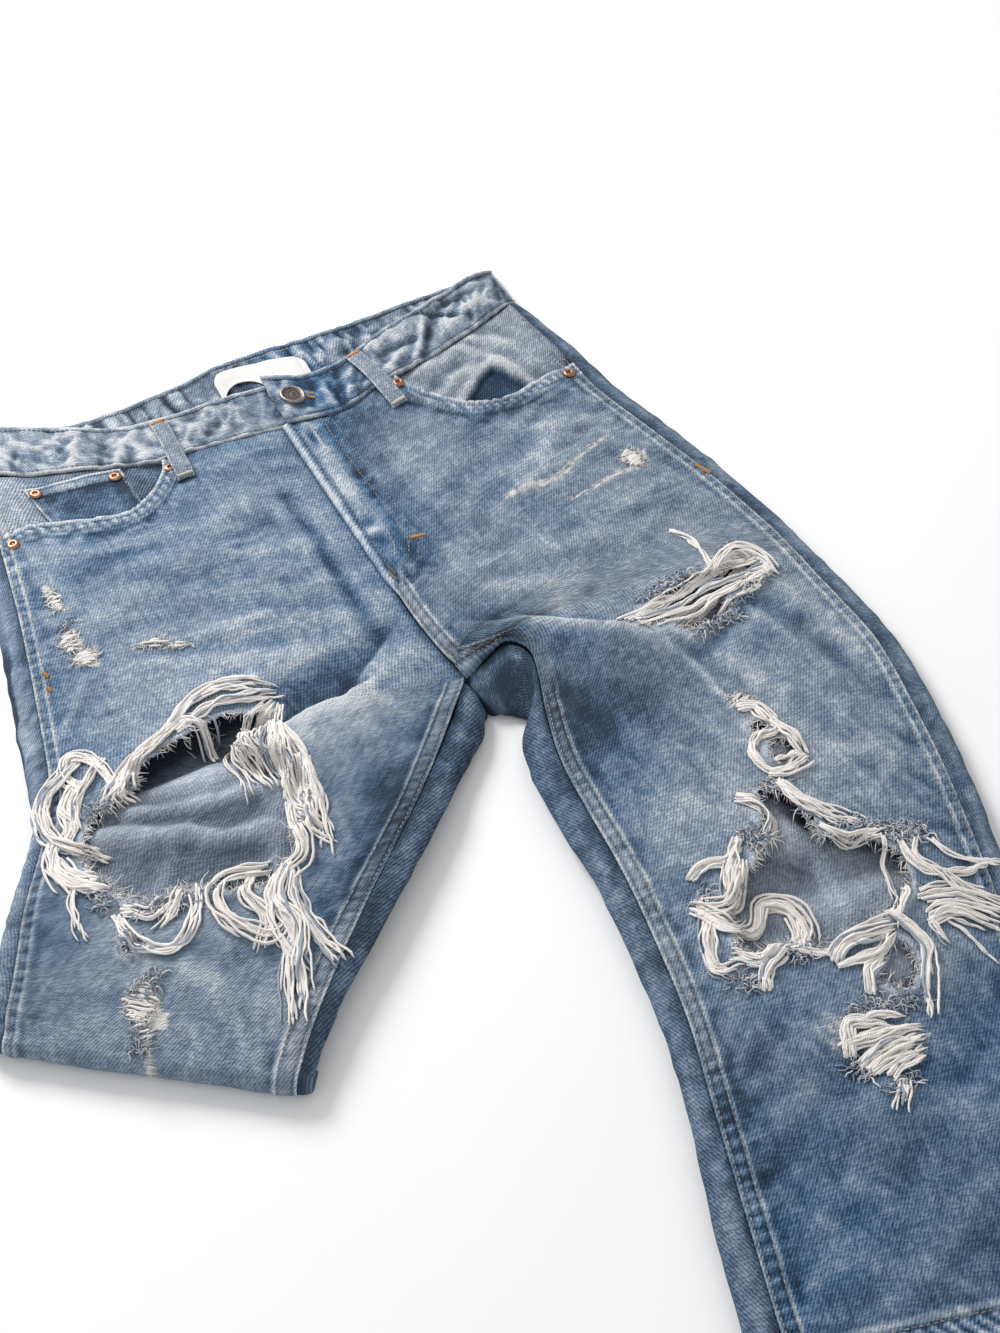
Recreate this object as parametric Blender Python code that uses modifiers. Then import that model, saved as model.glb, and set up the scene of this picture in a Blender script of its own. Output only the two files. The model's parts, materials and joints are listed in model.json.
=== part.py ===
"""Ripped straight-leg jeans lying face up, in metres, +Z up.

Both halves are lofted from a short table of rows that runs from the waist seam to the leg's end. Each row
gives the plan place and height of the inner seam (centre front, then inseam) and of the outseam. The front
panel is the crowned sheet between the two seams, and the back panel rolls from each seam round the side to
the flat underside. The right leg folds under itself below the knee.

The tables are in millimetres from the waist seam at the centre front: +X is the wearer's left, +Y the waist.
"""

import math

import bpy
import numpy as np
from mathutils import Vector

MM = 0.001

# Driving sizes, in millimetres.
DENIM = 1.5  # wall of every single layer
BAND_WALL = 3.0  # the waistband is two layers and its turnings
LOOP_WALL = 1.6
LABEL_WALL = 1.0
SEAM_GAP = 0.3
CENTRE = (-35.4, -329.8)  # middle of the laid garment, where the origin is set

FOLD_AXIS_HEIGHT = 8.6  # the right leg turns under about this height
UNDER_LAYERS = 9.3  # underside of the right leg where it lies on its own folded part
FOLD_STEPS = 5
FOLD_TUCK = 9.0  # how far the turned panels run back under the leg
FOLDED_LENGTH = (150.0, 118.0)  # of the folded part, on its inseam side and its outseam side
FOLDED_FROM = 9.6  # where its solid begins, just past the tucked panels
FOLDED_INSET = 3.0  # of its edges inside the seams, before their bulge
FOLDED_BULGE = 4.0
UNDER_RUN = 178.0  # up the leg from the fold, how far the underside stays raised
UNDER_SLOPE = 36.0
KNEE_LINE = -228.0  # plan line where the raised underside begins at the knee
KNEE_SLOPE = 16.0

ROLL_INSET = 12.0  # from a seam's foot to where the roll meets the flat underside
OUT_FOOT = -0.6
ROLL_SLOPE = 0.1  # fall of the cloth as it leaves a seam, to follow on from the front
CROTCH_ROW = 7.0  # position of the row at the crotch, and how many rows round it part more
CROTCH_ROWS = 1.6
ARCH_ROW = 9.0  # and the same where the left inseam arches over
ARCH_ROWS = 2.6
CROTCH_PART = 1.1  # extra gap there, where four thick edges meet
CROTCH_LAP = 2.4  # and how far the backs start below the fronts
ROLL_EASE = 1.35  # above 1, the roll's points stand closer near the seam
EDGE_STEPS = 5
FLOOR_STEPS = 5
FRONT_STEPS = 10
RIGHT_STATIONS = 24
LEFT_STATIONS = 34

COLUMNS = (
    "in_x in_y in_z edge_x edge_y foot out_x out_y out_z reach crown bow arch"
).split()

# Rows from the waist seam down. in: inner seam; edge: how far the back rolls past it; foot: where the roll
# comes down, as a part of that reach, below zero on the seam's own side; out: outseam; reach: how far the
# back rolls past the outseam; crown: rise of the front between the seams; bow, arch: how far the row is
# bent along the leg at its middle, and near the crotch.
RIGHT_ROWS = (
    (0, 0, 20, 0, 0, 0, -200, 56, 12, 8, 5, -13, 0),
    (0, -50, 20.5, 0, 0, 0, -204, 2, 13, 12, 6, -5, 0),
    (0, -100, 21, 0, 0, 0, -213, -57, 14, 15, 7, 0, 0),
    (0, -150, 21, 0, 0, 0, -223, -111, 14.5, 16, 8, 0, 0),
    (0, -195, 20.5, 0, 0, 0, -233, -160, 16, 16, 8, 0, 0),
    (3, -228, 20, 0, 0, 0, -241, -198, 18, 15, 8, 0, 0),
    (6, -243, 19.5, 0, 0, 0, -246, -213, 19, 13, 8, 0, 0),
    (7, -252, 19, 3, -24, 1, -250, -226, 19.5, 11, 8, 0, 0),
    (-10, -270, 18, 11, -20, 0.45, -258, -241, 20, 10, 9, 0, 0),
    (-36, -297, 18, 13, -13, -0.3, -268, -258, 20.5, 10, 9, 0, 0),
    (-63, -323, 18.5, 12, -12, -0.6, -280, -276, 20.5, 10, 8, 0, 0),
    (-91, -348, 19.5, 11, -11, -0.6, -290, -293, 20.5, 11, 6, 0, 0),
    (-118, -372, 20, 10, -10, -0.6, -299, -311, 20.5, 12, 6, 0, 0),
    (-148, -400, 19.5, 8, -8, -0.6, -308, -328, 20, 12, 5, 0, 0),
    (-173, -425, 18.5, 6, -7, -0.6, -316, -341, 18, 12, 3, 0, 0),
    (-193, -448, 16, 7, -5, -0.6, -322, -353, 15.5, 11, 1.2, 0, 0),
)
LEFT_ROWS = (
    (0, 0, 22.5, 0, 0, 0, 199, 50, 12, 8, 5, -14, 0),
    (0, -50, 22.5, 0, 0, 0, 205, -5, 13, 14, 6, -5, 0),
    (0, -100, 22.5, 0, 0, 0, 209, -58, 14, 16, 7, 0, 0),
    (0, -150, 22, 0, 0, 0, 220, -108, 14.5, 16, 8, 0, 0),
    (0, -195, 21, 0, 0, 0, 230, -152, 15, 15, 8, 0, 4),
    (3, -228, 20, 0, 0, 0, 237, -190, 15, 14, 8, 0, 8),
    (6, -243, 19.5, 0, 0, 0, 239, -203, 15, 14, 8, 0, 18),
    (7, -252, 19, 6, -23, 1, 241, -217, 15, 14, 8, 0, 26),
    (24, -243, 18, -4, -35, 1, 243, -231, 15, 14, 8, 0, 14),
    (43, -236, 17.5, -17, -46, 1, 244, -245, 15, 14, 8, 0, 5),
    (52, -249, 18, -21, -39, 1, 245, -260, 15, 14, 8, 0, 0),
    (47, -270, 18.5, -13, -22, 1, 245.5, -278, 15, 15, 8, 0, 0),
    (39, -298, 18, -16, -6, 0.5, 247, -303, 15, 15, 8, 0, 0),
    (31, -333, 18, -16, 0, -0.6, 247.5, -342, 15, 15, 8, 0, 0),
    (26, -371, 18, -18, 0, -0.6, 239, -388, 15, 16, 9, 0, 0),
    (20, -416, 18, -16, 1, -0.6, 227, -438, 15, 16, 9, 0, 0),
    (13, -465, 17, -15, 2, -0.6, 210, -494, 15, 15, 9, 0, 0),
    (3, -516, 17, -14, 3, -0.6, 191, -552, 14.5, 14, 8, 0, 0),
    (-12, -566, 16.5, -13, 4, -0.6, 173, -608, 14, 13, 8, 0, 0),
    (-29, -624, 16, -16, 5, -0.6, 151, -668, 13.5, 12, 7, 0, 0),
    (-43, -672, 15, -17, 5, -0.6, 136, -718, 13, 12, 6, 0, 0),
    (-52.5, -708, 14, -17, 5, -0.6, 124.5, -757, 12, 12, 5, 0, 0),
)

# Where the backs' first rows start, on the centre back seam, as x, y, z. It lies underneath, then climbs to
# the crotch, and the rows after these start on the inseam.
CENTRE_BACK = (
    (0, 54, 0),
    (0, 2, 0),
    (0, -58, 0),
    (0, -118, 0),
    (0, -178, 0),
    (2, -236, 0),
    (11, -272, 1.5),
)

# Largest folds of the fronts: side, ends in plan, half width, rise (below zero for a trough).
FOLDS = (
    ("right", 4, -188, -112, -230, 15, -5.0),
    ("right", -8, -214, -100, -246, 12, 2.5),
    ("right", -60, -60, -190, -110, 16, 2.0),
    ("left", 46, -224, 100, -236, 11, 4.0),
    ("left", 100, -236, 160, -290, 12, 3.0),
    ("left", 60, -262, 120, -300, 14, -2.5),
    ("left", 120, -120, 215, -60, 16, 2.0),
    ("left", 20, -590, 130, -640, 14, 2.5),
)

# Rips cut right through a front: each is the union of its ellipses, as x, y, half length, half width, turn.
RIPS = {
    "right_knee": (
        (-178, -279, 69, 45, 0),
        (-127, -223, 23, 19, 20),
        (-152, -233, 34, 14, 22),
        (-151, -314, 35, 31, 10),
        (-217, -285, 30, 38, 0),
    ),
    "right_shin": ((-231, -341, 17, 13, -40),),
    "left_thigh": ((166, -267, 43, 16, 8), (200, -258, 19, 12, 0)),
    "left_above_knee": ((140, -391, 15, 10, 90),),
    "left_knee": ((106, -486, 61, 34, -8), (126, -446, 27, 14, 80), (97, -463, 32, 17, 27)),
    "left_below_knee": ((122, -549, 15, 13, 60),),
}
RIP_SIDES = {name: name.split("_")[0] for name in RIPS}
RIP_POINTS = 26
CUT_TOP = 45.0  # height of every cutter, above all the cloth
RIP_FOOT = 4.0  # the rips' cutters start above the back panels
MOUTH_FOOT = -5.0

# Pocket mouths in plan, from the waist seam to the outseam.
MOUTHS = {
    "right": ((-86, 30), (-87, 5), (-95, -10), (-108, -24), (-126, -31), (-152, -22), (-178, -13), (-222, -17)),
    "left": ((86, 20), (88, -2), (98, -26), (120, -48), (150, -52), (182, -40), (206, -33), (226, -31)),
}
MOUTH_TOP = 80.0

# Waistband over the fronts, from the centre outwards: x of a point on the waist seam, rise of the band's
# lower edge above the panel there, then the upper edge x, y, z. The left end laps over the right one.
LEFT_BAND = (
    (1, 2.2, 3, 50, 25),
    (14, 2.2, 15, 46, 25),
    (32, 2, 32, 42, 24),
    (64, 1.2, 66, 45, 22),
    (110, 1, 108, 62, 20),
    (156, 1, 154, 77, 18),
    (184, 1, 184, 88, 15.5),
)
RIGHT_BAND = (
    (-2, 0.2, 0, 44, 20.3),
    (-34, 0.6, -33, 46, 21.2),
    (-72, 1, -71, 48, 21.5),
    (-110, 1, -105, 56, 20.5),
    (-147, 1, -139, 75, 18.5),
    (-182, 1, -172, 95, 15.5),
)
BAND_END = (30, 2, 19.6, 30, 39, 19.6)  # the right end, under the left one: lower edge, then upper edge
# Round the left side, across the back and round the right side: lower edge, then upper edge.
BACK_BAND = (
    (200, 50.9, 10.5, 201, 93, 11),
    (205, 51, 6, 206, 94, 6.5),
    (200, 51, 1.6, 200, 95, 1.6),
    (188, 51.2, 0, 188, 96, 0),
    (150, 51.9, 0, 150, 97, 0),
    (100, 52.9, 0, 100, 95, 0),
    (50, 53.9, 0.4, 50, 95, 0.4),
    (14, 54.6, 2.2, 14, 95, 2.2),
    (0, 54.8, 2.4, 0, 94.5, 2.4),
    (-14, 55, 2.2, -14, 94, 2.2),
    (-50, 55.3, 0.4, -50, 89, 0.4),
    (-100, 55.8, 0, -100, 86, 0),
    (-150, 56.3, 0, -150, 90, 0),
    (-188, 56.7, 0, -186, 97, 0),
    (-201, 57, 1.6, -197, 99, 1.6),
    (-206, 57, 6, -201, 100, 6.5),
    (-201, 57, 10.5, -194, 100, 11),
)
BAND_STEPS = 2
BAND_STATIONS = 52
BAND_SEAM = 0.6  # from the panel's waist edge to the band's lower edge
BAND_FRONT = 12.0  # the band's lower edge is higher than this on the fronts, and lower at the back
BAND_LAP = 2.0  # how far below the waist seam the band's height still counts
BAND_NEAR = 3.0

LOOPS = {  # head and foot of each front belt loop in plan
    "belt_loop_front_right": (-75.5, 45, -78.5, -17),
    "belt_loop_front_left": (69.5, 44, 76.5, -20),
}
LOOP_WIDTH = 12.0
LOOP_RISE = 2.2  # how far a loop stands off between its tacked ends
LOOP_STATIONS = 10
LOOP_ARCH = 0.7  # below one, a loop rises steeply beside its tacks and runs level between
BACK_LOOP = (43.0, 94.0)  # foot and head, on the centre back

RIVETS = {
    "rivet_pocket_right_top": ("right", -84, 0, 0.3),
    "rivet_pocket_right_side": ("right", -198, -20, 0.3),
    "rivet_coin_right": ("right", -170, 21, 0.0),
    "rivet_coin_left": ("right", -119, 10, 0.0),
    "rivet_pocket_left_top": ("left", 85, 0, 0.3),
    "rivet_pocket_left_side": ("left", 198, -39, 0.6),
}
# Turned profiles, radius and height, from the middle of the top, down the outside, to the foot's middle.
RIVET_PROFILE = ((0, 0.5), (1.1, 0.5), (1.5, 1.3), (3.4, 1.1), (4.3, 0.4), (4.3, 0), (0, 0))
BUTTON_PROFILE = (
    (0, 3.4),
    (5, 3.5),
    (6.6, 4.2),
    (8.3, 3.6),
    (8.7, 2.7),
    (7.6, 1.8),
    (3.4, 1.5),
    (3.2, 0),
    (0, 0),
)
BUTTON_AT = (15, 22)
BUTTON_FOOT = 3.0  # radius that has to clear the band below
TURN_STEPS = 20

COIN_TOP = ((-176, 29), (-113, 17))
COIN_FOOT_X = (-170, -112)
COIN_GAP = 1.2  # from the pocket's foot to the edge of the mouth
LABEL_X = (-22, 44)
LABEL_Y = (52, 87)  # on the inside of the back band
LABEL_WAVE = 2.6  # how far its free lower edge stands up, at most twice this
LABEL_WAVE_RUN = 11.0

ZIP_WALL = 1.2
ZIP_ROWS = (0.12, 2.75)  # row positions of its ends on the left front
ZIP_ACROSS = (0.016, 0.12)
SHIELD_ROWS = (0.08, 2.9)
SHIELD_ACROSS = (0.01, 0.17)
FACING_ROWS = {"right": (0.012, 1.5), "left": (0.012, 1.85)}
FACING_ACROSS = (0.36, 0.99)
FACING_EASE = 0.4  # more room below the front than at a seam, as the front sags between its rows
SEAM_FLAT = 0.08  # share of the width beside each seam where the folds die out
# The backs rise over the seam allowances in the middle of the waist: by how much, where that ends sideways in
# runs of its slope, the run itself, where it starts up the back, over which length, and what counts as floor.
SWELL = 2.3
SWELL_EDGE = 2.4
SWELL_RUN = 8.0
SWELL_START = 20.0
SWELL_UP = 16.0
SWELL_FLOOR = 5.0

DENIM_BLUE = (0.23, 0.36, 0.52)
DENIM_INSIDE = (0.36, 0.42, 0.50)
CREAM = (0.86, 0.84, 0.79)
COPPER = (0.55, 0.28, 0.16)
STEEL = (0.30, 0.28, 0.27)


def between(rows, t):
    """The table's values at row positions t, on a smooth curve through its rows (Catmull-Rom)."""
    rows = np.asarray(rows, float)
    t = np.clip(np.asarray(t, float), 0, len(rows) - 1)
    i = np.minimum(t.astype(int), len(rows) - 2)
    f = (t - i)[:, None]
    before = rows[np.maximum(i - 1, 0)]
    start = rows[i]
    end = rows[i + 1]
    after = rows[np.minimum(i + 2, len(rows) - 1)]
    return 0.5 * (
        2 * start
        + (end - before) * f
        + (2 * before - 5 * start + 4 * end - after) * f**2
        + (3 * start - before - 3 * end + after) * f**3
    )


def row_values(side, t):
    """A dict of each column's values at row positions t of that side's table."""
    table = np.asarray(RIGHT_ROWS if side == "right" else LEFT_ROWS, float)
    values = between(table, t)
    row = {name: values[:, i][:, None] for i, name in enumerate(COLUMNS)}
    starts = between(np.vstack([CENTRE_BACK, table[len(CENTRE_BACK) :, :3]]), t)
    row["back_x"], row["back_y"], row["back_z"] = (starts[:, i][:, None] for i in range(3))
    near = np.exp(-(((np.asarray(t, float) - CROTCH_ROW) / CROTCH_ROWS) ** 2))[:, None]
    shift = (1 if side == "left" else -1) * CROTCH_PART * near
    row["in_x"] += shift
    row["back_x"] += shift
    row["back_z"] = np.maximum(row["back_z"], 0)
    arch = np.exp(-(((np.asarray(t, float) - ARCH_ROW) / ARCH_ROWS) ** 2))[:, None]
    thick = np.maximum(near, arch if side == "left" else 0)
    row["seam_gap"] = SEAM_GAP / 2 + CROTCH_PART * thick
    row["back_z"] -= CROTCH_LAP * thick * (row["back_z"] > CROTCH_LAP)
    return row


def last_row(side):
    return len(RIGHT_ROWS if side == "right" else LEFT_ROWS) - 1.0


def fold_rise(side, x, y):
    """The rise of the front at plan points (x, y): each fold is a soft ridge that dies out past its ends."""
    rise = np.zeros_like(x)
    for fold_side, x0, y0, x1, y1, half_width, height in FOLDS:
        if fold_side != side:
            continue
        along = np.array([x1 - x0, y1 - y0], float)
        length = math.hypot(*along)
        along /= length
        run = (x - x0) * along[0] + (y - y0) * along[1]
        off = -(x - x0) * along[1] + (y - y0) * along[0]
        past = np.maximum(0, np.maximum(-run, run - length))
        rise += height * np.exp(-(off**2 + past**2) / half_width**2)
    return rise


def front_surface(side, t, u):
    """Outer face of a front at row positions t and places u across it, 0 at the inner seam."""
    row = row_values(side, t)
    u = np.asarray(u, float)[None, :]
    span_x = row["out_x"] - row["in_x"]
    span_y = row["out_y"] - row["in_y"]
    length = np.hypot(span_x, span_y)
    hand = 1.0 if side == "left" else -1.0
    bend = row["bow"] * np.sin(np.pi * u) + row["arch"] * np.sin(np.pi * u**0.4)
    x = row["in_x"] + span_x * u - hand * bend * span_y / length
    y = row["in_y"] + span_y * u + hand * bend * span_x / length
    z = row["in_z"] + (row["out_z"] - row["in_z"]) * u + row["crown"] * np.sin(np.pi * u)
    seams = np.clip(np.minimum(u, 1 - u) / SEAM_FLAT, 0, 1)
    z = z + fold_rise(side, x, y) * seams
    return turned_under(side, t, np.stack([x, y, z], axis=-1))


def fold_frame():
    """The right leg's fold line in plan: its start, its run to the outseam and the way down the leg."""
    last = dict(zip(COLUMNS, RIGHT_ROWS[-1]))
    start = np.array([last["in_x"], last["in_y"]], float)
    along = np.array([last["out_x"], last["out_y"]], float) - start
    along /= np.linalg.norm(along)
    return start, along, np.array([along[1], -along[0]]) * -np.sign(-along[0])


def underside(side, x, y):
    """Height of the underside: the right leg lies on its own folded part, and drops off that part's end."""
    if side == "left":
        return np.zeros_like(x)
    start, _, down = fold_frame()
    up_leg = -((x - start[0]) * down[0] + (y - start[1]) * down[1])
    by_leg = np.clip((UNDER_RUN - up_leg) / UNDER_SLOPE + 1, 0, 1)
    by_knee = np.clip((KNEE_LINE - y) / KNEE_SLOPE, 0, 1)
    rest = np.minimum(by_leg, by_knee)
    return UNDER_LAYERS * rest * rest * (3 - 2 * rest)


def roll(side, start, reach, part, inward, steps):
    """A cubic curve from a seam, round the side by its reach, to its foot on the underside.

    The handles are as long as brings the curve out to the reach, whatever part of it the foot lies at. A row
    that starts on the underside has no reach, and runs straight in.
    """
    f = (np.linspace(0, 1, steps + 1) ** ROLL_EASE)[None, :, None]
    closed = np.clip(np.linalg.norm(reach, axis=1, keepdims=True) / 8, 0, 1)
    handle = (1 - 0.125 * part) / 0.75 * reach
    foot = start[:, :2] + part * reach + inward * ROLL_INSET
    foot = np.column_stack([foot, underside(side, foot[:, 0], foot[:, 1])])
    fall = ROLL_SLOPE * np.linalg.norm(handle, axis=1)
    out = start.copy()
    out[:, :2] += handle + (1 - closed) * inward * ROLL_INSET / 3
    out[:, 2] -= np.minimum(fall, 0.3 * (start[:, 2] - foot[:, 2]))
    low = foot.copy()
    low[:, :2] = start[:, :2] + handle + (1 - closed) * inward * ROLL_INSET * 2 / 3
    a, b, c, d = (p[:, None, :] for p in (start, out, low, foot))
    return a * (1 - f) ** 3 + 3 * b * f * (1 - f) ** 2 + 3 * c * f**2 * (1 - f) + d * f**3


def back_surface(side, t, edge_steps, floor_steps):
    """Outer face of a back at row positions t: roll at the inner seam, flat underside, roll at the outseam."""
    row = row_values(side, t)
    across = np.hstack([row["out_x"] - row["back_x"], row["out_y"] - row["back_y"]])
    across /= np.linalg.norm(across, axis=1, keepdims=True)
    start = np.hstack([row["back_x"], row["back_y"], row["back_z"]])
    reach = np.hstack([row["edge_x"], row["edge_y"]])
    inner = roll(side, start, reach, row["foot"], across, edge_steps)
    end = np.hstack([row["out_x"], row["out_y"], row["out_z"]])
    outer = roll(side, end, across * row["reach"], OUT_FOOT, -across, edge_steps)[:, ::-1]
    f = np.linspace(0, 1, floor_steps + 1)[None, 1:-1, None]
    floor = inner[:, -1:] * (1 - f) + outer[:, :1] * f
    floor[..., 2] = underside(side, floor[..., 0], floor[..., 1])
    points = np.concatenate([inner, floor, outer], axis=1)
    by_middle = np.clip(SWELL_EDGE - np.abs(points[..., 0]) / SWELL_RUN, 0, 1)
    by_waist = np.clip((points[..., 1] - SWELL_START) / SWELL_UP, 0, 1)
    points[..., 2] += SWELL * by_middle * by_waist * (points[..., 2] < SWELL_FLOOR)
    return turned_under(side, t, points)


def turned_under(side, t, points):
    """Rows past the right leg's last one, turned about the fold's axis and run back under the leg."""
    t = np.asarray(t, float)
    past = t - last_row("right")
    if side != "right" or not (past > 0).any():
        return points
    _, _, down = fold_frame()
    angle = np.pi * np.clip(past, 0, 1)[:, None]
    height = points[..., 2] - FOLD_AXIS_HEIGHT
    forward = height * np.sin(angle) - FOLD_TUCK * np.clip(past - 1, 0, 1)[:, None]
    moved = points.copy()
    turned = past > 0
    moved[turned, :, :2] += (forward[..., None] * down)[turned]
    moved[turned, :, 2] = (FOLD_AXIS_HEIGHT + height * np.cos(angle))[turned]
    return moved


def row_positions(side):
    """Row positions of a panel's stations, with those of the turned-under end on the right."""
    if side == "left":
        return np.linspace(0, last_row("left"), LEFT_STATIONS)
    straight = np.linspace(0, last_row("right"), RIGHT_STATIONS)
    turned = last_row("right") + np.append(np.arange(1, FOLD_STEPS + 1) / FOLD_STEPS, 2.0)
    return np.append(straight, turned)


def opened_at_seams(points, inner_gap, outer_gap):
    """The grid with its first and last columns drawn in along the surface by the gaps."""
    points = points.copy()
    for edge, inside, gap in ((0, 1, inner_gap), (-1, -2, outer_gap)):
        step = points[:, inside] - points[:, edge]
        length = np.linalg.norm(step, axis=1, keepdims=True)
        points[:, edge] += step / length * np.minimum(gap, 0.45 * length)
    return points


def normals(points):
    """Unit normals of a grid of points, on the side that its columns and rows turn to."""
    down = np.gradient(points, axis=0)
    across = np.gradient(points, axis=1)
    normal = np.cross(across, down)
    return normal / np.linalg.norm(normal, axis=-1, keepdims=True)


def find_on_front(side, x, y):
    """Row position and place across of plan points on a front, by Newton steps on its surface."""
    x, y = np.broadcast_arrays(np.asarray(x, float), np.asarray(y, float))
    rows = np.linspace(0, last_row(side), 120)
    across = np.linspace(0, 1, 60)
    grid = front_surface(side, rows, across)
    t = np.empty(x.shape)
    u = np.empty(x.shape)
    for place in np.ndindex(x.shape):
        gap = (grid[..., 0] - x[place]) ** 2 + (grid[..., 1] - y[place]) ** 2
        i, j = np.unravel_index(gap.argmin(), gap.shape)
        t[place], u[place] = rows[i], across[j]
        for _ in range(6):
            here = front_surface(side, [t[place]], [u[place]])[0, 0]
            by_t = (front_surface(side, [t[place] + 0.01], [u[place]])[0, 0] - here) / 0.01
            by_u = (front_surface(side, [t[place]], [u[place] + 0.01])[0, 0] - here) / 0.01
            slope = np.array([[by_t[0], by_u[0]], [by_t[1], by_u[1]]])
            step = np.linalg.solve(slope, [x[place] - here[0], y[place] - here[1]])
            t[place] = np.clip(t[place] + step[0], 0, last_row(side))
            u[place] = np.clip(u[place] + step[1], 0, 1)
    return t, u


def on_front(side, x, y, out):
    """Points of a front's outer face over plan points, moved out along its normal."""
    t, u = find_on_front(side, x, y)
    points = np.empty(t.shape + (3,))
    for place in np.ndindex(t.shape):
        near_t = t[place] + np.array([-0.02, 0.0, 0.02])
        near_u = u[place] + np.array([-0.02, 0.0, 0.02])
        patch = front_surface(side, np.clip(near_t, 0, last_row(side)), np.clip(near_u, 0, 1))
        normal = np.cross(patch[1, 2] - patch[1, 0], patch[2, 1] - patch[0, 1])
        normal *= np.sign(normal[2]) / np.linalg.norm(normal)
        points[place] = patch[1, 1] + normal * out
    return points


def material(name, colour, roughness, metallic=0.0):
    made = bpy.data.materials.get(name) or bpy.data.materials.new(name)
    made.use_nodes = True
    shader = made.node_tree.nodes["Principled BSDF"]
    shader.inputs["Base Color"].default_value = (*colour, 1)
    shader.inputs["Roughness"].default_value = roughness
    shader.inputs["Metallic"].default_value = metallic
    made.diffuse_color = (*colour, 1)
    return made


def collection(name, hidden=False):
    made = bpy.data.collections.new(name)
    bpy.context.scene.collection.children.link(made)
    made.hide_render = hidden
    return made


def placed(points):
    """Garment millimetres as scene metres, with the origin under the middle of the laid garment."""
    return (np.asarray(points, float) - np.array([*CENTRE, 0.0])) * MM


def add_mesh(name, vertices, faces, into, finish=None):
    mesh = bpy.data.meshes.new(name)
    mesh.from_pydata([tuple(v) for v in vertices], [], [tuple(int(i) for i in f) for f in faces])
    mesh.update()
    obj = bpy.data.objects.new(name, mesh)
    into.objects.link(obj)
    if finish:
        mesh.materials.append(finish)
        mesh.shade_smooth()
        mesh.set_sharp_from_angle(angle=math.radians(50))
    return obj


def grid_faces(rows, columns, flip=False):
    """Quads of a grid whose points run column by column along each row."""
    i, j = np.meshgrid(np.arange(rows - 1), np.arange(columns - 1), indexing="ij")
    corner = (i * columns + j).reshape(-1)
    quads = np.stack([corner, corner + 1, corner + columns + 1, corner + columns], axis=1)
    return quads[:, ::-1] if flip else quads


def add_sheet(name, points, wall, finish, into, flip=False):
    """A wall of cloth: the grid is its outer face, and Solidify gives it its thickness inwards."""
    rows, columns = points.shape[:2]
    vertices = placed(points.reshape(-1, 3))
    obj = add_mesh(name, vertices, grid_faces(rows, columns, flip), into, finish)
    solidify = obj.modifiers.new("Wall", "SOLIDIFY")
    solidify.thickness = wall * MM
    solidify.offset = -1
    solidify.use_even_offset = False
    return obj


def add_prism(name, outline, low, high, into):
    """An upright prism over a plan outline, as a cutter."""
    outline = np.asarray(outline, float)
    turn = np.sum(outline[:, 0] * np.roll(outline[:, 1], -1) - outline[:, 1] * np.roll(outline[:, 0], -1))
    if turn < 0:
        outline = outline[::-1]
    count = len(outline)
    foot = np.column_stack([outline, np.full(count, low)])
    head = np.column_stack([outline, np.full(count, high)])
    sides = [(i, (i + 1) % count, count + (i + 1) % count, count + i) for i in range(count)]
    faces = [tuple(range(count))[::-1], tuple(range(count, 2 * count)), *sides]
    mesh_points = placed(np.vstack([foot, head]))
    mesh = bpy.data.meshes.new(name)
    mesh.from_pydata([tuple(v) for v in mesh_points], [], faces)
    mesh.update()
    obj = bpy.data.objects.new(name, mesh)
    obj.hide_render = True
    obj.display_type = "WIRE"
    into.objects.link(obj)
    return obj


def cut(obj, cutter):
    boolean = obj.modifiers.new(f"Cut {cutter.name}", "BOOLEAN")
    boolean.operation = "DIFFERENCE"
    boolean.solver = "EXACT"
    boolean.object = cutter


def rip_outline(ellipses):
    """Outline of a union of ellipses, as the farthest reach of any of them round the first one's middle."""
    middle = np.array(ellipses[0][:2], float)
    angles = np.arange(RIP_POINTS) * 2 * math.pi / RIP_POINTS
    rays = np.column_stack([np.cos(angles), np.sin(angles)])
    reach = np.zeros(RIP_POINTS)
    for x, y, half_length, half_width, turn in ellipses:
        c, s = math.cos(math.radians(turn)), math.sin(math.radians(turn))
        unit = np.array([[c, s], [-s, c]]) / np.array([[half_length], [half_width]])
        ray = rays @ unit.T
        start = unit @ (middle - np.array([x, y]))
        a = np.sum(ray**2, axis=1)
        b = ray @ start
        inside = b**2 - a * (start @ start - 1)
        far = np.where(inside > 0, (-b + np.sqrt(np.maximum(inside, 0))) / a, 0)
        reach = np.maximum(reach, far)
    return middle + rays * reach[:, None]


def mouth_curve(side, count=14):
    """The pocket mouth as a smooth curve in plan."""
    points = np.array(MOUTHS[side], float)
    return between(points, np.linspace(0, len(points) - 1, count))


def moved_out(points, out):
    """A grid that faces up, moved along its normals."""
    normal = normals(points)
    return points + normal * np.sign(normal[..., 2].mean()) * out


def part_of_front(side, rows, across, depth, row_steps, across_steps):
    """A grid over a part of a front, this far below its outer face."""
    t = np.linspace(*rows, row_steps + 1)
    u = np.linspace(*across, across_steps + 1)
    return moved_out(front_surface(side, t, u), -depth)


def waist_seam(side, x):
    """y and z of the front's top edge at plan x."""
    edge = front_surface(side, [0.0], np.linspace(0, 1, 81))[0]
    reach = np.abs(edge[:, 0])
    return np.interp(abs(x), reach, edge[:, 1]), np.interp(abs(x), reach, edge[:, 2])


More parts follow.
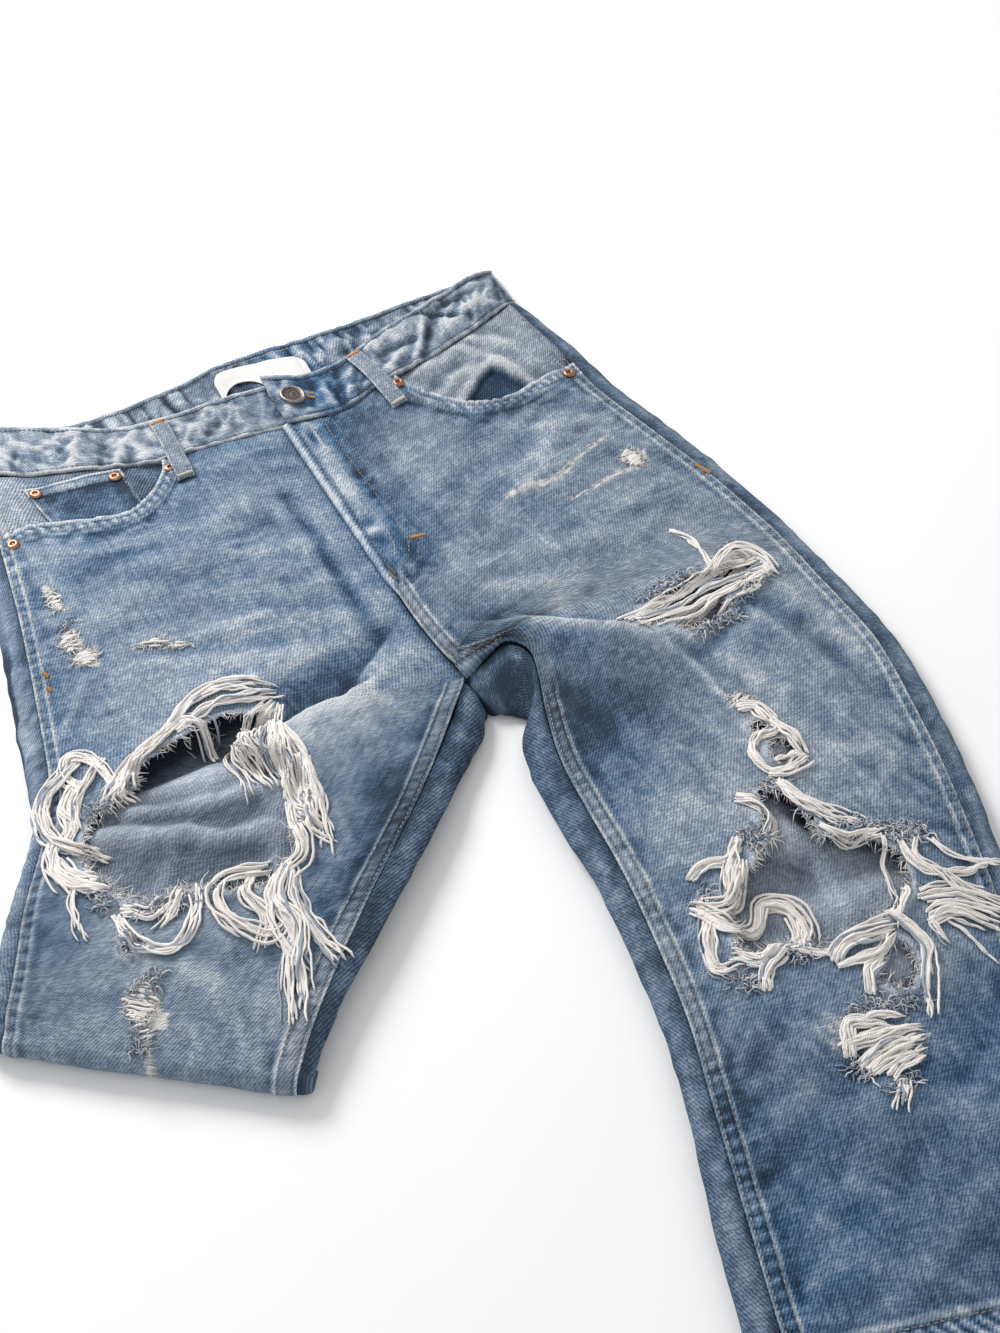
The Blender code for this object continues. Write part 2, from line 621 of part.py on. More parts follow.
def band_grid(stations):
    """Outer face of the waistband, lower edge to upper edge at each station along it."""
    rows = []
    for side, table in (("left", LEFT_BAND), ("right", RIGHT_BAND)):
        placed_rows = []
        for x, rise, top_x, top_y, top_z in table:
            y, z = waist_seam(side, x)
            placed_rows.append((x, y + BAND_SEAM, z + rise, top_x, top_y, top_z))
        rows.append(placed_rows)
    table = rows[0] + list(BACK_BAND) + rows[1][::-1] + [BAND_END]
    values = between(table, np.linspace(0, len(table) - 1, stations))
    values[:, [2, 5]] = np.maximum(values[:, [2, 5]], 0)
    f = np.linspace(0, 1, BAND_STEPS + 1)[None, :, None]
    return values[:, None, :3] * (1 - f) + values[:, None, 3:] * f


def top_height(side, x, y):
    """Height of what lies on top at plan points: the band above the waist seam, the front below it."""
    band = band_grid(12 * BAND_STATIONS)
    band = band[band[:, 0, 2] > BAND_FRONT].reshape(-1, 3)
    heights = np.empty(x.shape)
    for place in np.ndindex(x.shape):
        seam_y, _ = waist_seam(side, x[place])
        if y[place] > seam_y - BAND_LAP:
            gap = (band[:, 0] - x[place]) ** 2 + (band[:, 1] - y[place]) ** 2
            heights[place] = band[gap < gap.min() + BAND_NEAR**2, 2].max()
        else:
            heights[place] = on_front(side, x[place], y[place], 0.0)[2]
    return heights


def build_panels(parts, cutters):
    outside = material("denim", DENIM_BLUE, 0.85)
    for side in ("right", "left"):
        t = row_positions(side)
        left = side == "left"
        front = front_surface(side, t, np.linspace(0, 1, FRONT_STEPS + 1))
        front = opened_at_seams(front, SEAM_GAP / 2, SEAM_GAP / 2)
        panel = add_sheet(f"front_panel_{side}", front, DENIM, outside, parts, flip=left)
        mouth = mouth_curve(side)
        closing = [(mouth[-1, 0], MOUTH_TOP), (mouth[0, 0], MOUTH_TOP)]
        cut(panel, add_prism(f"mouth_{side}", np.vstack([mouth, closing]), MOUTH_FOOT, CUT_TOP, cutters))
        for name, ellipses in RIPS.items():
            if RIP_SIDES[name] == side:
                cut(panel, add_prism(f"rip_{name}", rip_outline(ellipses), RIP_FOOT, CUT_TOP, cutters))
        back = back_surface(side, t, EDGE_STEPS, FLOOR_STEPS)
        back = opened_at_seams(back, row_values(side, t)["seam_gap"], SEAM_GAP / 2)
        add_sheet(f"back_panel_{side}", back, DENIM, outside, parts, flip=not left)


def build_fly_and_pockets(parts):
    outside = material("denim", DENIM_BLUE, 0.85)
    tape = material("zip_tape", STEEL, 0.5, 0.6)
    below = DENIM + SEAM_GAP
    closure = part_of_front("left", ZIP_ROWS, ZIP_ACROSS, below, 8, 1)
    add_sheet("zip", closure, ZIP_WALL, tape, parts, flip=True)
    shield = part_of_front("left", SHIELD_ROWS, SHIELD_ACROSS, below + ZIP_WALL + SEAM_GAP, 8, 1)
    add_sheet("fly_shield", shield, DENIM, outside, parts, flip=True)
    for side, rows in FACING_ROWS.items():
        facing = part_of_front(side, rows, FACING_ACROSS, below + FACING_EASE, 6, 8)
        add_sheet(f"pocket_facing_{side}", facing, DENIM, outside, parts, flip=side == "left")
    u = np.linspace(0, 1, 8)
    (x0, y0), (x1, y1) = COIN_TOP
    top = np.column_stack([x0 + (x1 - x0) * u, y0 + (y1 - y0) * u])
    mouth = mouth_curve("right", 60)
    foot_x = COIN_FOOT_X[0] + (COIN_FOOT_X[1] - COIN_FOOT_X[0]) * u
    order = np.argsort(mouth[:, 0])
    foot = np.column_stack([foot_x, np.interp(foot_x, mouth[order, 0], mouth[order, 1]) + COIN_GAP])
    v = np.linspace(0, 1, 4)[:, None, None]
    plan = top * (1 - v) + foot * v
    pocket = on_front("right", plan[..., 0], plan[..., 1], -SEAM_GAP)
    add_sheet("coin_pocket", pocket, ZIP_WALL, outside, parts, flip=True)


def build_band(parts):
    outside = material("denim", DENIM_BLUE, 0.85)
    add_sheet("waistband", band_grid(BAND_STATIONS), BAND_WALL, outside, parts, flip=True)
    for name, (x0, y0, x1, y1) in LOOPS.items():
        f = np.linspace(0, 1, LOOP_STATIONS + 1)[:, None]
        offset = np.array([-0.5, 0, 0.5]) * LOOP_WIDTH
        x = x0 + (x1 - x0) * f + offset
        y = np.broadcast_to(y0 + (y1 - y0) * f, x.shape)
        height = top_height(name.split("_")[-1], x, y).max(axis=1, keepdims=True)
        rise = LOOP_RISE * np.sin(np.pi * f) ** LOOP_ARCH
        z = np.broadcast_to(height + SEAM_GAP + LOOP_WALL + rise, x.shape)
        add_sheet(name, np.stack([x, y, z], axis=-1), LOOP_WALL, outside, parts, flip=True)
    x, y = np.meshgrid(np.array([-0.5, 0.5]) * LOOP_WIDTH, np.linspace(*BACK_LOOP, 3))
    add_sheet("belt_loop_back", np.stack([x, y, 0 * x], axis=-1), LOOP_WALL, outside, parts, flip=True)
    x, y = np.meshgrid(np.linspace(*LABEL_X, 12), np.linspace(*LABEL_Y, 5))
    back = np.array(BACK_BAND)[::-1]
    lining = np.interp(x, back[:, 0], back[:, 2]) + BAND_WALL
    free = (LABEL_Y[1] - y) / (LABEL_Y[1] - LABEL_Y[0])
    wave = LABEL_WAVE * free * (1 + np.cos((x - LABEL_X[0]) / LABEL_WAVE_RUN))
    z = lining + SEAM_GAP + LABEL_WALL + wave
    cream = material("label_cloth", CREAM, 0.8)
    add_sheet("label", np.stack([x, y, z], axis=-1), LABEL_WALL, cream, parts)


def add_turned(name, profile, finish, into):
    """A turned shape, from a profile swept round Z."""
    points = [(r * MM, 0, z * MM) for r, z in profile]
    mesh = bpy.data.meshes.new(name)
    mesh.from_pydata(points, [(i, i + 1) for i in range(len(points) - 1)], [])
    mesh.materials.append(finish)
    obj = bpy.data.objects.new(name, mesh)
    into.objects.link(obj)
    screw = obj.modifiers.new("Turn", "SCREW")
    screw.steps = screw.render_steps = TURN_STEPS
    screw.use_merge_vertices = True
    screw.merge_threshold = 0.00001
    return obj


def set_on(obj, point, normal):
    obj.location = placed(point)
    obj.rotation_mode = "QUATERNION"
    obj.rotation_quaternion = Vector(normal).to_track_quat("Z", "Y")


def build_metal(parts):
    copper = material("copper", COPPER, 0.4, 0.9)
    steel = material("button_metal", STEEL, 0.35, 0.9)
    for name, (side, x, y, out) in RIVETS.items():
        base = on_front(side, x, y, out)
        normal = on_front(side, x, y, out + 1) - base
        set_on(add_turned(name, RIVET_PROFILE, copper, parts), base, normal)
    x, y = BUTTON_AT
    height = top_height("left", x + BUTTON_FOOT * np.array([-1, 0, 1]), np.array([y, y, y])).max()
    set_on(add_turned("button", BUTTON_PROFILE, steel, parts), (x, y, height + SEAM_GAP), (0, 0, 1))


def build_folded_leg(parts):
    """The hidden lower right leg: two puffed layers, joined inside, with a groove between at their edges."""
    start, along, down = fold_frame()
    last = dict(zip(COLUMNS, RIGHT_ROWS[-1]))
    width = math.hypot(last["out_x"] - last["in_x"], last["out_y"] - last["in_y"])
    layers = []
    for centre in (0.25, 0.75):
        for angle in (-90, -45, 0, 45, 90):
            turn = math.radians(angle)
            layers.append((FOLDED_BULGE * math.cos(turn), centre + 0.25 * math.sin(turn)))
    bulge, level = np.array(layers).T
    level = level * (UNDER_LAYERS - SEAM_GAP)
    sections = []
    for f in np.linspace(0, 1, 7):
        near = FOLDED_FROM + f * (FOLDED_LENGTH[0] - FOLDED_FROM)
        far = FOLDED_FROM + f * (FOLDED_LENGTH[1] - FOLDED_FROM)
        inner, outer = FOLDED_INSET, width - FOLDED_INSET
        first = start + along * inner - down * near
        second = start + along * outer - down * far
        left_side = np.column_stack([first[0] - along[0] * bulge, first[1] - along[1] * bulge, level])
        right_side = np.column_stack([second[0] + along[0] * bulge, second[1] + along[1] * bulge, level])
        sections.append(np.vstack([left_side, right_side[::-1]]))
    points = np.array(sections)
    rows, count = points.shape[:2]
    faces = []
    for i in range(rows - 1):
        for j in range(count):
            k = (j + 1) % count
            faces.append((i * count + j, (i + 1) * count + j, (i + 1) * count + k, i * count + k))
    faces.append(tuple(range(count)))
    faces.append(tuple(range((rows - 1) * count, rows * count))[::-1])
    inside = material("denim_inside", DENIM_INSIDE, 0.9)
    add_mesh("folded_leg_right", placed(points.reshape(-1, 3)), faces, parts, inside)


def main():
    for obj in list(bpy.data.objects):
        bpy.data.objects.remove(obj, do_unlink=True)
    parts = collection("ripped_jeans")
    cutters = collection("cutters", hidden=True)
    build_panels(parts, cutters)
    build_fly_and_pockets(parts)
    build_band(parts)
    build_metal(parts)
    build_folded_leg(parts)


main()
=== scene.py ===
"""A pair of worn, ripped jeans laid flat, the right leg folded under: the detailed model round its CAD frame.

Lengths inside are millimetres in the garment's own plan: the origin is where the front seam meets the
waistband, X runs to the wearer's left, Y up to the waist and Z up from the surface that the jeans lie on.
"""

import json
import math

import bpy
import numpy as np
from bpy.props import FloatProperty, FloatVectorProperty, PointerProperty
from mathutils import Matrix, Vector

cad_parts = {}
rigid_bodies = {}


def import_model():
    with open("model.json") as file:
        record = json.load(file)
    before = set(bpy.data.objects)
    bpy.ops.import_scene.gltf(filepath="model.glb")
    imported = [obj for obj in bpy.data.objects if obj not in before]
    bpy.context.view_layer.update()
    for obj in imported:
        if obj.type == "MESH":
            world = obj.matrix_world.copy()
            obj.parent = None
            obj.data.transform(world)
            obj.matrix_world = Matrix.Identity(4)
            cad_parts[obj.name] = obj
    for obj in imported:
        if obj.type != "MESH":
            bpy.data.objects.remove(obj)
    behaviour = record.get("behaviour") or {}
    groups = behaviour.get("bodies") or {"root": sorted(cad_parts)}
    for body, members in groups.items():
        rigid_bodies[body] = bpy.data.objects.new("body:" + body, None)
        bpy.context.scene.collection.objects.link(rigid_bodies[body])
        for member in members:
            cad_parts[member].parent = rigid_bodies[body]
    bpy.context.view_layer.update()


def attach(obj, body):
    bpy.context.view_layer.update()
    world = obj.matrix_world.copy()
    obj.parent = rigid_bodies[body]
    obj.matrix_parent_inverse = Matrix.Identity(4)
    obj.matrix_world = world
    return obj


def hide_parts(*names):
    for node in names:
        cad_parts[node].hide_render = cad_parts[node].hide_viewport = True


bl_info = {
    "name": "Ripped Jeans",
    "version": (1, 0, 0),
    "blender": (4, 5, 0),
    "location": "View3D > Sidebar > Jeans",
    "description": "Builds a pair of worn, ripped denim jeans laid flat",
    "category": "Object",
}

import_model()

MM = 0.001
CENTRE = (-35.4, -329.8)  # the frame's origin, in the garment's plan
SEAM_GAP = 0.3  # between two pieces that are sewn together
BAND_WALL = 3.0  # the waistband's wall in the frame, and the belt loops' one
LOOP_WALL = 1.6

# The right leg's fold, as in the frame.
FOLD_AXIS_HEIGHT = 8.6  # the leg turns under about this height
UNDER_LAYERS = 9.3  # underside of the leg where it lies on its own folded part
FOLD_TUCK = 9.0  # how far the turned panels run back under the leg
FOLDED_LENGTH = (150.0, 118.0)  # of the folded part, on its inseam side and its outseam side
FOLDED_FROM = 9.8  # where it begins, just past the tucked panels
FOLDED_INSET = 3.0  # of its edges inside the seams, before their bulge
FOLDED_BULGE = 4.0
UNDER_RUN = 178.0  # up the leg from the fold, how far the underside stays raised, and how softly it drops
UNDER_SLOPE = 36.0
KNEE_LINE = -228.0  # plan line where the raised underside begins at the knee, and how softly it rises
KNEE_SLOPE = 16.0

# The backs' rolls round the seams, as in the frame.
ROLL_INSET = 12.0  # from a seam's foot to where the roll meets the flat underside
OUT_FOOT = -0.6  # the outseam roll's foot, as a part of its reach
ROLL_SLOPE = 0.1  # fall of the cloth as it leaves a seam, to follow on from the front
ROLL_EASE = 1.35  # above 1, the roll's points stand closer near the seam
CROTCH_ROW = 7.0  # position of the row at the crotch, and how many rows round it part more
CROTCH_ROWS = 1.6
ARCH_ROW = 9.0  # and the same where the left inseam arches over
ARCH_ROWS = 2.6
CROTCH_PART = 1.1  # extra gap there, where four thick edges meet
CROTCH_LAP = 2.4  # and how far the backs start below the fronts

FRONT_CELL = 2.2  # mesh spacing of the fronts, and beside their seams
SEAM_CELL = 0.9
BACK_CELL = 4.0
BAND_CELL = 2.2
BAND_RUN = 1060.0  # length round the waistband, and its columns of points from edge to edge
BAND_COLUMNS = 25
BAND_STITCHES = 3.2  # from its edges to its stitches
SHELL = 1.25  # wall of every visible layer of denim
LINING = 9.0  # cloth of the waistband below this height is the back's, and shows its lining
WAIST_SAG = 9.0  # how far the front's waist hangs down between the fly and the left loop
LOOP_SAG = 5.0  # and beside the right loop
HIP_LIFT = 7.0  # how far it is pulled up at the right side
FLY_LAP = 3.2  # how far the fly reaches over the right front
FLY_ROWS = 3.35  # row position where the fly ends
HEM_WIDTH = 14.0  # of the cloth turned up at a hem
HEM_STITCHES = 12.6  # from its edge to its stitches
HEM_BACK = 0.6  # how far the left front's hem lies short of the back's
PUCKER_PITCH = 7.6  # of the puckers along a felled seam
INSEAM_WIDTH = {"left": 11.0, "right": 13.0}  # of the seams' felled strips, and the seed of their puckers
INSEAM_SEED = {"left": 48, "right": 50}
OUTSEAM_WIDTH = 8.0
OUTSEAM_SEED = 52
HAND = {"left": 1.0, "right": -1.0}  # a side's sign along X

COLUMNS = "in_x in_y in_z edge_x edge_y foot out_x out_y out_z reach crown bow arch".split()

# Rows from the waist seam down. in: inner seam; edge: how far the back rolls past it; foot: where the roll
# comes down, as a part of that reach, below zero on the seam's own side; out: outseam; reach: how far the
# back rolls past the outseam; crown: rise of the front between the seams; bow, arch: how far the row is
# bent along the leg at its middle, and near the crotch.
RIGHT_ROWS = (
    (0, 0, 20, 0, 0, 0, -200, 56, 12, 8, 5, -13, 0),
    (0, -50, 20.5, 0, 0, 0, -204, 2, 13, 12, 6, -5, 0),
    (0, -100, 21, 0, 0, 0, -213, -57, 14, 15, 7, 0, 0),
    (0, -150, 21, 0, 0, 0, -223, -111, 14.5, 16, 8, 0, 0),
    (0, -195, 20.5, 0, 0, 0, -233, -160, 16, 16, 8, 0, 0),
    (3, -228, 20, 0, 0, 0, -241, -198, 18, 15, 8, 0, 0),
    (6, -243, 19.5, 0, 0, 0, -246, -213, 19, 13, 8, 0, 0),
    (7, -252, 19, 3, -24, 1, -250, -226, 19.5, 11, 8, 0, 0),
    (-10, -270, 18, 11, -20, 0.45, -258, -241, 20, 10, 9, 0, 0),
    (-36, -297, 18, 13, -13, -0.3, -268, -258, 20.5, 10, 9, 0, 0),
    (-63, -323, 18.5, 12, -12, -0.6, -280, -276, 20.5, 10, 8, 0, 0),
    (-91, -348, 19.5, 11, -11, -0.6, -290, -293, 20.5, 11, 6, 0, 0),
    (-118, -372, 20, 10, -10, -0.6, -299, -311, 20.5, 12, 6, 0, 0),
    (-148, -400, 19.5, 8, -8, -0.6, -308, -328, 20, 12, 5, 0, 0),
    (-173, -425, 18.5, 6, -7, -0.6, -316, -341, 18, 12, 3, 0, 0),
    (-193, -448, 16, 7, -5, -0.6, -322, -353, 15.5, 11, 1.2, 0, 0),
)
LEFT_ROWS = (
    (0, 0, 22.5, 0, 0, 0, 199, 50, 12, 8, 5, -14, 0),
    (0, -50, 22.5, 0, 0, 0, 205, -5, 13, 14, 6, -5, 0),
    (0, -100, 22.5, 0, 0, 0, 209, -58, 14, 16, 7, 0, 0),
    (0, -150, 22, 0, 0, 0, 220, -108, 14.5, 16, 8, 0, 0),
    (0, -195, 21, 0, 0, 0, 230, -152, 15, 15, 8, 0, 4),
    (3, -228, 20, 0, 0, 0, 237, -190, 15, 14, 8, 0, 8),
    (6, -243, 19.5, 0, 0, 0, 239, -203, 15, 14, 8, 0, 18),
    (7, -252, 19, 6, -23, 1, 241, -217, 15, 14, 8, 0, 26),
    (24, -243, 18, -4, -35, 1, 243, -231, 15, 14, 8, 0, 14),
    (43, -236, 17.5, -17, -46, 1, 244, -245, 15, 14, 8, 0, 5),
    (52, -249, 18, -21, -39, 1, 245, -260, 15, 14, 8, 0, 0),
    (47, -270, 18.5, -19, -22, 1, 245.5, -278, 15, 15, 8, 0, 0),
    (37, -298, 18, -21, -6, 0.5, 247, -303, 15, 15, 8, 0, 0),
    (27.5, -333, 18, -19, 0, -0.6, 247.5, -342, 15, 15, 8, 0, 0),
    (23.5, -371, 18, -18, 0, -0.6, 239, -388, 15, 16, 9, 0, 0),
    (20, -416, 18, -16, 1, -0.6, 227, -438, 15, 16, 9, 0, 0),
    (13, -465, 17, -15, 2, -0.6, 210, -494, 15, 15, 9, 0, 0),
    (3, -516, 17, -14, 3, -0.6, 191, -552, 14.5, 14, 8, 0, 0),
    (-12, -566, 16.5, -13, 4, -0.6, 173, -608, 14, 13, 8, 0, 0),
    (-29, -624, 16, -16, 5, -0.6, 151, -668, 13.5, 12, 7, 0, 0),
    (-43, -672, 15, -17, 5, -0.6, 136, -718, 13, 12, 6, 0, 0),
    (-52.5, -708, 14, -17, 5, -0.6, 124.5, -757, 12, 12, 5, 0, 0),
)
ROWS = {"right": RIGHT_ROWS, "left": LEFT_ROWS}

# Where the backs' first rows start, on the centre back seam, as x, y, z. It lies underneath, then climbs to
# the crotch, and the rows after these start on the inseam.
CENTRE_BACK = (
    (0, 54, 0), (0, 2, 0), (0, -58, 0), (0, -118, 0), (0, -178, 0), (2, -236, 0), (11, -272, 1.5),
)

# Largest folds of the fronts: x and y of both ends, half width, rise (below zero for a trough).
FOLDS = {
    "right": (
        (-20, -200, -112, -228, 15, -2.0), (-8, -218, -100, -250, 12, 2.0), (-60, -60, -190, -110, 16, 2.0),
    ),
    "left": (
        (76, -262, 130, -296, 16, -2.0), (120, -120, 215, -60, 16, 2.0), (20, -590, 130, -640, 14, 2.5),
    ),
}

# Pocket mouths in plan, from the waist seam to the outseam.
MOUTHS = {
    "right": (
        (-86, 30), (-87, 8), (-94, -6), (-106, -19), (-125, -26.5), (-152, -17.5), (-178, -9), (-222, -12),
    ),
    "left": (
        (86, 22), (89, 0), (101, -21), (121, -41), (150, -44.5), (180, -35), (205, -30.5), (226, -30),
    ),
}

# Waistband over the fronts, from the centre outwards: x of a point on the waist seam, rise of the band's
# lower edge above the panel there, then the upper edge x, y, z. The left end laps over the right one.
LEFT_BAND = (
    (1, 2.2, 3, 50, 25), (14, 2.2, 15, 46, 25), (32, 2, 32, 42, 24), (64, 1.2, 66, 45, 22),
    (110, 1, 108, 62, 20), (156, 1, 154, 77, 18), (184, 1, 184, 88, 15.5),
)
RIGHT_BAND = (
    (-2, 0.2, 0, 44, 20.3), (-34, 0.6, -33, 46, 21.2), (-72, 1, -71, 48, 21.5), (-110, 1, -105, 56, 20.5),
    (-147, 1, -139, 75, 18.5), (-182, 1, -172, 95, 15.5),
)
BAND_END = (30, 2, 19.6, 30, 39, 19.6)  # the right end, under the left one: lower edge, then upper edge
# Round the left side, across the back and round the right side: lower edge, then upper edge.
BACK_BAND = (
    (200, 50.9, 10.5, 201, 93, 11), (205, 51, 6, 206, 94, 6.5), (200, 51, 1.6, 200, 95, 1.6),
    (188, 51.2, 0, 188, 96, 0), (150, 51.9, 0, 150, 97, 0), (100, 52.9, 0, 100, 95, 0),
    (50, 53.9, 0.4, 50, 95, 0.4), (14, 54.6, 2.2, 14, 95, 2.2), (0, 54.8, 2.4, 0, 94.5, 2.4),
    (-14, 55, 2.2, -14, 94, 2.2), (-50, 55.3, 0.4, -50, 89, 0.4), (-100, 55.8, 0, -100, 86, 0),
    (-150, 56.3, 0, -150, 90, 0), (-188, 56.7, 0, -186, 97, 0), (-201, 57, 1.6, -197, 99, 1.6),
    (-206, 57, 6, -201, 100, 6.5), (-201, 57, 10.5, -194, 100, 11),
)
# Folds of the waistband on the left front: x and y of both ends, half width, height.
BAND_FOLDS = (
    (108, 18, 134, 58, 3.0, 2.1), (116, 20, 140, 56, 3.4, -2.2), (90, 34, 116, 40, 4.0, -2.4),
    (88, 46, 126, 60, 4.5, 1.8), (134, 62, 160, 50, 4.0, -2.8), (148, 66, 176, 72, 4.5, -2.4),
    (146, 42, 182, 62, 5.0, 2.0), (166, 80, 188, 84, 4.0, -2.0), (160, 56, 190, 52, 5.0, 1.4),
    (86, 16, 104, 30, 3.5, 1.8), (24, 12, 30, 26, 2.6, -1.4), (34, 10, 40, 32, 2.8, 1.4),
    (43, 8, 50, 30, 2.8, -1.8), (50, 6, 60, 28, 2.8, 1.6), (-52, 14, -40, 34, 3.0, -1.4),
    (-66, 12, -58, 30, 3.0, 1.4), (-112, 24, -96, 44, 3.4, 1.8), (-122, 28, -112, 50, 3.4, -1.6),
    (-140, 36, -128, 60, 3.4, 1.6),
)
BAND_SEAM = 0.6  # from the panel's waist edge to the band's lower edge

LOOPS = {  # head and foot of each front belt loop in plan
    "belt_loop_front_right": (-75.5, 45, -78.5, -17),
    "belt_loop_front_left": (69.5, 44, 76.5, -20),
}
LOOP_WIDTH = 12.0
LOOP_RISE = 2.2  # of its middle over its tacked ends
BACK_LOOP = (43.0, 94.0)  # foot and head of the one at the centre back

RIVETS = {  # the front that each sits on, and its place in plan
    "rivet_pocket_right_top": ("right", -84, 0),
    "rivet_pocket_right_side": ("right", -198, -20),
    "rivet_coin_right": ("right", -170, 21),
    "rivet_coin_left": ("right", -119, 10),
    "rivet_pocket_left_top": ("left", 85, 0),
    "rivet_pocket_left_side": ("left", 198, -39),
}
BUTTON_AT = (14.5, 22.5)

COIN_TOP = ((-176, 29), (-113, 17))  # the coin pocket's upper corners, and x of its lower ones
COIN_FOOT_X = (-170, -112)
COIN_GAP = 1.2  # from its foot to the edge of the mouth
COIN_DEPTH = 40.0
COIN_WIDTH = 62.0
LABEL_X = (-22, 44)
LABEL_Y = (52, 87)
LABEL_CORNER = 7.0

# Rips, each the union of its ellipses: x, y, half length, half width, turn.
RIPS = {
    "right": {
        "right_knee": (
            (-178, -279, 69, 45, 0), (-152, -229, 49, 12, 5), (-165, -308, 34, 28, 0),
            (-217, -282, 29, 37, 0),
        ),
        "right_shin": ((-242, -339, 5, 7, 0),),
    },
    "left": {
        "left_thigh": ((167, -262, 47, 13, 9), (160, -276, 22, 12, 10), (204, -256, 14, 12, 0)),
        "left_above_knee": ((141, -391, 8, 9, 0), (140, -371, 5, 3, 0)),
        "left_knee": (
            (108, -484, 56, 33, -8), (117, -440, 29, 14, 90), (97, -463, 32, 17, 27),
            (66, -492, 18, 12, 0),
        ),
        "left_below_knee": ((118, -543, 15, 11, 35),),
    },
}

# Creases pressed into the fronts: x and y of both ends, half width, height.
CREASES = {
    "right": (
        (-165, -155, -88, -186, 6, 1.1), (-149, -142, -31, -175, 8, 1.3), (-137, -76, -38, -108, 9, 1.2),
        (-130, -92, -93, -114, 6, -1.0), (-180, -40, -110, -58, 8, 0.9), (-27, -62, -24, -196, 4.5, -1.3),
        (-38, -70, -36, -190, 6, 0.9), (-92, -150, -32, -142, 7, 0.8), (-200, -62, -176, -120, 7, -1.1),
        (-110, -196, -40, -188, 9, 1.6), (-60, -250, -20, -246, 7, 1.2), (-96, -262, -50, -262, 10, 1.2),
        (-112, -345, -70, -300, 7, -1.2), (-250, -345, -200, -392, 8, 1.1),
        (-285, -350, -255, -372, 7, -1.2), (-190, -400, -150, -378, 6, 0.9),
        (-226, -180, -205, -150, 5, 1.2), (-230, -120, -212, -112, 4, 1.0),
    ),
    "left": (
        (128, -288, 134, -348, 3.2, 1.8), (138, -300, 150, -345, 7, -1.4), (150, -300, 190, -288, 8, -2.4),
        (186, -290, 204, -352, 5, 1.6), (214, -272, 238, -342, 7, 1.4), (206, -300, 222, -372, 6, -1.2),
        (70, -300, 84, -372, 9, 1.2), (52, -292, 62, -340, 6, -1.1), (95, -62, 190, -92, 8, 1.1),
        (60, -110, 196, -76, 6, -0.8), (100, -136, 190, -106, 7, 1.0), (48, -176, 150, -190, 8, 1.1),
        (52, -198, 118, -226, 6, 1.1), (40, -60, 52, -140, 5, -1.0), (58, -40, 66, -120, 6, 0.8),
        (200, -120, 226, -180, 5, -1.0), (196, -60, 206, -84, 4, 1.2), (214, -405, 222, -420, 4, -1.6),
        (206, -442, 214, -458, 4, -1.8), (198, -474, 206, -488, 4, -1.6), (24, -420, 40, -480, 7, 1.0),
        (-10, -612, 66, -586, 9, -2.2), (-24, -650, 40, -632, 9, 1.4), (60, -640, 112, -612, 10, -2.0),
        (10, -570, 60, -560, 8, 1.3), (30, -690, 100, -664, 9, 1.2), (-30, -676, 10, -690, 7, -1.1),
        (110, -590, 150, -640, 9, 1.4), (160, -560, 176, -600, 7, -1.2),
    ),
}

# Folds where one stretch of cloth drops behind the next: x and y of both ends, depth of the drop to the left
# of that run, its reach, and height and reach of the lip to the right.
STEPS = {
    "right": (
        (-120, -237, -62, -233, 7.0, 24, 2.6, 12), (-62, -233, -26, -206, 2.6, 20, 1.0, 10),
    ),
    "left": (
        (36, -219, 66, -229, 1.6, 12, 1.8, 12), (66, -229, 150, -284, 2.0, 14, 2.2, 18),
    ),
}

# Where the back's inside stands up under a rip: x, y, half length, half width, turn and rise.
BACK_RISES = (
    (-184, -282, 76, 56, 0, 7.0), (106, -480, 66, 42, -8, 9.5), (117, -424, 15, 24, 0, 15.0),
    (178, -262, 50, 20, 4, 11.0), (143, -386, 16, 16, 0, 20.5), (121, -541, 20, 17, 30, 17.5),
    (37, -727, 84, 8, -15.5, 14.0),
)

# Creases of the back's inside under a rip: x and y of both ends, half width, height.
BACK_CREASES = (
    (-240, -256, -150, -300, 7, 6.6), (-205, -254, -128, -274, 5, 4.4), (-225, -318, -160, -250, 6, 1.6),
    (-150, -330, -128, -280, 6, 2.0), (70, -478, 150, -492, 8, 2.0), (110, -520, 126, -450, 6, 1.6),
)

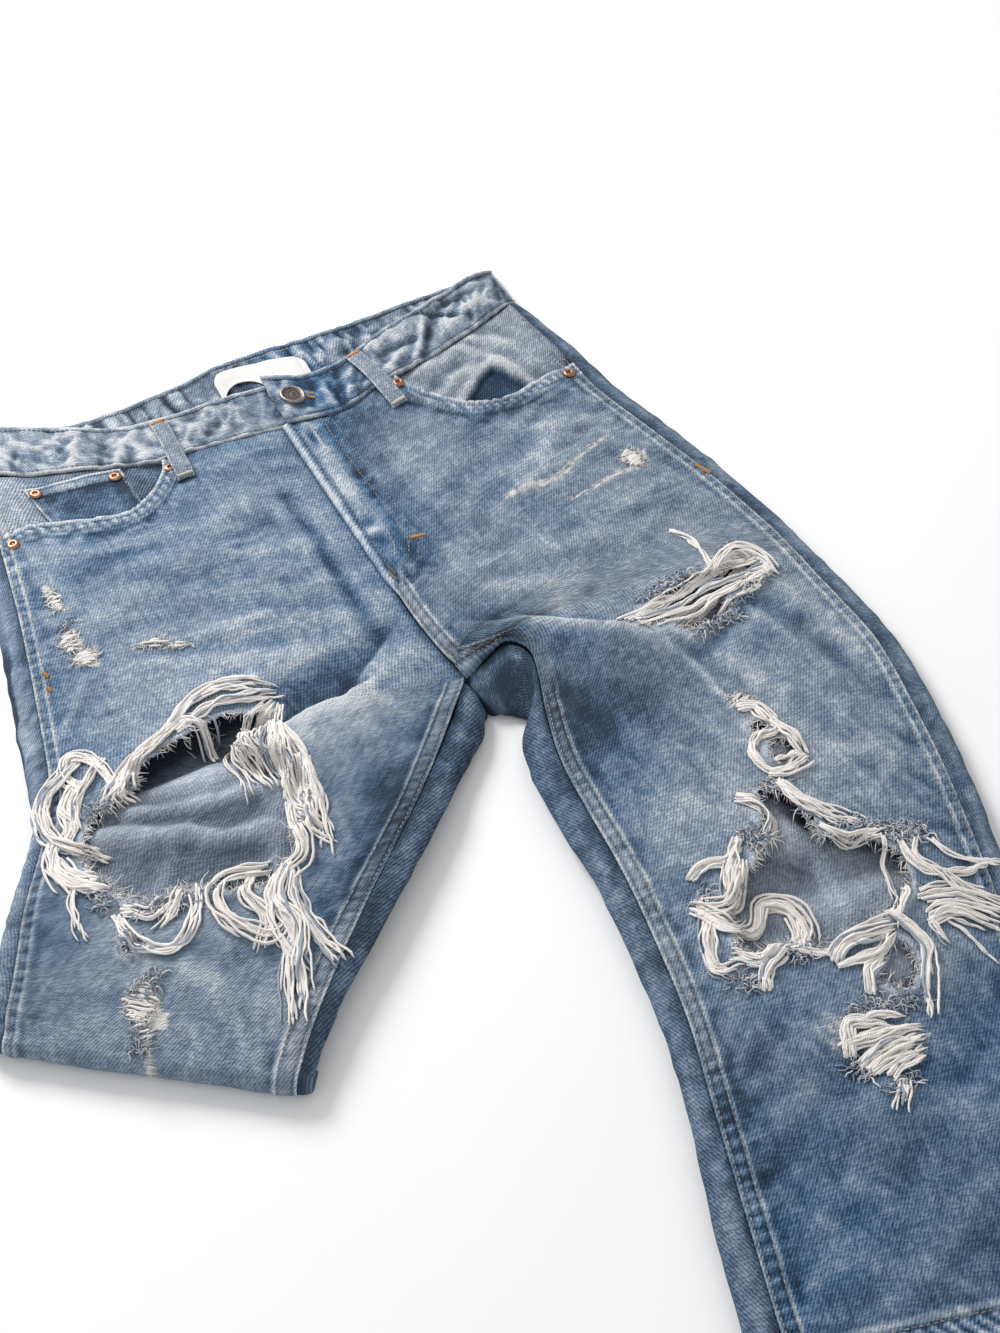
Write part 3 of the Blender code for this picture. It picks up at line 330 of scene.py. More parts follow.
# Where the blue is worn paler or kept darker, and where shade is painted darker and light painted paler: x,
# y, half length, half width, turn, amount.
WEAR_AND_SHADING = {
    "right": (
        (-110, -176, 62, 20, -10, 0.17), (-165, -185, 30, 24, 0, 0.10), (-175, -60, 24, 30, 0, 0.05),
        (-60, -120, 24, 60, 0, -0.04), (-27, -130, 5.5, 66, 2, -0.22), (-16, -110, 4, 70, 0, 0.08),
        (-95, -100, 48, 10, -14, -0.07), (-30, -22, 60, 20, 0, -0.12), (-84, -217, 30, 11, 0, -0.22),
        (-40, -212, 26, 10, 30, -0.06), (-84, -256, 34, 18, 20, 0.06), (-110, -345, 60, 30, 42, -0.12),
        (-200, -395, 46, 22, -35, 0.08), (-290, -335, 24, 30, 0, 0.02), (-240, -430, 90, 10, -35, -0.08),
        (-290, -350, 52, 38, -48, -0.08), (-235, -425, 100, 26, -32, 0.05), (-215, -130, 24, 70, 15, -0.13),
        (-150, -68, 44, 14, -10, -0.16), (-50, -322, 66, 26, 42, -0.34), (-270, -300, 20, 34, 0, -0.14),
        (-262, -368, 26, 26, 0, 0.10), (-92, -342, 34, 12, 42, -0.25), (-150, -275, 90, 20, 0, 0.05),
        (-60, -280, 34, 16, 40, -0.01),
    ),
    "left": (
        (34, -306, 34, 60, 0, -0.30), (84, -312, 50, 22, 0, -0.16), (160, -312, 50, 14, 0, -0.14),
        (14, -150, 18, 22, 0, -0.22), (46, -14, 22, 24, 0, -0.16), (130, -60, 40, 10, 8, -0.2),
        (44, -222, 20, 14, 0, -0.2), (-10, -575, 28, 40, 14, -0.21), (236, -330, 20, 70, 0, 0.23),
        (80, -480, 60, 60, 0, 0.06), (10, -70, 9, 66, 0, 0.12), (92, -240, 46, 14, -33, 0.18),
        (96, -268, 40, 10, -33, -0.06), (30, -80, 7, 76, 0, -0.24), (48, -30, 16, 28, 0, -0.10),
        (120, -92, 60, 24, -8, 0.05), (150, -140, 60, 20, 14, 0.08), (120, -205, 80, 26, -6, 0.10),
        (90, -210, 40, 9, -12, 0.08), (74, -300, 30, 44, 20, -0.20), (156, -330, 36, 54, 0, 0.19),
        (110, -400, 70, 36, 0, 0.20), (206, -336, 12, 50, 6, -0.12), (185, -430, 40, 44, 0, 0.08),
        (60, -420, 30, 60, 0, 0.06), (150, -545, 50, 24, 14, 0.08), (50, -640, 130, 70, 14, -0.08),
        (84, -640, 34, 26, 20, 0.03), (70, -560, 24, 12, 0, 0.10), (170, -590, 40, 60, 20, -0.04),
        (145, -126, 46, 6, 16, 0.14), (168, -146, 30, 5, 12, 0.14), (148, -270, 26, 22, -10, 0.10),
        (30, -562, 46, 13, 12, -0.14), (-4, -648, 26, 12, 20, -0.08), (74, -682, 30, 16, 30, -0.10),
        (84, -600, 34, 13, 50, -0.16), (34, -650, 26, 12, 30, 0.07), (-6, -668, 22, 14, 0, 0.05),
        (120, -560, 30, 18, 40, 0.12), (34, -8, 60, 9, -6, -0.14), (130, -56, 34, 7, 6, -0.10),
    ),
}

# White scratches worn through the blue: x and y of both ends, half width, strength.
SCRATCHES = {
    "right": (
        (-193, -64, -191, -86, 3.5, 1.2), (-197, -106, -194, -122, 4.5, 1.1),
        (-196, -126, -188, -133, 6, 1.3), (-162, -138, -132, -153, 4.5, 0.72),
        (-252, -364, -250, -384, 8, 1.3), (-256, -388, -261, -408, 5, 0.9),
        (-212, -222, -206, -160, 3, 0.3),
    ),
    "left": (
        (104, -138, 150, -124, 5, 0.95), (140, -126, 184, -108, 5, 0.86), (138, -152, 192, -140, 4.5, 0.92),
        (188, -142, 198, -130, 6, 1.1), (194, -300, 202, -352, 6, 0.35), (134, -352, 149, -346, 5, 1.0),
        (68, -566, 100, -590, 14, 0.8), (72, -606, 80, -610, 5, 0.9),
    ),
}


# Shapes shared by all the pieces.


def smooth(f):
    """Goes softly from 0 to 1 as f does: 3 f squared less 2 f cubed."""
    f = np.clip(f, 0, 1)
    return f * f * (3 - 2 * f)


def hill(distance, half_width):
    """A bell that is 1 at distance 0 and falls as exp(-(distance / half width) squared)."""
    return np.exp(-((distance / half_width) ** 2))


def spin(x, y, turn):
    """Plan offsets turned about the origin by this many degrees."""
    c, s = np.cos(np.radians(turn)), np.sin(np.radians(turn))
    return c * x - s * y, s * x + c * y


def unit(vectors):
    """Vectors along the last axis, each over its own length."""
    return vectors / np.maximum(np.linalg.norm(vectors, axis=-1, keepdims=True), 1e-9)


def path_run(path):
    """Length run along a path of points, from its first one."""
    return np.append(0, np.cumsum(np.linalg.norm(np.diff(path, axis=0), axis=1)))


def noise(x, y, size, seed):
    """Smooth noise from -1 to 1: random values on a lattice of this size, blended by a smoothstep between.

    The seed only tells one layer from another.
    """
    table = np.random.default_rng(seed).uniform(-1, 1, (128, 128))
    px, py = np.broadcast_arrays(np.asarray(x, float) / size, np.asarray(y, float) / size)
    ix, iy = np.floor(px).astype(int), np.floor(py).astype(int)
    fx, fy = smooth(px - ix), smooth(py - iy)
    ix, iy, jx, jy = ix % 128, iy % 128, (ix + 1) % 128, (iy + 1) % 128
    low = table[ix, iy] * (1 - fx) + table[jx, iy] * fx
    high = table[ix, jy] * (1 - fx) + table[jx, jy] * fx
    return low * (1 - fy) + high * fy


def wrinkles(x, y, turn, stretch, size, seed):
    """Ridges of -1 to 1 with sharp crests: 1 less twice the size of a noise stretched along a heading.

    The noise has this lattice across the heading, which bends softly, and fades where a wider noise is low.
    """
    bend_x = x + 0.4 * size * noise(x, y, 3 * size, seed + 1)
    bend_y = y + 0.4 * size * noise(x, y, 3 * size, seed + 2)
    along, across = spin(bend_x, bend_y, -turn)
    ridge = 1 - 2.4 * np.abs(noise(along / stretch, across, size, seed))
    return ridge * smooth(0.6 + noise(x, y, 4 * size, seed + 3))


def from_segment(x, y, x0, y0, x1, y1):
    """How far points lie off a segment's line, to the left of its run, and how far past its ends."""
    along = np.array([x1 - x0, y1 - y0], float)
    length = math.hypot(*along)
    along /= length
    run = (x - x0) * along[0] + (y - y0) * along[1]
    off = -(x - x0) * along[1] + (y - y0) * along[0]
    return off, np.maximum(0, np.maximum(-run, run - length))


def ridge_along(x, y, ends, half_width, taper, bend=0.0):
    """A bell across a segment, shifted by bend, times a bell past its ends that is taper times as wide."""
    off, past = from_segment(x, y, *ends)
    return hill(off + bend, half_width) * hill(past, taper * half_width)


def spot_along(x, y, ends, half_width):
    """A bell of the distance from a segment."""
    return hill(np.hypot(*from_segment(x, y, *ends)), half_width)


def from_ellipse(x, y, ellipse):
    """Distance outside an ellipse, below zero inside: (q - 1) q / |M M p|, where q is |M p|."""
    middle_x, middle_y, half_length, half_width, turn = ellipse
    a, b = spin(x - middle_x, y - middle_y, -turn)
    a, b = a / half_length, b / half_width
    q = np.maximum(np.hypot(a, b), 1e-6)
    return (q - 1) * q / np.maximum(np.hypot(a / half_length, b / half_width), 1e-9)


def between(rows, t):
    """The table's values at row positions t, on a smooth curve through its rows (Catmull-Rom)."""
    rows = np.asarray(rows, float)
    t = np.clip(np.asarray(t, float), 0, len(rows) - 1)
    i = np.minimum(t.astype(int), len(rows) - 2)
    f = (t - i)[:, None]
    before = rows[np.maximum(i - 1, 0)]
    start = rows[i]
    end = rows[i + 1]
    after = rows[np.minimum(i + 2, len(rows) - 1)]
    return 0.5 * (
        2 * start
        + (end - before) * f
        + (2 * before - 5 * start + 4 * end - after) * f**2
        + (3 * start - before - 3 * end + after) * f**3
    )


def row_values(side, t):
    """Each column's values at row positions t of that side's table, opened a little round the crotch."""
    table = np.asarray(ROWS[side], float)
    values = between(table, t)
    row = {name: values[:, i][:, None] for i, name in enumerate(COLUMNS)}
    starts = between(np.vstack([CENTRE_BACK, table[len(CENTRE_BACK) :, :3]]), t)
    row["back_x"], row["back_y"], row["back_z"] = (starts[:, i][:, None] for i in range(3))
    near = hill(np.asarray(t, float) - CROTCH_ROW, CROTCH_ROWS)[:, None]
    shift = HAND[side] * CROTCH_PART * near
    row["in_x"] = row["in_x"] + shift
    row["back_x"] = row["back_x"] + shift
    row["back_z"] = np.maximum(row["back_z"], 0)
    arch = hill(np.asarray(t, float) - ARCH_ROW, ARCH_ROWS)[:, None]
    thick = np.maximum(near, arch if side == "left" else 0)
    row["seam_gap"] = SEAM_GAP / 2 + CROTCH_PART * thick
    row["back_z"] = row["back_z"] - CROTCH_LAP * thick * (row["back_z"] > CROTCH_LAP)
    return row


def last_row(side):
    """Position of the side's last row."""
    return len(ROWS[side]) - 1.0


def leg_foot(side):
    """Plan points of the two seams at the side's last row, inner first."""
    last = dict(zip(COLUMNS, ROWS[side][-1]))
    return np.array([[last["in_x"], last["in_y"]], [last["out_x"], last["out_y"]]], float)


def fold_frame():
    """The right leg's fold line in plan: its start, its run to the outseam and the way down the leg."""
    start, end = leg_foot("right")
    along = unit(end - start)
    return start, along, np.array([along[1], -along[0]]) * -np.sign(-along[0])


def turned_under(side, t, points):
    """Rows past the right leg's last one, turned about the fold's axis and run back under the leg."""
    t = np.asarray(t, float)
    past = t - last_row("right")
    if side != "right" or not (past > 0).any():
        return points
    _, _, down = fold_frame()
    angle = np.pi * np.clip(past, 0, 1)[:, None]
    height = points[..., 2] - FOLD_AXIS_HEIGHT
    forward = height * np.sin(angle) - FOLD_TUCK * np.clip(past - 1, 0, 1)[:, None]
    moved = points.copy()
    turned = past > 0
    moved[turned, :, :2] += (forward[..., None] * down)[turned]
    moved[turned, :, 2] = (FOLD_AXIS_HEIGHT + height * np.cos(angle))[turned]
    return moved


def seam_run(side, t, edge):
    """Length of a seam from the waist to row positions t: edge is in for the inner seam, else out."""
    fine = np.linspace(0, last_row(side), 400)
    row = row_values(side, fine)
    steps = np.hypot(np.diff(row[edge + "_x"][:, 0]), np.diff(row[edge + "_y"][:, 0]))
    return np.interp(t, fine, np.append(0, np.cumsum(steps)))


def middle_run(side, t):
    """Length from the waist to row positions t, midway between the two seams, as a column."""
    return (seam_run(side, t, "out")[:, None] + seam_run(side, t, "in")[:, None]) * 0.5


def puckers(along, seed):
    """Puckers of a felled seam: a sine along it whose phase wavers with a noise."""
    return np.sin(2 * np.pi * along / PUCKER_PITCH + 2.6 * noise(along, 0 * along, 21, seed))


def felled(d, along, seed, width):
    """A flat-felled seam's height at distance d from its edge.

    A strip raised 0.9, a groove under each of its two rows of stitches, puckers between and ripples beyond.
    """
    strip = 0.9 * smooth((d + 0.2) / 1.4) * (1 - smooth((d - width + 0.8) / 1.6))
    grooves = -0.55 * (hill(d - 2.3, 1.0) + hill(d - width + 2.4, 1.0))
    ripples = noise(along, d, 8, seed + 1) * smooth((d - width) / 3) * hill(d - width, 15)
    return strip + grooves + 0.6 * puckers(along, seed) * hill(d - width / 2, 3.6) + 0.8 * ripples


def seam_shown(t):
    """1 where the left leg's inseam shows, 0 where the thigh's own fold hides it beside the crotch."""
    return 1 - smooth((t - 8.7) / 0.5) * (1 - smooth((t - 11.2) / 0.5))


def strip_tone(d, along, seed, width, ladder=1.0):
    """Wear of a felled seam: pale edges, dark rows of stitches, rungs between them and beyond."""
    rungs = ladder * puckers(along, seed)
    spots = noise(along, d, 5.5, seed + 2)
    edges = hill(d - 0.7, 1.3) + hill(d - width + 0.5, 1.4)
    rows = hill(d - 2.8, 1.0) + hill(d - width + 2.9, 1.0)
    tone = 0.27 * edges * (1 + 0.5 * spots) - 0.2 * rows
    tone += (0.13 * rungs + 0.10 * spots + 0.02) * hill(d - width / 2, 0.36 * width)
    beyond = smooth((d - width) / 2)
    tone -= 0.12 * hill(d - width - 3, 3.2)
    return tone + beyond * (0.07 * rungs + 0.10 * spots) * hill(d - width, 13)


def mouth_curve(side, count=60):
    """The pocket mouth as a smooth curve in plan."""
    points = np.array(MOUTHS[side], float)
    return between(points, np.linspace(0, len(points) - 1, count))


def from_mouth(side, x, y):
    """Distance below a pocket's mouth, less than zero above it, where the front is cut away."""
    line = mouth_curve(side)
    nearest = np.full(np.shape(x), 1e9)
    for (x0, y0), (x1, y1) in zip(line[:-1], line[1:]):
        off, past = from_segment(x, y, x0, y0, x1, y1)
        nearest = np.minimum(nearest, np.hypot(off, past))
    foot = line[4:]
    foot = foot[np.argsort(foot[:, 0])]
    level = np.interp(x, foot[:, 0], foot[:, 1])
    falling = line[: line[:, 1].argmin() + 1]
    inner = np.interp(-y, -falling[:, 1], falling[:, 0])
    cut_away = (y > level) & (HAND[side] * (x - inner) > 0)
    return np.where(cut_away, -nearest, nearest)


def mouth_rungs(x, y):
    """Puckers along a pocket's mouth: a sine across the plan whose phase wavers with a noise."""
    return np.sin(2 * np.pi * (x + 0.4 * y) / 6.4 + 2.4 * noise(x, y, 17, 57))


def from_rips(side, x, y):
    """Distance from the nearest rip's ragged edge, below zero inside it."""
    nearest = np.full(np.shape(x), 1e9)
    for ellipses in RIPS[side].values():
        for ellipse in ellipses:
            nearest = np.minimum(nearest, from_ellipse(x, y, ellipse))
    ragged = 2.2 * noise(x, y, 9, 31) + 1.2 * noise(x, y, 3.6, 32)
    return nearest + ragged


def fly_line(f):
    """The curved double row that holds the fly, in plan: down from the waist, then round to the seam."""
    line = ((24, -2), (24, -40), (25, -80), (26, -115), (25, -135), (20, -148), (12, -155), (5, -158))
    return between(line, np.asarray(f, float) * (len(line) - 1))


def fly_quilt(x, y, inner):
    """Gathers of the fly: long and upright beside its edge, short and slanting between its stitches."""
    upright = 1.4 * wrinkles(x, y, 86, 3.0, 6, 187) * hill(inner - 11, 8)
    slanting = 0.6 * wrinkles(x, y, 38, 1.7, 7, 191) * hill(inner - 26, 8)
    return upright + slanting


def body_wrinkles(side, x, y):
    """Fine creases of a front: across it over the hip, and more and more along it further down the leg."""
    hand = HAND[side]
    hip = smooth((y + 260) / 90)
    across = wrinkles(x, y, 12 * hand, 3.2, 8, 171) + 0.8 * wrinkles(x, y, 24 * hand, 2.6, 14, 175)
    along = wrinkles(x, y, -72 * hand, 2.4, 10, 179) + 0.8 * wrinkles(x, y, 40 * hand, 2.0, 17, 183)
    return hip * across + (1 - hip) * along


def front_relief(side, t, x, y, inner, outer):
    """What worn cloth adds to a front's plain form: seams, creases and unevenness, as heights.

    inner and outer are the distances from its two seams.
    """
    t = np.broadcast_to(np.asarray(t, float)[:, None], x.shape)
    run_in, run_out = seam_run(side, t, "in"), seam_run(side, t, "out")
    left = side == "left"
    away = smooth(np.minimum(inner, outer) / 14) * smooth(t * 4)
    rise = np.zeros_like(x)
    for *ends, half_width, height in FOLDS[side]:
        rise += height * spot_along(x, y, ends, half_width)
    for *ends, half_width, height in CREASES[side]:
        rise += height * ridge_along(x, y, ends, half_width, 2.2, 3.5 * noise(x, y, 26, 41))
    for *ends, depth, reach, lip, lip_reach in STEPS[side]:
        off, past = from_segment(x, y, *ends)
        off = off + 1.5 * noise(x, y, 22, 43)
        drop = -depth * np.exp(-np.maximum(off, 0) / reach)
        raised = lip * np.exp(-np.maximum(-off, 0) / lip_reach)
        over = smooth(off / 5.0 + 0.5)
        rise += (drop * over + raised * (1 - over)) * hill(past, 13)
    rise *= away
    swells = 1.1 * noise(x, y, 64, 42 + left) + 0.55 * noise(x, y, 27, 44) + 0.22 * noise(x, y, 11, 45)
    rise += away * swells + 0.16 * noise(x, y, 5.5, 46)
    rise += away * 0.3 * body_wrinkles(side, x, y)
    inseam = felled(inner, run_in, INSEAM_SEED[side], INSEAM_WIDTH[side])
    if left:
        fly_edge = 1.7 * hill(inner - 2.6, 2.4) - 1.5 * hill(inner, 1.0) - 0.5 * hill(inner - 5.4, 1.2)
        rise += np.where(t < FLY_ROWS, fly_edge + 1.1 * fly_quilt(x, y, inner), inseam * seam_shown(t))
    else:
        rise += np.where(t < CROTCH_ROW, -0.4 * hill(inner, 4), inseam)
    rise += 0.7 * felled(outer, run_out, OUTSEAM_SEED, OUTSEAM_WIDTH)
    mouth = from_mouth(side, x, y)
    rise += 1.2 * hill(mouth - 0.6, 1.6) + 1.1 * (1 - smooth((mouth - 10.5) / 2)) * smooth((mouth + 1) / 2)
    rise -= 0.6 * (hill(mouth - 2.9, 1.3) + hill(mouth - 9.2, 1.3))
    rise += 0.6 * mouth_rungs(x, y) * hill(mouth - 6, 3.0) + 0.9 * noise(x, y, 8, 56) * hill(mouth - 16, 7)
    rise += (1.3 + 1.6 * noise(x, y, 13, 54)) * hill(from_rips(side, x, y), 5)
    if left:
        hem = leg_end(x, y) - HEM_BACK
        rise += 0.6 * (1 - smooth((hem - HEM_WIDTH) / 2)) + 0.8 * hill(hem - HEM_WIDTH - 1.4, 1.6)
        rise += 0.7 * hill(hem - 1, 2) - 0.7 * hill(hem - HEM_STITCHES, 1.2) + 0.6 * hem_pleats(x, y, hem)
    return rise


def leg_end(x, y):
    """Distance up the left leg from its hem's edge."""
    return from_segment(x, y, *leg_foot("left").ravel())[0]


def hem_pleats(x, y, hem):
    """Slanting pleats between the left hem's edge and its stitches, 7.5 apart and wavering, from -1 to 1."""
    phase = 2 * np.pi * (x + 0.55 * hem) / 7.5 + 2.4 * noise(x, y, 24, 55)
    return np.sin(phase) * smooth((hem + 1) / 3) * (1 - smooth((hem - 10) / 3))


def front_surface(side, t, u, worn=True):
    """Outer face of a front at row positions t and places u across it, 0 at the inner seam.

    Each row is a straight line between its seams, bowed in plan and crowned by half a sine in height. With
    worn, the relief is added, and the fly laps over. It also gives the distances from the two seams.
    """
    t = np.asarray(t, float)
    row = row_values(side, t)
    u = np.asarray(u, float)
    u = u[None, :] if u.ndim == 1 else u
    span_x = row["out_x"] - row["in_x"]
    span_y = row["out_y"] - row["in_y"]
    length = np.hypot(span_x, span_y)
    arch = row["arch"] * np.sin(np.pi * np.clip(u, 0, 1) ** 0.4)
    bend = HAND[side] * (row["bow"] * np.sin(np.pi * u) + arch)
    x = row["in_x"] + span_x * u - bend * span_y / length
    y = row["in_y"] + span_y * u + bend * span_x / length
    z = row["in_z"] + (row["out_z"] - row["in_z"]) * u + row["crown"] * np.sin(np.pi * u)
    inner, outer = length * u, length * (1 - u)
    if worn:
        z = z + front_relief(side, t, x, y, inner, outer)
        if side == "left":
            x = x - FLY_LAP * hill(inner, 4) * (1 - smooth((t[:, None] - 3.1) / 0.5))
    points = turned_under(side, t, np.stack([x, y, z], axis=-1))
    points[..., 2] = np.maximum(points[..., 2], 0.0)
    return points, inner, outer


def underside(side, x, y):
    """Height of the underside: the right leg lies on its own folded part, and drops off that part's end."""
    if side == "left":
        return np.zeros_like(x)
    start, _, down = fold_frame()
    up_leg = -((x - start[0]) * down[0] + (y - start[1]) * down[1])
    by_leg = np.clip((UNDER_RUN - up_leg) / UNDER_SLOPE + 1, 0, 1)
    by_knee = np.clip((KNEE_LINE - y) / KNEE_SLOPE, 0, 1)
    return UNDER_LAYERS * smooth(np.minimum(by_leg, by_knee))


def roll(side, start, reach, part, inward, steps):
    """A cubic curve from a seam, round the side by its reach, to its foot on the underside."""
    f = (np.linspace(0, 1, steps + 1) ** ROLL_EASE)[None, :, None]
    closed = np.clip(np.linalg.norm(reach, axis=1, keepdims=True) / 8, 0, 1)
    handle = (1 - 0.125 * part) / 0.75 * reach
    foot = start[:, :2] + part * reach + inward * ROLL_INSET
    foot = np.column_stack([foot, underside(side, foot[:, 0], foot[:, 1])])
    fall = ROLL_SLOPE * np.linalg.norm(handle, axis=1)
    out = start.copy()
    out[:, :2] += handle + (1 - closed) * inward * ROLL_INSET / 3
    out[:, 2] -= np.minimum(fall, 0.3 * (start[:, 2] - foot[:, 2]))
    low = foot.copy()
    low[:, :2] = start[:, :2] + handle + (1 - closed) * inward * ROLL_INSET * 2 / 3
    a, b, c, d = (p[:, None, :] for p in (start, out, low, foot))
    return a * (1 - f) ** 3 + 3 * b * f * (1 - f) ** 2 + 3 * c * f**2 * (1 - f) + d * f**3


def back_surface(side, t, edge_steps, floor_steps):
    """Outer face of a back at row positions t: the inner seam's roll, the underside, the outseam's roll.

    The underside lifts off the surface here and there by soft noise, and the rolls pucker beside their seams.
    """
    row = row_values(side, t)
    across = unit(np.hstack([row["out_x"] - row["back_x"], row["out_y"] - row["back_y"]]))
    start = np.hstack([row["back_x"], row["back_y"], row["back_z"]])
    reach = np.hstack([row["edge_x"], row["edge_y"]])
    inner = roll(side, start, reach, row["foot"], across, edge_steps)
    end = np.hstack([row["out_x"], row["out_y"], row["out_z"]])
    outer = roll(side, end, across * row["reach"], OUT_FOOT, -across, edge_steps)[:, ::-1]
    f = np.linspace(0, 1, floor_steps + 1)[None, 1:-1, None]
    floor = inner[:, -1:] * (1 - f) + outer[:, :1] * f
    floor[..., 2] = underside(side, floor[..., 0], floor[..., 1])
    points = np.concatenate([inner, floor, outer], axis=1)
    x, y = points[..., 0], points[..., 1]
    swell = np.clip(2.4 - np.abs(x) / 8, 0, 1) * np.clip((y - 20) / 16, 0, 1)
    points[..., 2] += 2.3 * swell * (points[..., 2] < 5)
    level = np.zeros(points.shape[1])
    level[edge_steps : edge_steps + floor_steps + 1] = 1
    level = np.convolve(np.pad(level, 4, mode="edge"), np.ones(9) / 9, "valid")[None, :] ** 2
    lift = np.maximum(0, 2.2 * noise(x, y, 46, 61) + 1.3 * noise(x, y, 19, 62))
    for *ends, half_width, height in BACK_CREASES:
        lift += height * ridge_along(x, y, ends, half_width, 2, 4 * noise(x, y, 24, 63))
    for *ellipse, height in BACK_RISES:
        lift += height * (1 - smooth(from_ellipse(x, y, ellipse) / 26 + 0.5))
    if side == "right":
        lift = lift * (1 - smooth((y + 221 - 0.165 * (x + 192)) / 4))
    points[..., 2] += level * lift
    along = seam_run(side, np.asarray(t, float), "in")[:, None]
    pucker = 0.7 * noise(along + 0 * x, 1.5 * np.arange(points.shape[1])[None, :], 9, 64)
    outward = unit(np.stack([x - x.mean(axis=1, keepdims=True), y - y.mean(axis=1, keepdims=True)], axis=-1))
    column = np.arange(points.shape[1])
    side_part = (1 - level) * smooth(np.minimum(column, column[::-1]) / 3)
    points[..., :2] += (pucker * side_part)[..., None] * outward
    return turned_under(side, t, points)


# Meshes.


def placed(points):
    """Plan millimetres as scene metres, with the front's waist sagging and its right side pulled up."""
    points = np.array(points, float)
    x, y, z = points[..., 0], points[..., 1], points[..., 2]
    sag = WAIST_SAG * hill(x - 38, 28) * hill(y + 5, 58) + LOOP_SAG * hill(x + 92, 28) * hill(y - 25, 35)
    lift = HIP_LIFT * smooth((-165 - x) / 25) * smooth((y + 75) / 50)
    points[..., 1] += (lift - sag) * smooth((z - 9) / 8)
    return (points - np.array([*CENTRE, 0.0])) * MM


def grid_faces(rows, columns, flip=False):
    """Quads of a grid whose points run column by column along each row."""
    i, j = np.meshgrid(np.arange(rows - 1), np.arange(columns - 1), indexing="ij")
    corner = (i * columns + j).reshape(-1)
    quads = np.stack([corner, corner + 1, corner + columns + 1, corner + columns], axis=1)
    return quads[:, ::-1] if flip else quads


def ring_corners(rings, count):
    """Two neighbours of every cell's nearer ring, as point numbers, for rings of count points in a row."""
    i, j = np.meshgrid(np.arange(rings - 1), np.arange(count), indexing="ij")
    return (i * count + j).ravel(), (i * count + (j + 1) % count).ravel()


def new_piece(name, points, faces, materials, uv=None, finish=None):
    """A mesh object from arrays, in plan millimetres, with its UV in metres and its finish per vertex."""
    mesh = bpy.data.meshes.new(name)
    mesh.vertices.add(len(points))
    mesh.vertices.foreach_set("co", placed(points).astype(np.float32).ravel())
    mesh.loops.add(faces.size)
    mesh.loops.foreach_set("vertex_index", faces.astype(np.int32).ravel())
    mesh.polygons.add(len(faces))
    mesh.polygons.foreach_set("loop_start", np.arange(len(faces), dtype=np.int32) * faces.shape[1])
    mesh.update(calc_edges=True)
    mesh.polygons.foreach_set("use_smooth", np.ones(len(faces), bool))
    if uv is not None:
        layer = mesh.uv_layers.new(name="UVMap")
        layer.uv.foreach_set("vector", (uv[faces.ravel()] * MM).astype(np.float32).ravel())
    if finish is not None:
        layer = mesh.color_attributes.new("finish", "FLOAT_COLOR", "POINT")
        rgba = np.ones((len(points), 4), np.float32)
        rgba[:, : finish.shape[1]] = finish
        layer.data.foreach_set("color", rgba.ravel())
    for material in materials:
        mesh.materials.append(material)
    mesh.update()
    obj = bpy.data.objects.new(name, mesh)
    bpy.context.scene.collection.objects.link(obj)
    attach(obj, "root")
    return obj


def shell(obj, wall, inner):
    """Solidify gives the sheet its wall inwards, with the second material on its inner face."""
    modifier = obj.modifiers.new("Wall", "SOLIDIFY")
    modifier.thickness = wall * MM
    modifier.offset = -1
    modifier.use_even_offset = False
    modifier.material_offset = inner
    modifier.material_offset_rim = 0


def blurred(grid, reach):
    """A grid averaged over squares of 2 reach + 1 cells, twice."""
    for axis in (0, 1, 0, 1):
        width = [(0, 0), (0, 0)]
        width[axis] = (reach + 1, reach)
        total = np.cumsum(np.pad(grid, width, mode="edge"), axis=axis)
        span = 2 * reach + 1
        if axis == 0:
            grid = (total[span:] - total[:-span]) / span
        else:
            grid = (total[:, span:] - total[:, :-span]) / span
    return grid


def arc(points, axis):
    """Length run along the rows or columns of a grid of points, from its first point."""
    step = np.linalg.norm(np.diff(points, axis=axis), axis=-1)
    start = np.zeros_like(np.take(step, [0], axis=axis))
    return np.concatenate([start, np.cumsum(step, axis=axis)], axis=axis)


def even_rows(side, cell):
    """Row positions a cell apart along the leg's middle, with those of the turned-under end on the right."""
    fine = np.linspace(0, last_row(side), 600)
    middle, _, _ = front_surface(side, fine, [0.5], worn=False)
    run = arc(middle, 0)[:, 0]
    t = np.interp(np.linspace(0, run[-1], int(run[-1] / cell) + 1), run, fine)
    if side == "right":
        return np.concatenate([t, last_row(side) + np.append(np.linspace(0, 1, 25)[1:], [1.5, 2.0])])
    return t


def even_columns(length, cell, fine, margin=17.0):
    """Places across from 0 to 1: fine steps within the margin of both ends, and a cell apart between them."""
    edge = np.linspace(0, margin, int(margin / fine) + 1)
    middle = np.linspace(margin, length - margin, int((length - 2 * margin) / cell) + 1)[1:-1]
    return np.concatenate([edge, middle, (length - edge)[::-1]]) / length


def trimmed(points, distance, quads):
    """Keeps the quads where the distance is above zero, and draws their outer points onto the outline.

    distance is a function of plan x and y. An outer point moves along its slope by the distance left, at most
    a cell. Returns the points and the kept quads.
    """
    d = distance(points[:, 0], points[:, 1])
    kept = d[quads].mean(axis=1) > 0
    inside = np.unique(quads[kept])
    outside = np.unique(quads[~kept])
    edge = np.intersect1d(inside, outside)
    x, y = points[edge, 0], points[edge, 1]
    slope_x = distance(x + 0.2, y) - distance(x - 0.2, y)
    slope_y = distance(x, y + 0.2) - distance(x, y - 0.2)
    size = np.maximum(np.hypot(slope_x, slope_y), 1e-6)
    move = np.clip(-d[edge], -FRONT_CELL, FRONT_CELL) * 0.8
    points = points.copy()
    points[edge, 0] += move * slope_x / size
    points[edge, 1] += move * slope_y / size
    return points, quads[kept]


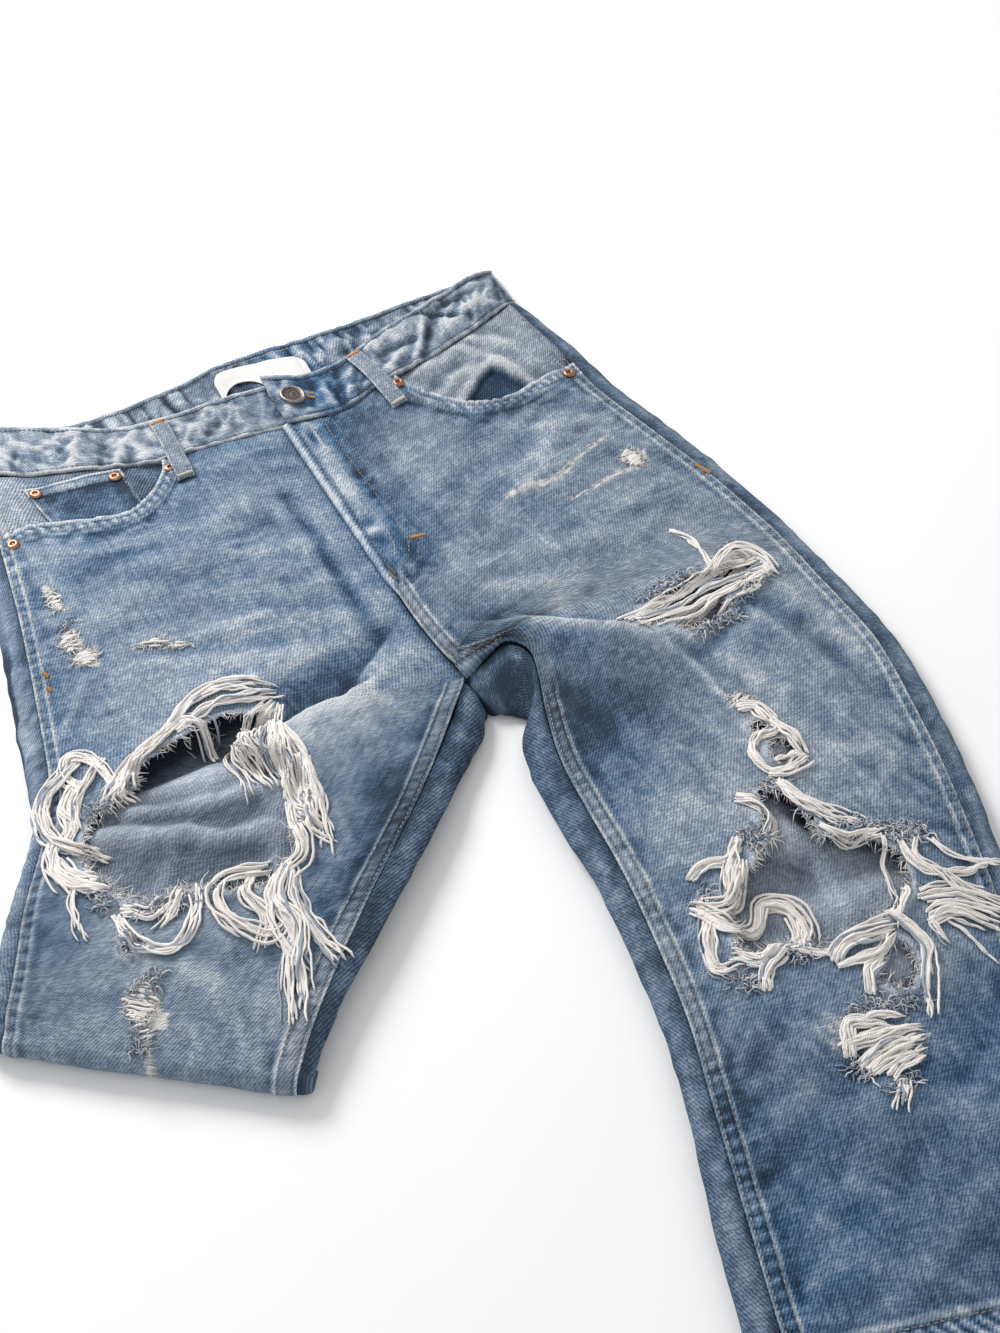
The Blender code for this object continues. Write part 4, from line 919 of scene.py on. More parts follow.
def compact(points, faces, *more):
    """Drops the points that no face uses, from every array given."""
    used, index = np.unique(faces, return_inverse=True)
    return points[used], index.reshape(faces.shape), *(array[used] for array in more)


def tubes(paths, radius, sides=5):
    """Closed round tubes along paths (number, points, 3): points, triangles and UV by length and turn.

    Each ring stands across the path on two axes, one level and one upright, and a point closes each end.
    """
    paths = np.asarray(paths, float)
    number, count = paths.shape[:2]
    radius = np.broadcast_to(np.asarray(radius, float), (number, count))
    along = unit(np.gradient(paths, axis=1))
    level = unit(np.cross(along, [0.03, 0.02, 1.0]))
    upright = np.cross(level, along)
    angle = np.arange(sides) * 2 * np.pi / sides
    ring = np.cos(angle)[:, None] * level[:, :, None, :] + np.sin(angle)[:, None] * upright[:, :, None, :]
    rings = paths[:, :, None, :] + radius[:, :, None, None] * ring
    ends = paths[:, [0, -1]] + radius[:, [0, -1], None] * 0.5 * along[:, [0, -1]] * np.array([[-1], [1]])
    points = np.concatenate([rings.reshape(number, -1, 3), ends], axis=1)
    a, b = ring_corners(count, sides)
    side_faces = np.concatenate([np.stack([a, b, b + sides], 1), np.stack([a, b + sides, a + sides], 1)])
    j = np.arange(sides)
    k = (j + 1) % sides
    top, tail = count * sides, (count - 1) * sides
    head = np.stack([k, j, np.full(sides, top)], 1)
    foot = np.stack([tail + j, tail + k, np.full(sides, top + 1)], 1)
    faces = np.concatenate([side_faces, head, foot])
    per = points.shape[1]
    faces = (faces[None] + np.arange(number)[:, None, None] * per).reshape(-1, 3)
    length = arc(paths, 1)
    uv = np.stack(np.broadcast_arrays(length[:, :, None], (angle / (2 * np.pi) * 4)[None, None, :]), axis=-1)
    uv = np.concatenate([uv.reshape(number, -1, 2), np.zeros((number, 2, 2))], axis=1)
    return points.reshape(-1, 3), faces, uv.reshape(-1, 2)


def strands(paths, radius, dye, blue, sides=5):
    """Yarns or stitches along paths, with the dye and the share of blue of each."""
    points, faces, uv = tubes(paths, radius, sides)
    shades = np.zeros((len(paths), 3))
    shades[:, 0], shades[:, 1] = dye, blue
    return points, faces, uv, np.repeat(shades, len(points) // len(paths), axis=0)


def joined(parts):
    """Several (points, faces, uv, finish) made one."""
    offset, points, faces, uv, finish = 0, [], [], [], []
    for part_points, part_faces, part_uv, part_finish in parts:
        points.append(part_points)
        faces.append(part_faces + offset)
        uv.append(part_uv)
        finish.append(part_finish)
        offset += len(part_points)
    return np.concatenate(points), np.concatenate(faces), np.concatenate(uv), np.concatenate(finish)


def stitch_row(path, pitch, radius, dye, seed, lift=0.0):
    """Lock stitches along a path: each a short tube that rises from the cloth and dives back into it."""
    path = np.asarray(path, float)
    run = path_run(path)
    count = max(int(run[-1] / pitch), 1)
    rng = np.random.default_rng(seed)
    start = (np.arange(count) + 0.14 + 0.06 * rng.uniform(-1, 1, count)) * run[-1] / count
    at = start[:, None] + np.array([0.0, 0.22, 0.55, 0.76])[None, :] * run[-1] / count
    points = np.stack([np.interp(at, run, path[:, i]) for i in range(3)], axis=-1)
    points[..., 2] += lift + np.array([-0.35, 0.16, 0.16, -0.35])
    points[..., :2] += 0.12 * rng.normal(size=(count, 1, 2))
    return strands(points, radius, dye + 0.08 * rng.normal(size=count), 0, 4)


def bartack(x, y, z, length, turn, dye):
    """A close zigzag of thread, in the two directions of a bartack: this long, 2.4 wide, at this turn."""
    count = int(length / 0.55)
    f = np.linspace(-0.5, 0.5, count)
    across = np.linspace(-1.2, 1.2, 4)
    local_x = np.broadcast_to(across[None, :], (count, 4))
    local_y = f[:, None] * length + 0.25 * across[None, :] / 1.2
    rise = np.broadcast_to(np.array([-0.3, 0.45, 0.45, -0.3]), (count, 4))
    along_x, along_y = spin(local_x, local_y, turn)
    return strands(np.stack([x + along_x, y + along_y, z + rise], axis=-1), 0.42, dye, 0)


def thread_piece(name, material, parts):
    """Yarns or stitches joined as one piece."""
    points, faces, uv, finish = joined(parts)
    obj = new_piece(name, points, faces, [finishes()[material]], uv, finish)


def cloth_piece(name, node, points, uv, finish, wall=SHELL, flip=False, lining=1, faces=None):
    """Denim in place of a frame's node, from its points, UV and finish.

    lining is 1 where the inner side shows the denim's wrong side, and 0 where it shows the right one. The
    faces are a grid's unless they are given. The pockets' facings are plainer than the rest.
    """
    made = finishes()
    if faces is None:
        faces = grid_faces(*points.shape[:2], flip=flip)
    sides = [made["facing" if "facing" in name else "denim"], made["denim_inside"]]
    obj = new_piece(name, points.reshape(-1, 3), faces, sides, uv.reshape(-1, 2), finish.reshape(-1, 4))
    shell(obj, wall, lining)
    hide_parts(node)
    return obj


def stacked(tone, scratched=0, frayed=0, blueness=1):
    """A piece's finish: its tone, with any painted light and shade in it, how far it is scratched and frayed,
    and how blue it is.
    """
    return np.stack(np.broadcast_arrays(tone, scratched, frayed, blueness), axis=-1)


# Finishes. The colours run from dark to pale blue, and from pale grey to dark and on to orange thread.

OUTSIDE_BLUES = (
    (0.0, (0.014, 0.024, 0.044)), (0.2, (0.040, 0.066, 0.106)), (0.35, (0.082, 0.124, 0.186)),
    (0.5, (0.146, 0.196, 0.268)), (0.65, (0.215, 0.266, 0.335)), (0.8, (0.315, 0.358, 0.412)),
    (1.0, (0.540, 0.565, 0.590)),
)
INSIDE_BLUES = (
    (0.0, (0.050, 0.065, 0.095)), (0.25, (0.115, 0.140, 0.185)), (0.5, (0.225, 0.258, 0.315)),
    (0.8, (0.370, 0.415, 0.485)), (1.0, (0.560, 0.590, 0.640)),
)
STITCH_DYES = (
    (0.0, (0.66, 0.63, 0.57)), (0.30, (0.42, 0.36, 0.28)), (0.50, (0.25, 0.21, 0.17)),
    (0.72, (0.10, 0.10, 0.11)), (0.86, (0.46, 0.22, 0.07)), (1.0, (0.62, 0.30, 0.09)),
)


class Shader:
    """A material's node tree, filled in a few words: each method adds a node and gives its output."""

    def __init__(self, name):
        self.material = bpy.data.materials.new(name)
        self.material.use_nodes = True
        self.tree = self.material.node_tree
        self.surface = self.tree.nodes["Principled BSDF"]

    def add(self, kind, settings=None, **inputs):
        """A node of this kind with its settings. Its inputs are numbers, colours or other outputs."""
        made = self.tree.nodes.new("ShaderNode" + kind)
        for key, value in (settings or {}).items():
            setattr(made, key, value)
        for key, value in inputs.items():
            self.join(made.inputs[key.replace("_", " ")], value)
        return made

    def join(self, socket, value):
        """Links another node's output to an input, or sets its value."""
        if isinstance(value, bpy.types.NodeSocket):
            self.tree.links.new(value, socket)
        else:
            socket.default_value = value

    def maths(self, operation, first, second=0.0, third=0.0, clamp=False):
        """One arithmetic step on up to three values."""
        made = self.add("Math", {"operation": operation, "use_clamp": clamp})
        for socket, value in zip(made.inputs, (first, second, third)):
            self.join(socket, value)
        return made.outputs[0]

    def scaled(self, source, scale, turn=0.0):
        """Coordinates turned by this many degrees and scaled."""
        vector = (0, 0, math.radians(turn))
        return self.add("Mapping", Vector=source, Scale=scale, Rotation=vector).outputs[0]

    def clouds(self, source, scale, detail=2.0, roughness=0.5):
        """Noise from 0 to 1 about 0.5."""
        return self.add("TexNoise", Vector=source, Scale=scale, Detail=detail, Roughness=roughness).outputs[0]

    def bands(self, source, period, distortion=0.0, detail_scale=1.0):
        """Sine bands along X that repeat after this many metres."""
        scale = math.pi / 10 / period
        made = self.add("TexWave", Vector=source, Scale=scale, Distortion=distortion, Detail=1.0)
        made.inputs["Detail Scale"].default_value = detail_scale
        return made.outputs["Fac"]

    def ramp(self, value, stops):
        """A colour by the value, from (value, colour) stops."""
        made = self.add("ValToRGB", Fac=value)
        elements = made.color_ramp.elements
        while len(elements) < len(stops):
            elements.new(0.5)
        for element, (place, colour) in zip(elements, stops):
            element.position = place
            element.color = (*colour, 1)
        return made.outputs[0]

    def mix(self, amount, first, second):
        """The first colour at an amount of 0, and the second at 1."""
        made = self.add("Mix", {"data_type": "RGBA"})
        self.join(made.inputs[0], amount)
        self.join(made.inputs[6], first)
        self.join(made.inputs[7], second)
        return made.outputs[2]

    def sum_of(self, *terms):
        """The sum of (value, weight) terms, each less 0.5 times its weight, so that noise keeps its level."""
        total = None
        for value, weight in terms:
            term = self.maths("MULTIPLY_ADD", value, weight, -0.5 * weight)
            total = term if total is None else self.maths("ADD", total, term)
        return total

    def held(self):
        """What the piece holds per vertex: its finish's node, and the three parts of its colour."""
        source = self.add("Attribute", {"attribute_name": "finish"})
        return source, *self.add("SeparateColor", Color=source.outputs["Color"]).outputs

    def finish(self, colour, roughness, metallic=0.0, heights=(), distance=0.0003):
        """Joins the colour, and a bump from the weighted sum of heights, to the surface."""
        self.join(self.surface.inputs["Base Color"], colour)
        self.join(self.surface.inputs["Roughness"], roughness)
        self.join(self.surface.inputs["Metallic"], metallic)
        if heights:
            bump = self.add("Bump", Strength=1.0, Distance=distance, Height=self.sum_of(*heights))
            self.join(self.surface.inputs["Normal"], bump.outputs[0])
        return self.material


def denim(name, stops, twill_weight, speckle):
    """Washed denim. Its blue comes from a tone that the piece holds per vertex, from dark to pale, with
    painted light and shade in it on some pieces.

    To the tone it adds the twill's diagonal ribs, streaks along the warp, slubs along the weft, fine dark
    crinkles, and clouds a few millimetres to a few centimetres wide. Where the piece is scratched or frayed,
    bare weft threads show.
    """
    s = Shader(name)
    coordinates = s.add("TexCoord")
    flat, place = coordinates.outputs["UV"], coordinates.outputs["Object"]
    source, tone, scratched, frayed = s.held()
    blueness = source.outputs["Alpha"]
    ribs = s.bands(s.scaled(flat, (1, 1, 1), -30), 0.0018, 1.2, 2.0)
    warp = s.clouds(s.scaled(flat, (900, 42, 1)), 1.0, 3.0, 0.6)
    wide_warp = s.clouds(s.scaled(flat, (260, 16, 1)), 1.0, 2.0)
    weft = s.clouds(s.scaled(flat, (45, 800, 1)), 1.0, 2.0)
    grain = s.clouds(flat, 1300, 1.0)
    marks = s.clouds(s.scaled(flat, (230, 150, 1), 8), 1.0, 6.0, 0.62)
    clouds = s.clouds(place, 30, 4.0, 0.6)
    level = s.clouds(s.scaled(flat, (120, 290, 1), 20), 1.0, 3.0, 0.55)
    crinkles = s.maths("ABSOLUTE", s.maths("SUBTRACT", level, 0.5))
    crinkles = s.maths("MULTIPLY_ADD", crinkles, 11.0, 0.0, clamp=True)
    shade = s.sum_of(
        (ribs, twill_weight), (warp, 0.42), (wide_warp, 0.16), (weft, 0.06),
        (grain, speckle), (marks, 0.5), (crinkles, 0.13), (clouds, 0.16),
    )
    colour = s.ramp(s.maths("ADD", tone, shade), stops)
    saturation = s.maths("ADD", blueness, s.maths("MULTIPLY_ADD", clouds, 0.5, -0.25))
    colour = s.add("HueSaturation", Saturation=saturation, Color=colour).outputs[0]
    thready = s.clouds(s.scaled(flat, (110, 1500, 1)), 1.0, 2.0)
    bare = s.maths("ADD", scratched, s.sum_of((thready, 1.6), (marks, 1.4)))
    bare = s.maths("MULTIPLY_ADD", bare, 3.2, -2.1, clamp=True)
    colour = s.mix(s.maths("MULTIPLY", bare, 0.85), colour, (0.70, 0.69, 0.66, 1))
    fluff = s.maths("ADD", frayed, s.sum_of((grain, 0.9), (warp, 0.8)))
    fluff = s.maths("MULTIPLY_ADD", fluff, 3.0, -1.5, clamp=True)
    colour = s.mix(fluff, colour, (0.40, 0.47, 0.56, 1))
    heights = ((ribs, 0.45), (warp, 0.5), (grain, 0.35), (marks, 0.5), (crinkles, 0.9), (bare, 0.9))
    return s.finish(colour, 0.88, heights=heights, distance=0.00045)


def spun(name, colours):
    """Yarn of plied cotton: a colour by its dye, paler and darker along it, with the ply's twist raised."""
    s = Shader(name)
    flat = s.add("TexCoord").outputs["UV"]
    _, dye, blue, _ = s.held()
    twist = s.bands(s.scaled(flat, (1, 1, 1), 35), 0.0011)
    wear = s.clouds(s.scaled(flat, (260, 900, 1)), 1.0, 3.0)
    colour = s.ramp(s.maths("ADD", dye, s.sum_of((wear, 0.05))), colours)
    blue = s.maths("ADD", blue, s.sum_of((wear, 0.3)), clamp=True)
    colour = s.mix(blue, colour, (0.16, 0.24, 0.36, 1))
    # The ply's grooves a little darker, as painted shade.
    dark = s.maths("MULTIPLY_ADD", twist, -0.05, 0.05)
    colour = s.mix(dark, colour, (0.45, 0.40, 0.34, 1))
    return s.finish(colour, 0.92, heights=((twist, 1.0), (wear, 0.4)), distance=0.0002)


def woven_tape(name, colour, weave):
    """Smooth woven tape: a fine over-and-under weave in its colour and in its height."""
    s = Shader(name)
    coordinates = s.add("TexCoord")
    flat = coordinates.outputs["UV"]
    over = s.bands(flat, weave)
    under = s.bands(s.scaled(flat, (1, 1, 1), 90), weave)
    threads = s.maths("MULTIPLY", over, under)
    soft = s.clouds(coordinates.outputs["Object"], 220, 3.0)
    shade = s.maths("ADD", 0.5, s.sum_of((threads, 0.35), (soft, 0.5)))
    dark = tuple(0.78 * c for c in colour)
    made = s.ramp(shade, ((0.0, dark), (1.0, colour)))
    return s.finish(made, 0.75, heights=((threads, 1.0),), distance=0.00012)


def worn_metal(name, bright, dark, roughness):
    """Worn metal: bright where it is rubbed, dark where it has tarnished, and finely scratched."""
    s = Shader(name)
    place = s.add("TexCoord").outputs["Object"]
    clouds = s.clouds(place, 700, 4.0, 0.65)
    scratches = s.clouds(s.scaled(place, (500, 9000, 500), 25), 1.0, 2.0)
    worn = s.maths("ADD", 0.55, s.sum_of((clouds, 1.3), (scratches, 0.4)))
    shade = s.maths("SUBTRACT", worn, s.held()[1])
    colour = s.ramp(shade, ((0.15, dark), (0.75, bright)))
    shine = s.maths("MULTIPLY_ADD", clouds, -0.25, roughness + 0.12)
    return s.finish(colour, shine, 1.0, heights=((scratches, 0.5), (clouds, 0.6)), distance=0.0001)


def plain_floor(name, colour):
    """Matt pale board with the faintest unevenness."""
    s = Shader(name)
    clouds = s.clouds(s.add("TexCoord").outputs["Object"], 6, 2.0)
    near = tuple(0.985 * c for c in colour)
    return s.finish(s.ramp(clouds, ((0.3, near), (0.7, colour))), 0.9)


def finishes():
    """Makes each material once, and gives them all by a short name."""
    colours = bpy.context.scene.jeans_colours
    cream, label, floor = tuple(colours.yarn), tuple(colours.label), tuple(colours.floor)
    creams = ((0.0, cream), (1.0, tuple(0.86 * c for c in cream)))
    makers = {
        "denim": (denim, "washed denim", OUTSIDE_BLUES, 0.22, 0.20),
        "facing": (denim, "washed denim, plain twill", OUTSIDE_BLUES, 0.38, 0.12),
        "denim_inside": (denim, "denim wrong side", INSIDE_BLUES, 0.20, 0.12),
        "yarn": (spun, "cotton yarn", creams),
        "stitching": (spun, "sewing thread", STITCH_DYES),
        "label_cloth": (woven_tape, "woven label", label, 0.0007),
        "zip_tape": (woven_tape, "zip tape cloth", (0.10, 0.12, 0.16), 0.0009),
        "copper": (worn_metal, "worn copper", (0.50, 0.27, 0.18), (0.15, 0.07, 0.045), 0.42),
        "button_metal": (worn_metal, "dark steel", (0.34, 0.31, 0.29), (0.07, 0.06, 0.06), 0.40),
        "brass": (worn_metal, "zip brass", (0.60, 0.45, 0.24), (0.16, 0.11, 0.06), 0.32),
        "floor": (plain_floor, "pale board", floor),
    }
    return {
        short: bpy.data.materials.get(name) or make(name, *looks)
        for short, (make, name, *looks) in makers.items()
    }


# Pieces.


def worn_and_shaded(side, x, y, base):
    """Tone of the blue over the plan, from 0 dark to 1 white, with its wear and its painted light and shade,
    and how far it is scratched.
    """
    tone = base + np.zeros(np.shape(x))
    bend_x, bend_y = x + 6 * noise(x, y, 34, 71), y + 6 * noise(x, y, 34, 72)
    for middle_x, middle_y, half_length, half_width, turn, amount in WEAR_AND_SHADING[side]:
        a, b = spin(bend_x - middle_x, bend_y - middle_y, -turn)
        tone += amount * np.exp(-((a / half_length) ** 2 + (b / half_width) ** 2) * 0.9)
    scratched = np.zeros(np.shape(x))
    for *ends, half_width, strength in SCRATCHES[side]:
        off, past = from_segment(bend_x, bend_y, *ends)
        scratched = np.maximum(scratched, strength * np.exp(-(off**2 + past**2) / half_width**2))
    return tone, scratched


def relief_wear_and_shade(height, cell_reach, gain, most=0.24):
    """Extra tone from a grid of heights, partly wear and partly painted light and shade: what stands over its
    surroundings is pale, hollows are dark.
    """
    return np.clip(gain * (height - blurred(height, cell_reach)), -most, most)


def front_wear_and_shade(side, t, points, inner, outer, relief):
    """Finish of a front per vertex: tone with seam wear, scratches and fray, and painted light and shade over
    its relief and folds, beside the fly's edge and under the pocket's hem.
    """
    x, y = points[..., 0], points[..., 1]
    left = side == "left"
    base = (0.545 if left else 0.60) - 0.05 * smooth((-330 - y) / 80)
    tone, scratched = worn_and_shaded(side, x, y, base)
    # Relief paler on its crests and darker in its hollows: partly wear, partly painted light and shade.
    tone += relief_wear_and_shade(relief, 3, 0.13) + relief_wear_and_shade(relief, 12, 0.045)
    run_in, run_out = (seam_run(side, np.broadcast_to(t[:, None], x.shape), edge) for edge in ("in", "out"))
    bend_x, bend_y = x + 5 * noise(x, y, 15, 84), y + 5 * noise(x, y, 15, 85)
    tone += 0.032 * np.tanh(2.4 * noise(bend_x, 1.8 * bend_y, 22, 77)) + 0.05 * noise(x, y, 5, 79)
    tone += 0.02 * np.tanh(2.4 * noise(0.7 * bend_x + y, 2.0 * bend_y, 11, 78))
    # The fine creases paler on their crests and darker in their troughs: partly wear, partly painted light
    # and shade.
    tone += (0.06 + 0.012 * smooth((y + 260) / 90)) * body_wrinkles(side, x, y)
    rows = t[:, None]
    seam = (INSEAM_SEED[side], INSEAM_WIDTH[side])
    if left:
        fly = rows < FLY_ROWS
        shin = smooth((-530 - y) / 50)
        edge = 0.26 * hill(inner - 1.4, 1.3) - 0.26 * hill(inner - 4.4, 1.4) + 0.09 * fly_quilt(x, y, inner)
        edge += 0.13 * hill(inner - 10, 6) - 0.16 * hill(inner - 23, 3.5)
        strip = strip_tone(inner, run_in, *seam, 0.25 + 0.9 * shin) * seam_shown(rows)
        # Painted shade beside the inseam where the thigh's fold arches over it, near row 8.6.
        tone += np.where(fly, edge, strip - 0.34 * hill(inner - 5, 8) * hill(rows - 8.6, 1.5))
        tone -= np.where(fly, 0, 0.12 * hill(inner - 5.5, 3) * shin)
        blueness = 1.14 + 0.08 * smooth((-230 - y) / 160) + 0.18 * smooth((-540 - y) / 70)
        blueness += 0.3 * fly * hill(np.maximum(inner - 20, 0), 18)
        blueness -= np.where(fly, 0, 0.4 * hill(inner - 5.5, 3.5) * (1 - shin))
    else:
        crotch = rows < CROTCH_ROW
        # Painted shadow of the fly's lapped edge on the right front, above the crotch.
        fly_edge_shadow = -0.24 * hill(inner, 5) - 0.2 * hill(inner, 2.5)
        tone += np.where(crotch, fly_edge_shadow, strip_tone(inner, run_in, *seam, 0.3))
        blueness = 1.32 - 0.14 * smooth((-240 - y) / 100)
        blueness -= np.where(crotch, 0, 0.35 * hill(inner - 6.5, 4))
    tone += 0.9 * strip_tone(outer, run_out, OUTSEAM_SEED, OUTSEAM_WIDTH)
    blueness += 0.12 * noise(x, y, 60, 80)
    rip = from_rips(side, x, y)
    tone += 0.08 * hill(rip, 16)
    frayed = 1.0 * hill(np.maximum(rip, 0), 3.0) + 0.35 * hill(np.maximum(rip, 0), 8)
    mouth = from_mouth(side, x, y)
    frayed += 0.05 * hill(mouth, 1.6)
    rungs = mouth_rungs(x, y)
    tone += 0.07 * (1 - smooth((mouth - 10) / 2))
    # The mouth's edge paler, and painted shade just below its turned hem.
    tone += 0.30 * hill(mouth - 0.6, 1.6) - 0.24 * hill(mouth - 12.8, 2.2)
    tone += 0.14 * hill(mouth - 10.6, 0.9) - 0.26 * (hill(mouth - 3.2, 1.0) + hill(mouth - 8.9, 1.0))
    tone += (0.20 * rungs + 0.10 * noise(x, y, 5, 53)) * hill(mouth - 6, 3.0)
    tone += (0.05 * rungs + 0.12 * noise(x, y, 8, 56)) * hill(mouth - 17, 7)
    if left:
        hem = leg_end(x, y) - HEM_BACK
        pleats = hem_pleats(x, y, hem)
        past = hem - HEM_WIDTH - 1.6
        tone += 0.16 * hill(hem, 1.6) + 0.24 * hill(past, 1.5) - 0.18 * hill(hem - HEM_STITCHES, 1.4)
        tone += 0.30 * pleats + 0.05 * np.abs(pleats) - 0.08 * hill(hem - 20, 3) * (1 + noise(x, hem, 12, 76))
        blueness += 0.25 * (pleats < 0) * np.abs(pleats) - 0.25 * hill(past, 2)
        frayed += 0.3 * hill(hem, 1.2)
    return stacked(tone, scratched, frayed, blueness)


def front_grid(side, t, u):
    """A front's points, their distances from its inner seam, and its finish with painted light and shade, on
    rows t and columns u.
    """
    points, inner, outer = front_surface(side, t, u)
    plain, _, _ = front_surface(side, t, u, worn=False)
    relief = front_relief(side, t, plain[..., 0], plain[..., 1], inner, outer)
    return points, inner, front_wear_and_shade(side, t, plain, inner, outer, relief)


def opened_at_seams(points, inner_gap, outer_gap):
    """The grid with its first and last columns drawn in along the surface by the gaps."""
    points = points.copy()
    for edge, inside, gap in ((0, 1, inner_gap), (-1, -2, outer_gap)):
        step = points[:, inside] - points[:, edge]
        length = np.linalg.norm(step, axis=1, keepdims=True)
        points[:, edge] += step / length * np.minimum(gap, 0.45 * length)
    return points


def make_front(side):
    """A front panel: the worn surface on a grid, trimmed at its rips and its pocket mouth."""
    t = even_rows(side, FRONT_CELL)
    u = even_columns(252.0, FRONT_CELL, SEAM_CELL)
    points, inner, finish = front_grid(side, t, u)
    points = opened_at_seams(points, SEAM_GAP / 2, SEAM_GAP / 2)
    past = np.maximum(t - last_row(side), 0)[:, None]
    run = middle_run(side, t)
    if side == "right":
        run = run + np.minimum(past, 1) * 28 + np.maximum(past - 1, 0) * FOLD_TUCK
    uv = np.stack(np.broadcast_arrays(HAND[side] * inner, run), axis=-1)
    quads = grid_faces(*points.shape[:2], flip=side == "left")
    turned_in = (np.repeat(past > 0.3, len(u)))[quads].any(axis=1)

    def distance(x, y):
        cut = np.minimum(from_rips(side, x, y), from_mouth(side, x, y))
        return np.minimum(cut, leg_end(x, y) - HEM_BACK) if side == "left" else cut

    points, faces = trimmed(points.reshape(-1, 3), distance, quads[~turned_in])
    faces = np.concatenate([faces, quads[turned_in]])
    points, faces, uv, finish = compact(points, faces, uv.reshape(-1, 2), finish.reshape(-1, 4))
    cloth_piece(f"{side}_front", f"front_panel_{side}", points, uv, finish, faces=faces)


def make_back(side):
    """A back panel: rolls up from both seams, and lies flat between."""
    t = even_rows(side, BACK_CELL)
    points = back_surface(side, t, 16, int(215 / BACK_CELL))
    points = opened_at_seams(points, row_values(side, t)["seam_gap"], SEAM_GAP / 2)
    points[..., 2] = np.maximum(points[..., 2], 0.0)
    across = arc(points, 1)
    run = middle_run(side, t) + 0 * across
    uv = np.stack([across, run], axis=-1)
    to_outseam = across[:, -1:] - across
    edge = np.minimum(across, to_outseam)
    x, y, z = points[..., 0], points[..., 1], points[..., 2]

    def spot(middle_x, middle_y, reach, squash=1.0):
        return hill(np.hypot(x - middle_x, (y - middle_y) * squash), reach)

    # The rolls round the seams a little darker than the flat part, as painted shade; relief paler on crests
    # and darker in hollows, partly wear, partly painted light and shade.
    tone = 0.28 + 0.08 * smooth((edge - 24) / 14) + relief_wear_and_shade(z - blurred(z, 9), 3, 0.12)
    tone += 0.07 * noise(x, y, 40, 81) - 0.10 * hill(edge, 3.5) + 0.12 * hill(edge - 9, 4)
    # Painted shade under the crotch, where the backs meet between the legs.
    tone -= 0.14 * spot(14, -262, 36, 1.2) + 0.22 * spot(34, -262, 20)
    if side == "right":
        # Painted shade, near black, in the hollow under the knee rip's upper edge.
        tone -= 0.6 * smooth((y + 222 - 0.165 * (x + 192)) / 5) * smooth((-60 - y) / 60) * (z < 12)
        # Painted light on the inside seen through the knee rip.
        tone += 0.17 * spot(-180, -275, 80, 1.3)
        # Painted shade on the inseam's roll, turned from the light, and painted light on the outseam's roll.
        tone += np.where(across < 30, -0.1, 0.12 * (to_outseam < 30))
        # On the knee rip's inside, painted light on its upper part and painted shade on its lower part.
        tone += 0.16 * spot(-150, -246, 42, 1.5) - 0.16 * spot(-175, -312, 46, 1.3)
    else:
        # Painted light on the inside seen through the left leg's rips.
        tone += 0.24 * spot(106, -484, 80, 1.3) + 0.15 * spot(178, -266, 50)
        tone += 0.2 * spot(143, -386, 16) + 0.12 * spot(117, -424, 14, 1 / 1.5)
        hem = leg_end(x, y)
        pleats = noise(across, 0 * across, 4.5, 83)
        tone += (0.24 + 0.34 * pleats) * (1 - smooth((hem - 12) / 3))
        tone += 0.2 * hill(hem - 1, 1.2) - 0.16 * hill(hem - 9, 2)
        # Painted shade on the back's roll between the legs.
        tone -= 0.04 * spot(16, -330, 22, 0.5) * (edge < 40)
    tone += 0.2 * noise(across, run, 7, 82) * hill(edge - 6, 9) + 0.1 * noise(across, run, 15, 86)
    finish = stacked(tone, blueness=1.15)
    obj = cloth_piece(f"{side}_back", f"back_panel_{side}", points, uv, finish, flip=side != "left")
    obj.data.materials.append(finishes()["denim"])
    obj.data.materials.append(finishes()["denim"])
    if side == "left":
        faces = grid_faces(*points.shape[:2], flip=False)
        turned_up = hem.ravel()[faces].mean(axis=1) < HEM_WIDTH
        obj.data.polygons.foreach_set("material_index", np.where(turned_up, 2, 0).astype(np.int32))


def waist_seam(side, x):
    """y and z of the front's plain top edge at plan x."""
    edge, _, _ = front_surface(side, [0.0], np.linspace(0, 1, 81), worn=False)
    reach = np.abs(edge[0, :, 0])
    return np.interp(abs(x), reach, edge[0, :, 1]), np.interp(abs(x), reach, edge[0, :, 2])


